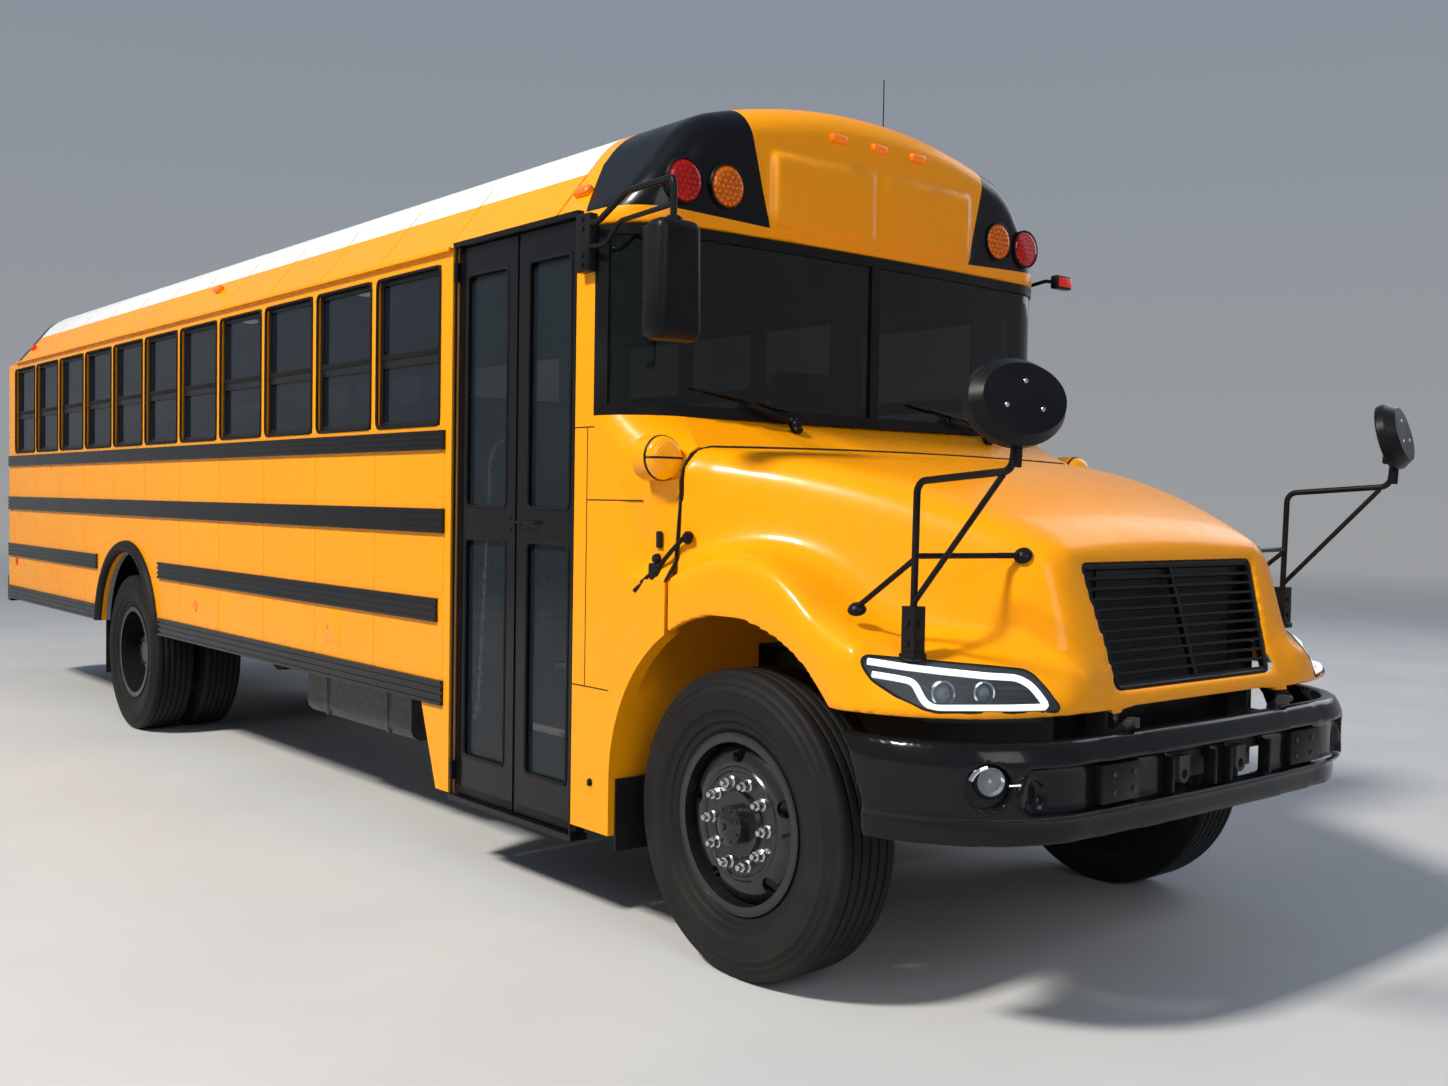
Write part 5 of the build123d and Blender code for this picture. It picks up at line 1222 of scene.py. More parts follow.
# %% [markdown]
# The front bumper is one heavy moulding. Its upper band leans back, a long recess with round
# ends holds the fog lamps and the towing windows, and the skirt below is tucked under. The
# frame's bumper has the walls and openings; remeshing it and moving its skin by height gives
# the lean, the tuck and the soft edges of the real moulding.

# %% Front bumper
BUMPER_VOXEL = 0.009
FOG_PLACE = (1.03, -0.99, 0.781)
FOG_OUT = Vector((0.5, -0.86, 0.0)).normalized()
FOG_POCKET = 0.068
plug = rod((0.895, -1.032, 0.755), (0.9, -1.006, 0.755), 0.056, 24)
shell = remeshed(joined(merged_copy("front_bumper"), both_sides(plug)), BUMPER_VOXEL)
pocket = rod(spot(*FOG_PLACE) + FOG_OUT * 0.09, spot(*FOG_PLACE) - FOG_OUT * 0.034, FOG_POCKET, 32)
shell = cut_with(shell, both_sides(pocket), "DIFFERENCE")
for v in shell.verts:
    height = v.co.z - DATUM_UP
    back = 0.045 * eased(height, 0.835, 0.96) + 0.026 * eased(height, 0.69, 0.668)
    v.co.y += back
    v.co.x *= 1 - back / 2.4
smooth(shell, shell.verts, 2)
keep(shell, "bumper_shell", black_paint, "coach", "black_paint", ("front_bumper",), 50)
plate = block((0.455, -1.112, 0.703), (0.655, -1.07, 0.822), 0.006, 2)
bolts = [rod((x, -1.116, z), (x, -1.108, z), 0.009, 6, 0.002)
         for x in (0.49, 0.595) for z in (0.735, 0.79)]
posts = [block((x, -1.124, 0.7), (x + 0.014, -1.08, 0.812), 0.004, 2) for x in (0.04, 0.286)]
keep(both_sides(plate, *posts), "bumper_plates", trim)
keep(both_sides(*bolts), "bumper_bolts", frame_steel, slot="trim_black")

# %% [markdown]
# Each fog lamp sits at the outer end of the recess: a bowl of chrome behind a clear dome, in
# a black ring. The bright arc over it is the polished edge of its pocket.

# %% Fog lamps
fog_seat = spot(*FOG_PLACE) - FOG_OUT * 0.012 + Vector((-0.012, 0, 0.014))
fog_reflector = turned([(0.0, -0.024), (0.015, -0.022), (0.03, -0.012), (0.04, 0.006),
                        (0.041, 0.006), (0.031, -0.014), (0.0, -0.027)], fog_seat, FOG_OUT, 36)
fog_bulb = rod(fog_seat - FOG_OUT * 0.022, fog_seat - FOG_OUT * 0.004, 0.006, 12, 0.002)
keep(both_sides(dome(fog_seat, FOG_OUT, 0.04, 0.01)), "fog_lenses", clear_dome, "coach", "lamp_clear")
keep(both_sides(fog_reflector, fog_bulb), "fog_reflectors", chrome, "coach", "lamp_clear")
keep(both_sides(bezel(fog_seat, FOG_OUT, 0.04, 0.052, 0.008)), "fog_bezels", trim)
arc_side = FOG_OUT.cross(Vector((0, 0, 1)))
arc = []
for i in range(9):
    angle = math.radians(20 + 8 * i)
    ray = -arc_side * math.cos(angle) + Vector((0, 0, 1)) * math.sin(angle)
    arc.append(spot(*FOG_PLACE) + FOG_OUT * -0.006 + ray * (FOG_POCKET - 0.01))
bar = tube([(0.985, -1.026, 0.787), (0.955, -1.043, 0.788)], 0.0035, 0.0, 2)
keep(both_sides(joined(tube(arc, 0.0075, 0.0, 2), bar)), "fog_trim", chrome, "coach", "lamp_clear")

# %% [markdown]
# Behind the grille stands the radiator: a dark core of fine fins under a tank, with black
# sheets beside and below it that lead the air through. A black edge frames the opening.

# %% Grille and radiator
def nose(x, rise, back=0.0):
    """A point of the nose: across, up its leaning face, and behind it."""
    return spot(x, NOSE_STATION + rise * math.sin(NOSE_LEAN) + back * math.cos(NOSE_LEAN),
                NOSE_FOOT + rise * math.cos(NOSE_LEAN) - back * math.sin(NOSE_LEAN))


core_finish = Finish("radiator core", (0.03, 0.031, 0.033), 0.45, 0.5)
across_core, _, up_core = core_finish.axes()
fins = core_finish.math("SINE", core_finish.math("MULTIPLY", up_core, 900.0))
tubes = core_finish.math("SINE", core_finish.math("MULTIPLY", across_core, 300.0))
pattern = core_finish.math("MAXIMUM", core_finish.remap(fins, -1, 1, 0, 1),
                           core_finish.remap(tubes, 0.6, 1, 0, 1))
core_color = core_finish.blend(pattern, (0.008, 0.008, 0.009), (0.05, 0.05, 0.052))
core_finish.set("Base Color", core_color)
core_finish.bump(pattern, 0.6, 0.002)
core = block((-0.395, -0.8885, 1.01), (0.395, -0.881, 1.39))
keep(core, "radiator_core", core_finish, "coach", "frame_steel")
baffles = [
    block((0.398, -0.884, 1.005), (0.585, -0.874, 1.395), 0.003),
    block((0.0, -0.884, 0.66), (0.585, -0.874, 1.004), 0.003)]
tank = block((-0.4, -0.896, 1.392), (0.4, -0.822, 1.43), 0.01, 3)
keep(joined(both_sides(*baffles), tank), "radiator_frame", trim, "coach", "frame_steel")
edge = [nose(-0.449, 0.07, 0.016), nose(0.449, 0.07, 0.016), nose(0.503, 0.471, 0.016),
        nose(-0.503, 0.471, 0.016)]
keep(tube(edge, 0.0085, 0.02, 2, loop=True), "grille_edge", trim, "hood")

# %% [markdown]
# The hood closes against the cowl on a soft black seal. The cowl's own flange carries on from
# the seal to the body side, so from outside there is one thin dark line and no gap.

# %% Hood seal and cowl flange
SEAL_STATION = 0.312
FLANGE_BACK = 0.47
EDGES = [  # height, hood edge from the middle, cowl from the middle
    (1.310, 1.219, 1.209), (1.340, 1.200, 1.197), (1.380, 1.172, 1.183), (1.450, 1.166, 1.181),
    (1.520, 1.161, 1.189), (1.600, 1.154, 1.199), (1.660, 1.152, 1.204), (1.700, 1.147, 1.201),
    (1.730, 1.133, 1.194), (1.758, 1.107, 1.183), (1.776, 1.072, 1.172),
]


def flange():
    """The cowl's flange: two edges along the seal and the body, bridged by one skin."""
    shape = bmesh.new()
    edges = []
    for station, column, shift in ((SEAL_STATION, 1, 0.004), (FLANGE_BACK, 2, -0.002)):
        line = [shape.verts.new(spot(row[column] - shift, station, row[0])) for row in EDGES]
        edges += [shape.edges.new(pair) for pair in zip(line, line[1:])]
    bmesh.ops.bridge_loops(shape, edges=edges)
    bmesh.ops.subdivide_edges(shape, edges=shape.edges[:], cuts=3, use_grid_fill=True)
    bmesh.ops.recalc_face_normals(shape, faces=shape.faces)
    bmesh.ops.solidify(shape, geom=shape.faces[:], thickness=0.002)
    return shape


keep(both_sides(flange()), "cowl_flange", body_paint)
seal = [spot(x + 0.003, SEAL_STATION - 0.002, z) for z, x, _ in EDGES]
seal += [spot(x, SEAL_STATION - 0.002, z)
         for x, z in ((1.02, 1.788), (0.8, 1.793), (0.4, 1.799), (0.0, 1.801))]
keep(both_sides(tube(seal, 0.006, 0.0, 3)), "hood_seal", rubber, "coach", "arch_rubber")

# %% [markdown]
# A rubber latch on each side pulls the hood down: a black head in a socket on the hood, a
# strap, and a handle on the cowl. Behind it is a slot for the release cable.

# %% Hood latches
HEAD = (1.158, 0.255, 1.465)
latch_head = [
    turned([(0.0, 0.026), (0.012, 0.025), (0.02, 0.018), (0.024, 0.006), (0.022, 0.0), (0.0, 0.0)],
           HEAD, (0.97, 0.1, 0.2), 28),
    rod((1.16, 0.24, 1.475), (1.192, 0.236, 1.482), 0.008, 12, 0.002)]
keep(both_sides(*latch_head), "latch_heads", trim, "hood")
strap = [
    tube([(1.184, 0.262, 1.462), (1.19, 0.32, 1.415), (1.196, 0.39, 1.352), (1.216, 0.455, 1.3)],
         0.0085, 0.02, 3),
    block((1.176, 0.372, 1.318), (1.208, 0.432, 1.372), 0.009, 3),
    *[turned([(0.0, 0.02), (0.014, 0.018), (0.018, 0.01), (0.019, 0.0), (0.0, 0.0)],
             (1.194, station, height), (1, 0, 0), 24)
      for station, height in ((0.388, 1.388), (0.402, 1.325))],
    rod((1.208, 0.44, 1.306), (1.222, 0.492, 1.268), 0.008, 14, 0.003)]
slot = block((1.176, 0.384, 1.425), (1.187, 0.414, 1.485), 0.005, 3)
keep(both_sides(*strap, slot), "hood_latches", trim)

# %% [markdown]
# The side windows are split sashes in black frames. A rubber gasket runs round each opening
# with a bar where the sashes meet, and two finger latches sit on each lower sash. Everything
# is made once for one window and repeated at the window pitch.

# %% Side windows
FACE = 1.219
FIRST_PILLAR, WINDOW_PITCH, WINDOWS = 1.924, 0.677, 11
WINDOW_FOOT, WINDOW_HEAD, MEETING_RAIL = 1.91, 2.61, 2.24
HALF_PILLAR = 0.027


def loop_on_side(x, start, end, foot, head, radius, corner):
    """A soft ring round an opening in the side."""
    return tube([(x, start, foot), (x, end, foot), (x, end, head), (x, start, head)], radius, corner, 2,
                loop=True)


def loop_across(station, left, right, foot, head, radius=0.0075, corner=0.035, sides=2):
    """A soft ring across the bus, such as one round an opening in its rear wall."""
    return tube([(left, station, foot), (right, station, foot), (right, station, head),
                 (left, station, head)], radius, corner, sides, loop=True)


along_bus = [Matrix.Translation((0, WINDOW_PITCH * i, 0)) for i in range(WINDOWS)]
start, end = FIRST_PILLAR + HALF_PILLAR, FIRST_PILLAR + WINDOW_PITCH - HALF_PILLAR
gasket = joined(loop_on_side(FACE + 0.001, start + 0.004, end - 0.004, WINDOW_FOOT + 0.004,
                             WINDOW_HEAD - 0.004, 0.0075, 0.035),
                block((1.178, start + 0.02, MEETING_RAIL - 0.012),
                      (1.206, end - 0.02, MEETING_RAIL + 0.012), 0.003))
keep(both_sides(repeated(gasket, along_bus)), "window_gaskets", rubber)
latches = joined(*[block((1.17, start + along, MEETING_RAIL - 0.03),
                         (1.186, start + along + 0.036, MEETING_RAIL - 0.016), 0.004)
                   for along in (0.1, 0.485)])
keep(both_sides(repeated(latches, along_bus)), "window_latches", trim, "coach", "sash_alloy")
driver_ring = loop_on_side(FACE + 0.001, 0.965, 1.785, 1.645, 2.515, 0.0075, 0.035)
rear_rings = [loop_across(9.561, x - 0.245, x + 0.245, 1.914, 2.476) for x in (-0.845, 0.845)]
keep([driver_ring, *rear_rings], "driver_and_rear_gaskets", rubber)

# %% [markdown]
# The body is sheet steel: panels that lap at every window post, a gutter over the windows,
# and rivets in rows. The laps stand out by the thickness of the sheet, and one small rivet
# is repeated along every seam.

# %% Panel laps, gutter and rivets
RAIL_BANDS = [(0.795, 1.041), (1.153, 1.433), (1.548, 1.798)]
ARCH_REACH = 0.7
RIVET_PITCH, GUTTER = 0.0685, (1.93, 9.3)
laps, rivets = [], []
for i in range(WINDOWS + 1):
    station = FIRST_PILLAR + WINDOW_PITCH * i
    for foot, head in RAIL_BANDS:
        if abs(station - WHEELBASE) < ARCH_REACH and foot < 1.2:
            continue
        laps.append(block((FACE - 0.002, station - 0.016, foot),
                          (FACE + 0.0014, station + 0.016, head)))
        count = round((head - foot) / 0.085)
        rivets += [(FACE + 0.0014, station, foot + (head - foot) * (k + 0.5) / count)
                   for k in range(count)]
for k in range(110):
    station = GUTTER[0] + RIVET_PITCH * k
    rivets.append((FACE, station, 1.8965))
    if k % 2 == 0:
        rivets.append((FACE, station, 2.636))
gutter = block((FACE - 0.004, GUTTER[0], 2.655), (FACE + 0.013, GUTTER[1], 2.667), 0.003)
keep(both_sides(gutter, *laps), "panel_laps", body_paint)


def rivet_rows(places):
    """One low round rivet head, repeated at places on the side."""
    head = bmesh.new()
    bmesh.ops.create_icosphere(head, subdivisions=1, radius=0.0042)
    bmesh.ops.scale(head, vec=(0.45, 1, 1), verts=head.verts)
    return repeated(head, [Matrix.Translation(spot(*place)) for place in places])


keep(both_sides(rivet_rows(rivets)), "side_rivets", body_paint)

# %% [markdown]
# The cowl is made of pressed panels too, and its joints show as thin dark lines. A small
# turn latch holds the flap low down in front of the door.

# %% Cowl joints
SEAM = 0.0022
seams = [
    tube([(FACE, 0.803, 0.890), (FACE, 0.803, 1.866)], SEAM, 0.0, 2),
    tube([(FACE, 0.803, 1.593), (FACE, 0.620, 1.593), (1.2150, 0.530, 1.593),
          (1.2030, 0.472, 1.593)], SEAM, 0.0, 2),
    tube([(FACE, 0.648, 0.890), (FACE, 0.886, 0.890)], SEAM, 0.0, 2),
    tube([(FACE, 0.760, 1.866), (FACE, 0.886, 1.866)], SEAM, 0.0, 2),
]
keep(both_sides(*seams), "cowl_joints", rubber)
latch = joined(turned([(0.0, 0.006), (0.012, 0.006), (0.015, 0.002), (0.015, 0.0), (0.0, 0.0)],
                      (-FACE, 0.758, 0.532), (-1, 0, 0), 24),
               block((-FACE - 0.012, 0.752, 0.52), (-FACE - 0.004, 0.764, 0.544), 0.002))
keep(latch, "flap_latch", trim)

# %% [markdown]
# The entrance door has two tall leaves. Each pane sits in a rubber ring, soft seals close the
# gap between the leaves, and a pull handle stands on the front leaf. Inside are two bright
# grab rails and pale nosings on the edges of the three steps.

# %% Entrance door
LEAF_FACE = -1.189
PANES = ((0.478, 1.42), (1.555, 2.545))
LEAVES = {"front": (0.895, 1.345), "rear": (1.365, 1.84)}
for word, (start, end) in LEAVES.items():
    parts = []
    for foot, head in PANES:
        parts.append(loop_on_side(LEAF_FACE + 0.001, start + 0.072, end - 0.072, foot + 0.002,
                                  head - 0.002, 0.0065, 0.03))
    lip = end + 0.004 if word == "front" else start - 0.004
    parts.append(tube([(LEAF_FACE + 0.012, lip, 0.315), (LEAF_FACE + 0.012, lip, 2.66)],
                      0.0055, 0.0, 2))
    parts.append(block((LEAF_FACE - 0.003, start + 0.01, 0.311),
                       (LEAF_FACE + 0.004, end - 0.01, 0.345), 0.002))
    for z in (1.465, 1.51):
        parts.append(rod((LEAF_FACE - 0.003, start + 0.035, z),
                         (LEAF_FACE + 0.002, start + 0.035, z), 0.006, 12, 0.001))
    keep(parts, f"door_seals_{word}", rubber, f"door_leaf_{word}")
pull = [tube([(LEAF_FACE, 1.18, 1.498), (LEAF_FACE - 0.026, 1.19, 1.498),
              (LEAF_FACE - 0.026, 1.318, 1.498), (LEAF_FACE, 1.328, 1.498)], 0.0065, 0.015, 3)]
pull += [turned([(0.0, 0.005), (0.013, 0.005), (0.016, 0.0), (0.0, 0.0)],
                (LEAF_FACE, station, 1.498), (-1, 0, 0), 20) for station in (1.18, 1.328)]
keep(pull, "door_pull", trim, "door_leaf_front")
rails = [tube([(-1.13, station, 0.62), (-1.105, station, 0.7), (-1.06, station, 1.62),
               (-1.06, station, 1.8), (-0.98, station, 1.86)], 0.016, 0.08, 3)
         for station in (0.935, 1.79)]
keep(rails, "grab_rails", bright_steel, "coach", "seat_steel")
nosing = moulded("step nosing", (0.62, 0.6, 0.52), (0.45, 0.43, 0.38), 0.5, 300.0, 0.0)
nosings = [block((-1.142 + 0.228 * i, 0.895, top - 0.02), (-1.106 + 0.228 * i, 1.842, top + 0.003),
                 0.003) for i, top in enumerate((0.36, 0.6, 0.84))]
keep(nosings, "step_nosings", nosing, "coach", "floor_grey")

# %% [markdown]
# The mirrors matter as much as the lamps on a school bus. Each rearview head carries a tall
# glass over a small one in rounded frames, and each crossview head is a convex mirror as wide
# as a dinner plate, in a rubber edge, on a bent and braced post.

# %% Mirrors
mirror_glass = painted_steel("mirror glass", (0.7, 0.74, 0.78), (0.62, 0.66, 0.7), 0.06, 1.0, 0.0)
MIRROR_X = 1.33
MIRROR_STATIONS = {-1: 0.15, 1: 0.93}
for side, station in MIRROR_STATIONS.items():
    middle = side * MIRROR_X
    parts, panes = [], []
    for foot, head in ((2.262, 2.5), (2.15, 2.24)):
        parts.append(block((middle - 0.088, station + 0.03, foot - 0.008),
                           (middle + 0.088, station + 0.057, head + 0.008), 0.008, 3))
        panes.append(block((middle - 0.08, station + 0.05, foot),
                           (middle + 0.08, station + 0.058, head), 0.002, 2))
    word = "right" if side < 0 else "left"
    out = side * 1.241
    for z in (2.465, 2.5, 2.6, 2.635):
        parts.append(rod((out + side * 0.02, 0.79, z), (out + side * 0.027, 0.79, z), 0.009, 6, 0.002))
    for z in (2.533, 2.62):
        parts.append(rod((out, 0.8, z - 0.018), (out, 0.8, z + 0.018), 0.02, 16, 0.003))
    parts.append(turned([(0.0, 0.012), (0.02, 0.012), (0.03, 0.004), (0.031, -0.01), (0.0, -0.01)],
                        (middle, station, 2.532), (0, 0, 1), 28))
    keep(parts, f"mirror_frames_{word}", trim)
    keep(panes, f"mirror_panes_{word}", mirror_glass, "coach", "glass")

HEAD_CENTRE = (1.12, -1.135, 1.88)
out_of_head = Vector((0.25, -1.0, 0.25)).normalized()
across_head = (Vector((1, 0, 0)) - out_of_head * out_of_head.x).normalized()
up_head = out_of_head.cross(across_head)
on_head = Matrix.Translation(spot(*HEAD_CENTRE)) @ Matrix(
    (across_head, up_head, out_of_head)).transposed().to_4x4()


def oval(angle, wide, tall, out):
    """A point of an ellipse about the crossview head's own axes."""
    return on_head @ Vector((math.cos(angle) * wide, math.sin(angle) * tall, out))


angles = [TURN * i / 48 for i in range(48)]
oval_edge = [tube([oval(t, 0.1615, 0.1215, out) for t in angles], 0.0042, 0.0, 2, loop=True)
             for out in (-0.002, -0.029)]
glass_dome = turned([(0.0, 0.03), (0.03, 0.0285), (0.06, 0.0235), (0.09, 0.0135),
                     (0.112, 0.003), (0.118, 0.0), (0.0, 0.0)], Vector(), (0, 0, 1), 48)
bmesh.ops.scale(glass_dome, vec=(1.33, 1, -1), verts=glass_dome.verts)
bmesh.ops.recalc_face_normals(glass_dome, faces=glass_dome.faces)
bmesh.ops.transform(glass_dome, matrix=on_head @ Matrix.Translation((0, 0, -0.03)),
                    verts=glass_dome.verts)
keep(both_sides(glass_dome), "crossview_glass", mirror_glass, "hood", "glass")
mounts = [
    rod((1.12, -1.133, 1.7), (1.12, -1.136, 1.76), 0.015, 16, 0.003),
    block((1.1, -1.13, 1.775), (1.14, -1.095, 1.835), 0.008, 3),
    rod((0.77, -0.788, 1.44), (0.7, -0.822, 1.441), 0.0095, 14, 0.002),
    turned([(0.0, 0.016), (0.014, 0.015), (0.026, 0.006), (0.03, 0.0), (0.0, 0.0)],
           (0.69, -0.826, 1.441), (0.75, -0.35, 0.55), 28),
    turned([(0.0, 0.018), (0.014, 0.016), (0.026, 0.006), (0.03, -0.004), (0.0, -0.004)],
           (1.103, -0.515, 1.268), (0.5, -0.35, 0.8), 28),
    block((1.046, -0.758, 1.128), (1.108, -0.696, 1.15), 0.006, 3)]
for z in (1.18, 1.24):
    mounts.append(rod((1.077, -0.758, z), (1.077, -0.75, z), 0.0085, 6, 0.002))
    mounts.append(rod((1.1, -0.727, z), (1.108, -0.727, z), 0.0085, 6, 0.002))
keep(both_sides(*oval_edge, *mounts), "crossview_mounts", trim, "hood")

# %% [markdown]
# A wiper is an arm with a knuckle, a curved spine and a thin rubber blade that lies against
# the glass. The glass is nearly flat in the middle and bends back at the sides, so the blade's
# points follow that bend.

# %% Wipers
GLASS_STATION, GLASS_BEND, GLASS_HALF = 0.506, 0.031, 0.985


def before_glass(x, gap):
    """The station a little ahead of the windshield at a distance from the middle."""
    return GLASS_STATION + GLASS_BEND * (x / GLASS_HALF) ** 2 - gap


blades, arms = [], []
for pivot, tip in ((-0.48, -0.93), (0.678, 0.228)):
    middle = (pivot + tip) / 2
    span = [middle + (tip - pivot) * share for share in (-0.52, -0.26, 0.0, 0.26, 0.52)]
    heights = [1.952 + 0.016 * k for k in range(5)]
    blades.append(tube([(x, before_glass(x, 0.01), z) for x, z in zip(span, heights)], 0.0055, 0.0, 2))
    arms.append(tube([(x, before_glass(x, 0.02), z + 0.002) for x, z in zip(span[1:4], heights[1:4])],
                     0.0055, 0.0, 2))
    arms.append(tube([(pivot, 0.452, 1.902), (pivot + (tip - pivot) * 0.18, 0.47, 1.926),
                      (middle, before_glass(middle, 0.018), 1.985)], 0.0075, 0.04, 3))
    arms.append(turned([(0.0, 0.02), (0.015, 0.018), (0.023, 0.008), (0.024, -0.004), (0.0, -0.004)],
                       (pivot, 0.452, 1.896), (0, -0.6, 0.8), 24))
keep(blades, "wiper_blades", rubber)
keep(arms, "wiper_arms", trim)

# %% [markdown]
# A bench cushion is foam in a stretched vinyl cover, so it is crowned, and its edges draw in
# at the corners. Each pad starts as a slightly small block, is remeshed into an even net, and
# is blown up as cloth for twenty frames. No point may move far, so the pad stays in its
# frame. One pad is made for each shape and then repeated for every row.

# %% Padding
PAD_VOXEL = 0.03
PAD_PRESSURE = 4.0
PAD_FRAMES = 20
PAD_CAP = 0.012


def inflated(low, high, rounding):
    """A padded block between two corners, blown up by at most the cap."""
    margin = Vector((PAD_CAP, PAD_CAP, PAD_CAP)) * 0.8
    net = remeshed(block(at(low) + margin, at(high) - margin, rounding, 3), PAD_VOXEL)
    before = [v.co.copy() for v in net.verts]
    holder = as_object(net, "pad")
    cloth = holder.modifiers.new("cloth", "CLOTH")
    cloth.settings.use_pressure = True
    cloth.settings.uniform_pressure_force = PAD_PRESSURE
    cloth.settings.effector_weights.gravity = 0.0
    for number in range(1, PAD_FRAMES + 1):
        scene.frame_set(number)
    pad = worked_out(holder)
    for v, place in zip(pad.verts, before):
        moved = v.co - place
        if moved.length > PAD_CAP:
            v.co = place + moved.normalized() * PAD_CAP
    scene.frame_set(1)
    return settled(pad, "SUBSURF", levels=1, render_levels=1)


# %% [markdown]
# A bench has a low pad and a tall back with a corded seam round each face. Both pads stand
# for the frame's plain solid, which is hidden.

# %% Passenger seats
ROWS, FIRST_ROW, ROW_PITCH = 10, 2.33, 0.706
rows = [Matrix.Translation((0, ROW_PITCH * i, 0)) for i in range(ROWS)]
bench_parts = {
    "bench_cushions": inflated((0.210, FIRST_ROW - 0.380, 1.410), (1.130, FIRST_ROW - 0.008, 1.520),
                               0.030),
    "bench_backs": inflated((0.210, FIRST_ROW, 1.410), (1.130, FIRST_ROW + 0.090, 2.090), 0.030),
}
for name, pad in bench_parts.items():
    piece = keep(both_sides(repeated(pad, rows)), name, seat_vinyl, "coach", "seat_vinyl",
                 ("passenger_seats",), 60)
seams = [loop_across(FIRST_ROW + face, 0.226, 1.114, 1.426, 2.074, 0.004, 0.045, 1)
         for face in (0.01, 0.08)]
keep(both_sides(repeated(joined(*seams), rows)), "bench_piping", trim, "coach", "seat_vinyl")

# %% [markdown]
# The driver sits on a sprung seat: a pad, a tall back and a pedestal with a bellows round
# the spring, whose folds are blocks of two sizes in turn.

# %% Driver's seat
seat_parts = {
    "driver_cushion": inflated((0.310, 1.080, 1.480), (0.810, 1.500, 1.590), 0.035),
    "driver_back": inflated((0.320, 1.445, 1.585), (0.800, 1.570, 2.260), 0.040),
}
for name, pad in seat_parts.items():
    piece = keep(pad, name, seat_vinyl, "coach", "seat_vinyl", ("driver_seat",), 60)
folds = []
for i in range(7):
    z = 1.14 + 0.045 * i
    grow = 0.012 if i % 2 else 0.0
    folds.append(block((0.425 - grow, 1.165 - grow, z),
                       (0.695 + grow, 1.425 + grow, z + 0.046), 0.012, 2))
base = block((0.41, 1.15, 1.082), (0.71, 1.44, 1.142), 0.008)
pan = block((0.4, 1.15, 1.455), (0.72, 1.45, 1.492), 0.008)
lever = tube([(0.3, 1.2, 1.49), (0.29, 1.12, 1.5)], 0.008, 0.0, 2)
keep([base, pan, lever, *folds], "driver_pedestal", trim, "coach", "seat_steel")

# %% [markdown]
# The dashboard is a soft-edged moulding across the bus. In front of the driver are a hooded
# panel with round gauges, rows of rocker switches and air vents, and a large wheel with a
# padded hub on a leaning column.

# %% Dashboard
VENTS = (-0.95, -0.55, -0.15, 0.12, 0.87)
GAUGES = ((0.42, 0.046), (0.56, 0.05), (0.7, 0.046))  # distance from the middle, radius
GAUGE_STATION, GAUGE_HEIGHT = 0.806, 1.775
panel = [
    block((-1.1, 0.655, 1.56), (1.1, 0.797, 1.855), 0.028, 4),
    block((-1.095, 0.603, 1.602), (1.095, 0.665, 1.7), 0.01, 2),
    block((0.29, 0.64, 1.835), (0.83, 0.815, 1.9), 0.024, 4),
    rod((0.56, 0.78, 1.64), (0.56, 0.945, 1.778), 0.034, 24, 0.006)]
panel += [block((x, 0.792, 1.69), (x + 0.11, 0.803, 1.76), 0.006, 2) for x in VENTS]
keep(panel, "dash_panel", dash, "coach", "dash_plastic", ("dashboard",))
slats = [block((x + 0.006, 0.802, 1.698 + 0.012 * k), (x + 0.104, 0.807, 1.703 + 0.012 * k), 0.001, 1)
         for x in VENTS for k in range(5)]
switches = [block((0.19 + 0.026 * k, 0.795, z), (0.212 + 0.026 * k, 0.806, z + 0.034), 0.003, 2)
            for k in range(4) for z in (1.785, 1.62)]

# %% [markdown]
# The steering wheel is a thin torus, spun from a round section, with four spokes that taper
# towards the rim. It leans with its column, so its own directions are worked out first.

# %% Steering wheel
WHEEL = Vector((0, 180, 150)).normalized()
wheel_seat = spot(0.56, 0.96, 1.79) + WHEEL * 0.013
rim = [(0.217 + 0.013 * math.cos(TURN * i / 12), 0.013 * math.sin(TURN * i / 12)) for i in range(12)]
hub = turned([(0.0, 0.012), (0.045, 0.01), (0.07, 0.002), (0.075, -0.01), (0.05, -0.022),
              (0.0, -0.022)], wheel_seat, WHEEL, 36)
up_wheel = WHEEL.cross(Vector((1, 0, 0))).normalized()
if up_wheel.z < 0:
    up_wheel.negate()
spokes = []
for angle in (math.radians(a) for a in (0, 180, 250, 290)):
    ray = Vector((1, 0, 0)) * math.cos(angle) + up_wheel * math.sin(angle)
    spokes.append(rod(wheel_seat + ray * 0.06 - WHEEL * 0.006, wheel_seat + ray * 0.208, 0.0115,
                      12, 0.0, 0.009))
wheel = [turned(rim, wheel_seat, WHEEL, 64, closed=True), hub, *spokes]
keep([*wheel, *slats, *switches], "steering_wheel", trim, "coach", "dash_plastic")
rings = [bezel((x, GAUGE_STATION, GAUGE_HEIGHT), REARWARD, radius, radius + 0.007, 0.012)
         for x, radius in GAUGES]
keep(rings, "gauge_rings", bright_steel, "coach", "dash_plastic")
faces = [turned([(0.0, 0.003), (radius, 0.003), (radius, -0.004), (0.0, -0.004)],
                (x, GAUGE_STATION, GAUGE_HEIGHT), REARWARD, 32) for x, radius in GAUGES]
keep(faces, "gauge_faces", lens_glass, "coach", "dash_plastic")

# %% [markdown]
# Round lights line the ceiling over the aisle's two sides, and the driver watches the seats
# in a wide mirror hung above the windshield.

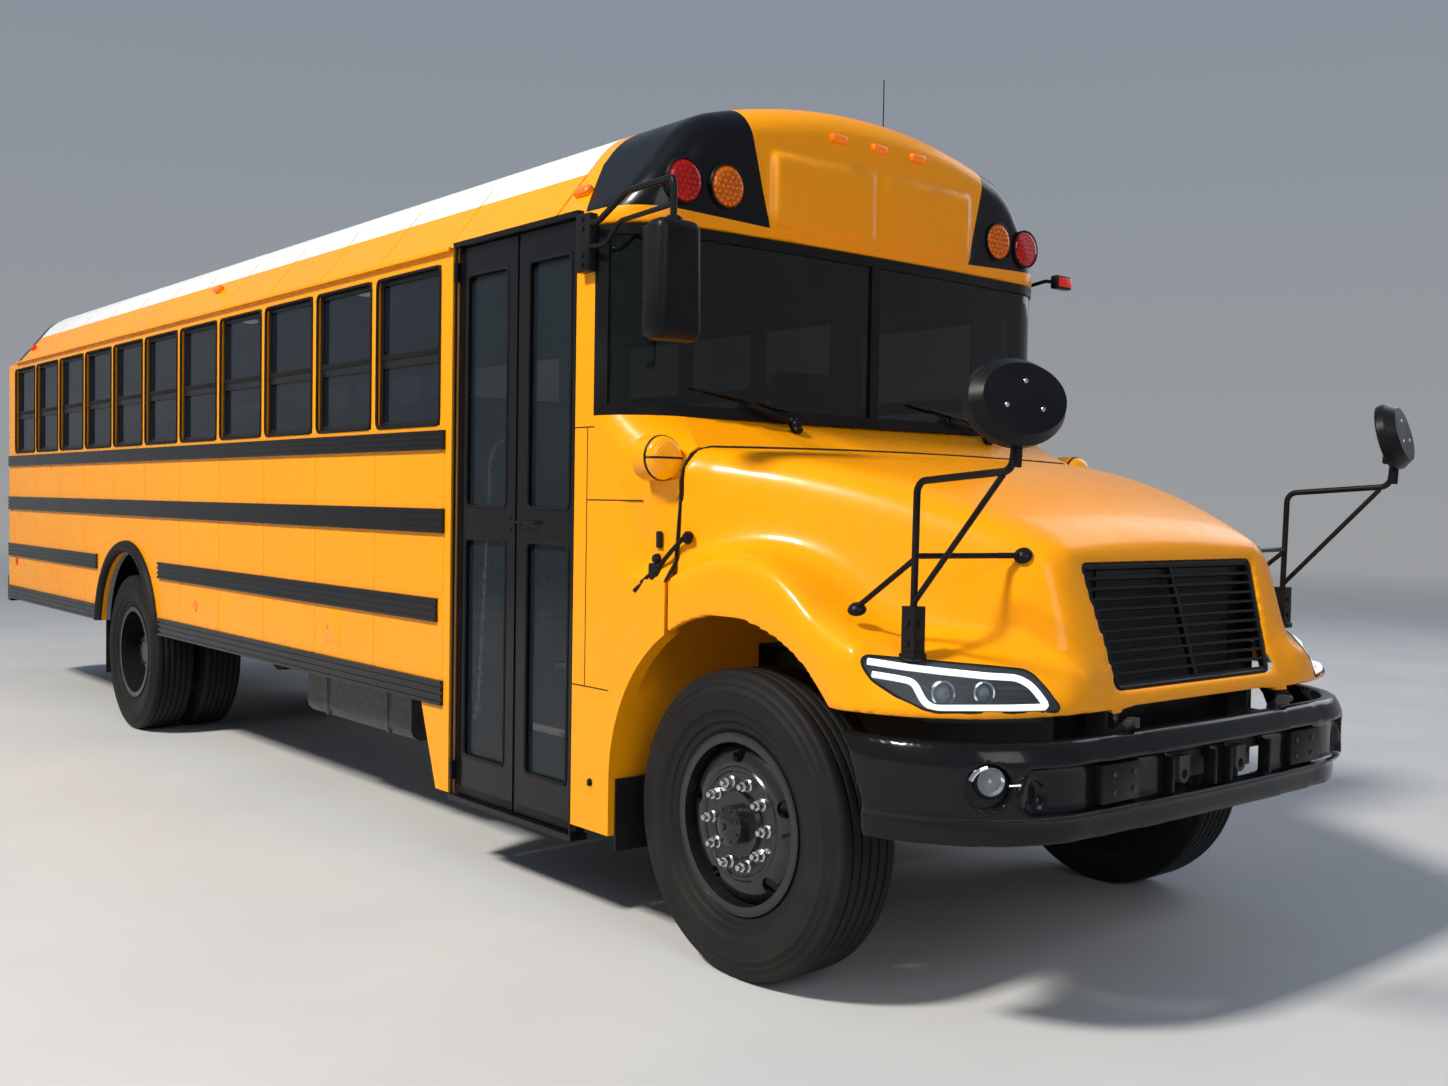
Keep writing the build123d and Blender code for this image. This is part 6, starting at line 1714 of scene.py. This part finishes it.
# %% Inside lights and mirror
ceiling = [dome((x, station, 3.104), (0, 0, -1), 0.075, 0.022)
           for x in (-0.45, 0.45) for station in (1.6, 3.9, 6.2, 8.5)]
keep(ceiling, "ceiling_lights", guide_light, "coach", "lamp_clear")
mirror_back = block((-0.18, 0.7, 2.48), (0.52, 0.728, 2.62), 0.01, 3)
stems = [tube([(x, 0.715, 2.61), (x, 0.715, 2.9)], 0.006, 0.0, 2) for x in (0.0, 0.34)]
keep([mirror_back, *stems], "inside_mirror_back", trim)
keep(block((-0.172, 0.724, 2.488), (0.512, 0.73, 2.612), 0.002),
     "inside_mirror_glass", mirror_glass, "coach", "glass")

# %% [markdown]
# Under the hood is a diesel engine, longer than it is wide: a ribbed block, a head with a
# finned cover, manifolds on its sides, a fan in a shroud behind the radiator, and the air
# cleaner with its pipe. Nobody sees it until the hood tips forward.

# %% Engine
CYLINDERS = 6
iron = [
    block((-0.25, -0.56, 0.69), (0.25, 0.54, 1.13), 0.02, 3),
    block((-0.19, -0.54, 1.13), (0.19, 0.52, 1.27), 0.015, 3),
    block((-0.2, -0.5, 0.645), (0.2, 0.45, 0.7), 0.03, 3),
    block((-0.29, 0.3, 0.76), (0.29, 0.556, 1.18), 0.05, 4)]
iron += [block((-0.262, -0.52 + 0.14 * k, 0.74), (0.262, -0.5 + 0.14 * k, 1.09), 0.006)
         for k in range(CYLINDERS)]
iron += [rod((-0.235, -0.5 + 0.165 * k, 1.19), (-0.12, -0.5 + 0.165 * k, 1.2), 0.03, 18, 0.004)
         for k in range(CYLINDERS)]
iron.append(tube([(-0.245, -0.5, 1.19), (-0.245, 0.33, 1.19)], 0.038, 0.0, 4))
iron.append(turned([(0.0, 0.07), (0.06, 0.07), (0.105, 0.045), (0.115, 0.0), (0.1, -0.05),
                    (0.05, -0.07), (0.0, -0.07)], (-0.255, 0.02, 1.24), (0, 1, 0), 36))
keep(iron, "engine_block", axle_iron, "coach", "axle_iron", ("engine",))
cover_parts = [block((-0.15, -0.52, 1.27), (0.15, 0.48, 1.355), 0.035, 4)]
cover_parts += [block((-0.155, -0.46 + 0.09 * k, 1.3), (0.155, -0.445 + 0.09 * k, 1.362), 0.004)
                for k in range(11)]
cover_parts += [rod((side * 0.165, -0.47 + 0.19 * k, 1.268), (side * 0.165, -0.47 + 0.19 * k, 1.292),
                    0.011, 6, 0.002) for side in (-1, 1) for k in range(CYLINDERS)]
cover_parts.append(rod((0.0, -0.3, 1.35), (0.0, -0.3, 1.4), 0.035, 24, 0.006))
cover_parts.append(tube([(0.235, -0.45, 1.215), (0.235, 0.42, 1.215)], 0.048, 0.0, 5))
keep(cover_parts, "engine_cover", frame_steel)

# %% [markdown]
# Hoses, a belt and the fan stand between the engine and the radiator. The fan's blade is made
# once, twisted a little, and repeated round the shaft inside its shroud.

# %% Hoses and fan
hoses = [
    tube([(0.19, -0.5, 1.24), (0.2, -0.64, 1.33), (0.23, -0.8, 1.34)], 0.03, 0.09, 4),
    tube([(-0.2, -0.52, 0.86), (-0.23, -0.66, 0.96), (-0.25, -0.815, 1.04)], 0.03, 0.09, 4),
    tube([(-0.255, 0.09, 1.24), (-0.23, 0.3, 1.33), (0.05, 0.44, 1.39), (0.24, 0.38, 1.36)], 0.045,
         0.12, 5),
    rod((0.25, 0.06, 1.34), (0.25, 0.4, 1.34), 0.085, 36, 0.016)]
belt = [spot(x, -0.585, z)
        for x, z in ((0.0, 0.79), (0.105, 0.96), (0.07, 1.11), (-0.07, 1.13), (-0.115, 0.96))]
hoses.append(tube(belt, 0.009, 0.05, 2, loop=True))
keep(hoses, "engine_hoses", rubber)
FAN_BLADES = 7
blade_moves = [Matrix.Translation(spot(0, -0.66, 1.19))
               @ Matrix.Rotation(TURN * i / FAN_BLADES, 4, "Y") for i in range(FAN_BLADES)]
blade = block(Vector((-0.045, -0.004, 0.05)), Vector((0.045, 0.004, 0.205)), 0.003)
bmesh.ops.rotate(blade, verts=blade.verts, cent=(0, 0, 0), matrix=Matrix.Rotation(0.5, 3, "Z"))
fan = [
    repeated(blade, blade_moves),
    turned([(0.0, 0.03), (0.05, 0.025), (0.06, 0.0), (0.0, 0.0)], (0, -0.665, 1.19), FORWARD, 28),
    rod((0, -0.66, 1.19), (0, -0.56, 1.19), 0.022, 18),
    turned([(0.218, 0.0), (0.222, 0.1), (0.232, 0.1), (0.228, 0.0)], (0, -0.7, 1.19), FORWARD, 56,
           closed=True)]
fan += [block((-0.39, -0.82, foot), (0.39, -0.8, foot + 0.018), 0.004) for foot in (1.012, 1.372)]
fan += [block((x - 0.012, -0.82, 1.01), (x + 0.012, -0.69, 1.39), 0.004) for x in (-0.235, 0.235)]
core_back = block((-0.395, -0.88, 1.004), (0.395, -0.822, 1.392), 0.004)
keep(fan, "engine_fan", trim, "coach", "frame_steel")
keep(core_back, "radiator_body", core_finish, "coach", "frame_steel")

# %% [markdown]
# The stop arm is a red octagon with a white edge and two small lamps, on a sprung bracket.
# The edge is a ring turned in eight steps and then stood up along the side of the bus.

# %% Stop arm
STOP_STATION, STOP_HEIGHT = 2.58, 1.68
STOP_PIN = 2.25
STOP_FACE = 1.2735
sign_red = paint("sign red", (0.6, 0.01, 0.012), (0.55, 0.01, 0.012), 0.3, 0.0)
sign_white = paint("sign white", (0.8, 0.8, 0.8), (0.74, 0.74, 0.74), 0.35, 0.0)


def octagon_ring(outer, inner, x0, x1):
    """A flat eight-sided ring across X, round the sign's middle."""
    ring = turned([(inner, x0), (inner, x1), (outer, x1), (outer, x0)], Vector(), (0, 0, 1), 8,
                  closed=True)
    turn = Matrix.Rotation(math.pi / 2, 4, "Y") @ Matrix.Rotation(math.pi / 8, 4, "Z")
    move = Matrix.Translation(spot(0, STOP_STATION, STOP_HEIGHT)) @ turn
    bmesh.ops.transform(ring, matrix=move, verts=ring.verts)
    return ring


borders = [
    octagon_ring(0.226, 0.212, STOP_FACE - 0.002, STOP_FACE + 0.0012),
    octagon_ring(0.226, 0.212, STOP_FACE - 0.0093, STOP_FACE - 0.007)]
keep(borders, "stop_arm_border", sign_white, "stop_arm", "roof_white", crease=20)
dress(nodes["stop_arm"], sign_red)
sign_lamps, sign_rims = [], []
for rise in (0.15, -0.15):
    place = spot(STOP_FACE, STOP_STATION, STOP_HEIGHT + rise)
    sign_lamps.append(dome(place, (1, 0, 0), 0.03, 0.009))
    sign_rims.append(bezel(place, (1, 0, 0), 0.03, 0.035, 0.004))
for rise in (-0.04, 0.04):
    for along in (0.035, 0.085, 0.13):
        station, height = STOP_PIN + along, STOP_HEIGHT + rise
        sign_rims.append(rod((1.272, station, height), (1.2765, station, height), 0.008, 6, 0.0015))
keep(sign_lamps, "stop_arm_lamps", red_lens, "stop_arm")
keep(sign_rims, "stop_arm_rims", bright_steel, "stop_arm")
bracket_bolts = [rod((1.234, STOP_PIN + along, STOP_HEIGHT + rise),
                     (1.243, STOP_PIN + along, STOP_HEIGHT + rise), 0.009, 6, 0.002)
                 for along in (-0.045, 0.045) for rise in (-0.085, 0.085)]
bracket_bolts.append(tube([(1.232, 2.205, 1.62), (1.236, 2.19, 1.5), (1.222, 2.18, 1.44)], 0.006, 0.02,
                          2))
keep(bracket_bolts, "stop_bracket_details", trim)

# %% [markdown]
# At the back are the emergency door with its handle, weather seal and hinge bolts, small
# reflectors, a plate lamp, bolts on the bumper, and rivets along the rear wall's edges.

# %% Rear end
REAR = 9.56
door_ring = loop_across(REAR + 0.004, -0.4785, 0.4785, 1.062, 2.598, 0.006, 0.02)
keep(door_ring, "rear_door_seal", rubber)
pane_rings = [loop_across(REAR + 0.005, -0.378, 0.378, foot + 0.002, head - 0.002)
              for foot, head in ((1.18, 1.62), (1.76, 2.5))]
keep(pane_rings, "rear_pane_gaskets", rubber, "rear_door")
handle = [
    tube([(0.3, REAR + 0.006, 1.69), (0.3, REAR + 0.04, 1.69), (0.43, REAR + 0.044, 1.69)], 0.009, 0.02,
         3),
    turned([(0.0, 0.008), (0.022, 0.007), (0.028, 0.0), (0.0, 0.0)], (0.3, REAR + 0.005, 1.69),
           REARWARD, 28),
    block((0.385, REAR + 0.005, 1.655), (0.455, REAR + 0.012, 1.725), 0.004, 2)]
keep(handle, "rear_door_handle", bright_steel, "rear_door")
hinge_bolts = [rod((x, REAR + 0.02, z + rise), (x, REAR + 0.026, z + rise), 0.0075, 6, 0.0015)
               for z in (1.25, 1.83, 2.41) for x in (-0.445, -0.425) for rise in (-0.03, 0.03)]
keep(hinge_bolts, "rear_hinge_bolts", frame_steel, "rear_door", slot="trim_black")
# The reflectors take the lamp lens finishes, so they glow a little though they hold no lamp: a painted
# glow standing for the light they give back.
reflectors = [
    dome((1.0, REAR, 1.0), REARWARD, 0.038, 0.007),
    dome((1.221, 9.3, 1.0), (1, 0, 0), 0.036, 0.007)]
side_mark = dome((1.221, 5.0, 0.91), (1, 0, 0), 0.036, 0.007)
keep(both_sides(*reflectors), "reflectors_red", red_lens)
keep(both_sides(side_mark), "reflectors_amber", amber_lens)
extras = [block((-0.85, REAR, 1.372), (-0.71, REAR + 0.022, 1.398), 0.006, 2)]
extras += [rod((x, 9.757, 0.8595), (x, 9.757, 0.8675), 0.01, 6, 0.0025)
           for x in (-0.95, -0.42, 0.42, 0.95)]
keep(extras, "rear_details", trim)
rear_rivets = [(x, REAR + 0.0005, z) for z in (0.95, 2.64) for x in
               [side * (0.55 + 0.075 * k) for k in range(9) for side in (-1, 1)]]
rear_rivets += [(side * 1.195, REAR + 0.0005, 0.75 + 0.09 * k) for k in range(21) for side in (-1, 1)]
head = rivet_rows([(0, 0, 0)])
bmesh.ops.rotate(head, verts=head.verts, cent=spot(0, 0, 0),
                 matrix=Matrix.Rotation(math.pi / 2, 3, "Z"))
bmesh.ops.translate(head, verts=head.verts, vec=-spot(0, 0, 0))
keep(repeated(head, [Matrix.Translation(spot(*place)) for place in rear_rivets]), "rear_rivets",
     body_paint)

# %% [markdown]
# The roof is made of bowed sheets that meet over the window posts, and the two hatches have
# a pressed panel with three ribs. A small flap on the door side covers the fuel filler, and
# a flat base carries the whip antenna.

# %% Roof seams and hatches
HATCHES = {"front": 3.35, "rear": 7.4}
CROWN = 3.1965
posts = [FIRST_PILLAR + WINDOW_PITCH * i for i in range(WINDOWS + 1)]
bows = []
for station in posts[1:]:
    if min(abs(station - middle) for middle in HATCHES.values()) < 0.36:
        continue
    line = [-0.79 + 1.58 * k / 14 for k in range(15)]
    bows.append(tube([(x, station, CROWN - SAG * x * x) for x in line], 0.0035, 0.0, 1))
keep(bows, "roof_seams", roof_paint)
cove_bows = [tube([(0.802, station, 3.0825), (0.985, station, 2.9585), (1.216, station, 2.66)], 0.0028,
                  0.0, 1) for station in posts[:-1]]
keep(both_sides(*cove_bows), "cove_seams", body_paint)
for word, middle in HATCHES.items():
    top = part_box(f"roof_hatch_{word}")[1][2] - DATUM_UP
    lid = [block((-0.235, middle - 0.235, top - 0.004), (0.235, middle + 0.235, top + 0.006), 0.005)]
    lid += [block((x - 0.012, middle - 0.2, top + 0.002), (x + 0.012, middle + 0.2, top + 0.011), 0.004)
            for x in (-0.12, 0.0, 0.12)]
    keep(lid, f"hatch_{word}_panel", roof_paint, f"hatch_{word}")
foot = turned([(0.0, 0.018), (0.01, 0.016), (0.022, 0.004), (0.026, -0.004), (0.0, -0.004)],
              (0.231, 0.7, 3.184), (0, 0, 1), 28)
keep(foot, "antenna_foot", trim)
flap = block((-1.216, 2.95, 0.85), (-1.2205, 3.13, 1.02), 0.002)
knob = rod((-1.2205, 3.105, 0.935), (-1.226, 3.105, 0.935), 0.01, 20, 0.002)
keep([flap, knob], "fuel_flap", body_paint)

# %% [markdown]
# Under the floor everything hangs from two rails: leaf springs with U-bolts, shock absorbers,
# brake chambers, air tanks with their lines, the fuel tank's cap and straps, and the joints
# of the drive shaft.

# %% Chassis details
RAIL_X = 0.39
u_bolts = []
for axle, low in ((WHEELBASE, 0.6), (0.0, 0.56)):
    for out in (-0.026, 0.026):
        for along in (-0.045, 0.045):
            u_bolts.append(rod((RAIL_X + out, axle + along, low - 0.08),
                               (RAIL_X + out, axle + along, low + 0.085), 0.009, 10, 0.002))
shock = [
    rod((0.3, WHEELBASE + 0.18, 0.52), (0.31, WHEELBASE + 0.33, 0.76), 0.028, 20, 0.005),
    rod((0.31, WHEELBASE + 0.33, 0.76), (0.318, WHEELBASE + 0.43, 0.92), 0.036, 20, 0.005)]
chamber = rod((0.4, WHEELBASE + 0.09, 0.64), (0.4, WHEELBASE + 0.26, 0.64), 0.07, 32, 0.014)
keep(both_sides(*u_bolts, *shock, chamber), "axle_hardware", axle_iron)
tanks = [rod((0.2, s, 0.82), (0.2, s + 0.62, 0.82), 0.11, 36, 0.03) for s in (3.0, 4.1)]
lines = [
    tube([(0.33, 0.7, 0.96), (0.33, 2.4, 0.96), (0.3, 2.6, 0.9), (0.3, 4.9, 0.9), (0.33, 5.6, 0.95)],
         0.008, 0.06, 2),
    tube([(-0.33, 0.7, 0.955), (-0.33, 5.6, 0.955)], 0.01, 0.0, 2)]
keep([*tanks, *lines], "air_tanks", frame_steel)
tank_parts = [turned([(0.0, 0.03), (0.04, 0.028), (0.048, 0.018), (0.048, 0.0), (0.0, 0.0)],
                     (-0.7, 2.498, 0.78), FORWARD, 32)]
tank_parts += [tube([(-1.05, s, 0.43), (-1.062, s, 0.66), (-1.05, s, 0.89)], 0.012, 0.02, 1)
               for s in (2.75, 3.45)]
keep(tank_parts, "tank_details", frame_steel)
joints = [rod((0.0, s - 0.055, z), (0.0, s + 0.055, z), 0.06, 28, 0.01)
          for s, z in ((0.78, 0.74), (6.06, 0.56))]
keep(joints, "drive_shaft_joints", axle_iron)

# %% [markdown]
# The front cap is a moulding as well. Its two panels are pressed out of the skin with soft
# edges, so the frame's cap is remeshed and the panels' edges are smoothed.

# %% Front cap
CAP_VOXEL = 0.012
PRESSED_ROUNDS = 7
cap_net = remeshed(merged_copy("front_cap"), CAP_VOXEL)
smooth(cap_net, cap_net.verts)
pressed = [v for v in cap_net.verts
           if abs(v.co.x) < 0.66 and v.co.y < 0.6 - MID_STATION and 2.65 < v.co.z < 3.02]
smooth(cap_net, pressed, PRESSED_ROUNDS)
keep(cap_net, "front_cap_shell", front_cap_paint, "coach", "body_paint", ("front_cap",), 50)

# %% [markdown]
# The rearview heads are moulded shells that narrow towards the top, on two bent arms from a
# bracket beside the windshield. A small marker lamp stands out on the driver's side.

# %% Rearview mirror heads and arms
MIRROR_ARMS = {  # the arms of each side, as (radius, foot, bends, end)
    -1: [(0.009, 2.533, [(1.250, 0.662, 2.525), (1.265, 0.549, 2.593)], 2.584),
         (0.012, 2.620, [(1.250, 0.709, 2.614), (1.270, 0.502, 2.691)], 2.674)],
    1: [(0.009, 2.533, [(1.289, 0.840, 2.525)], 2.584),
        (0.012, 2.620, [(1.299, 0.840, 2.650)], 2.674)],
}
MIRROR_LOW, MIRROR_HIGH = 2.125, 2.53
for side, station in MIRROR_STATIONS.items():
    middle = side * MIRROR_X
    head = block((middle - 0.0995, station - 0.0545, MIRROR_LOW),
                 (middle + 0.0995, station + 0.0545, MIRROR_HIGH), 0.038, 6)
    for v in head.verts:
        rise = eased(v.co.z - DATUM_UP, 2.3, MIRROR_HIGH)
        v.co.x = middle + (v.co.x - middle) * (1 - 0.1 * rise)
    bracket = block((min(side * 1.2195, side * 1.2615), 0.75, 2.44),
                    (max(side * 1.2195, side * 1.2615), 0.84, 2.656), 0.006, 2)
    shapes = [head, bracket]
    for radius, foot, bends, end in MIRROR_ARMS[side]:
        points = [spot(side * 1.2495, 0.8, foot)]
        points += [spot(side * x, s, z) for x, s, z in bends]
        points.append(spot(middle, station, end))
        if end > 2.6:
            points.append(spot(middle, station, MIRROR_HIGH - 0.02))
        shapes.append(tube(points, radius, 0.03, 3))
    if side > 0:
        shapes += [
            rod((1.24, 0.77, 2.64), (1.279, 0.62, 2.672), 0.009, 12, 0.001),
            rod((1.279, 0.62, 2.672), (1.329, 0.6, 2.672), 0.009, 12, 0.001),
            block((1.319, 0.58, 2.64), (1.433, 0.625, 2.705), 0.01, 3)]
    keep(shapes, f"mirror_shell_{'left' if side > 0 else 'right'}", trim, "coach",
         "trim_black", ("rearview_mirrors",))
keep(block((1.33, 0.5755, 2.65), (1.422, 0.584, 2.695), 0.003, 2), "mirror_lamp_lens", red_lens)
screws = [turned([(0.0, 0.004), (0.006, 0.003), (0.008, 0.0), (0.0, 0.0)],
                 oval(math.radians(angle), 0.07, 0.05, 0.033), out_of_head, 14)
          for angle in (100, 220, 340)]
keep(both_sides(*screws), "crossview_screws", bright_steel, "hood")

# %% [markdown]
# Last, the box round everything that is shown is printed.

# %% Print the size
low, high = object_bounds()
print("looks box:", tuple(low), tuple(high))
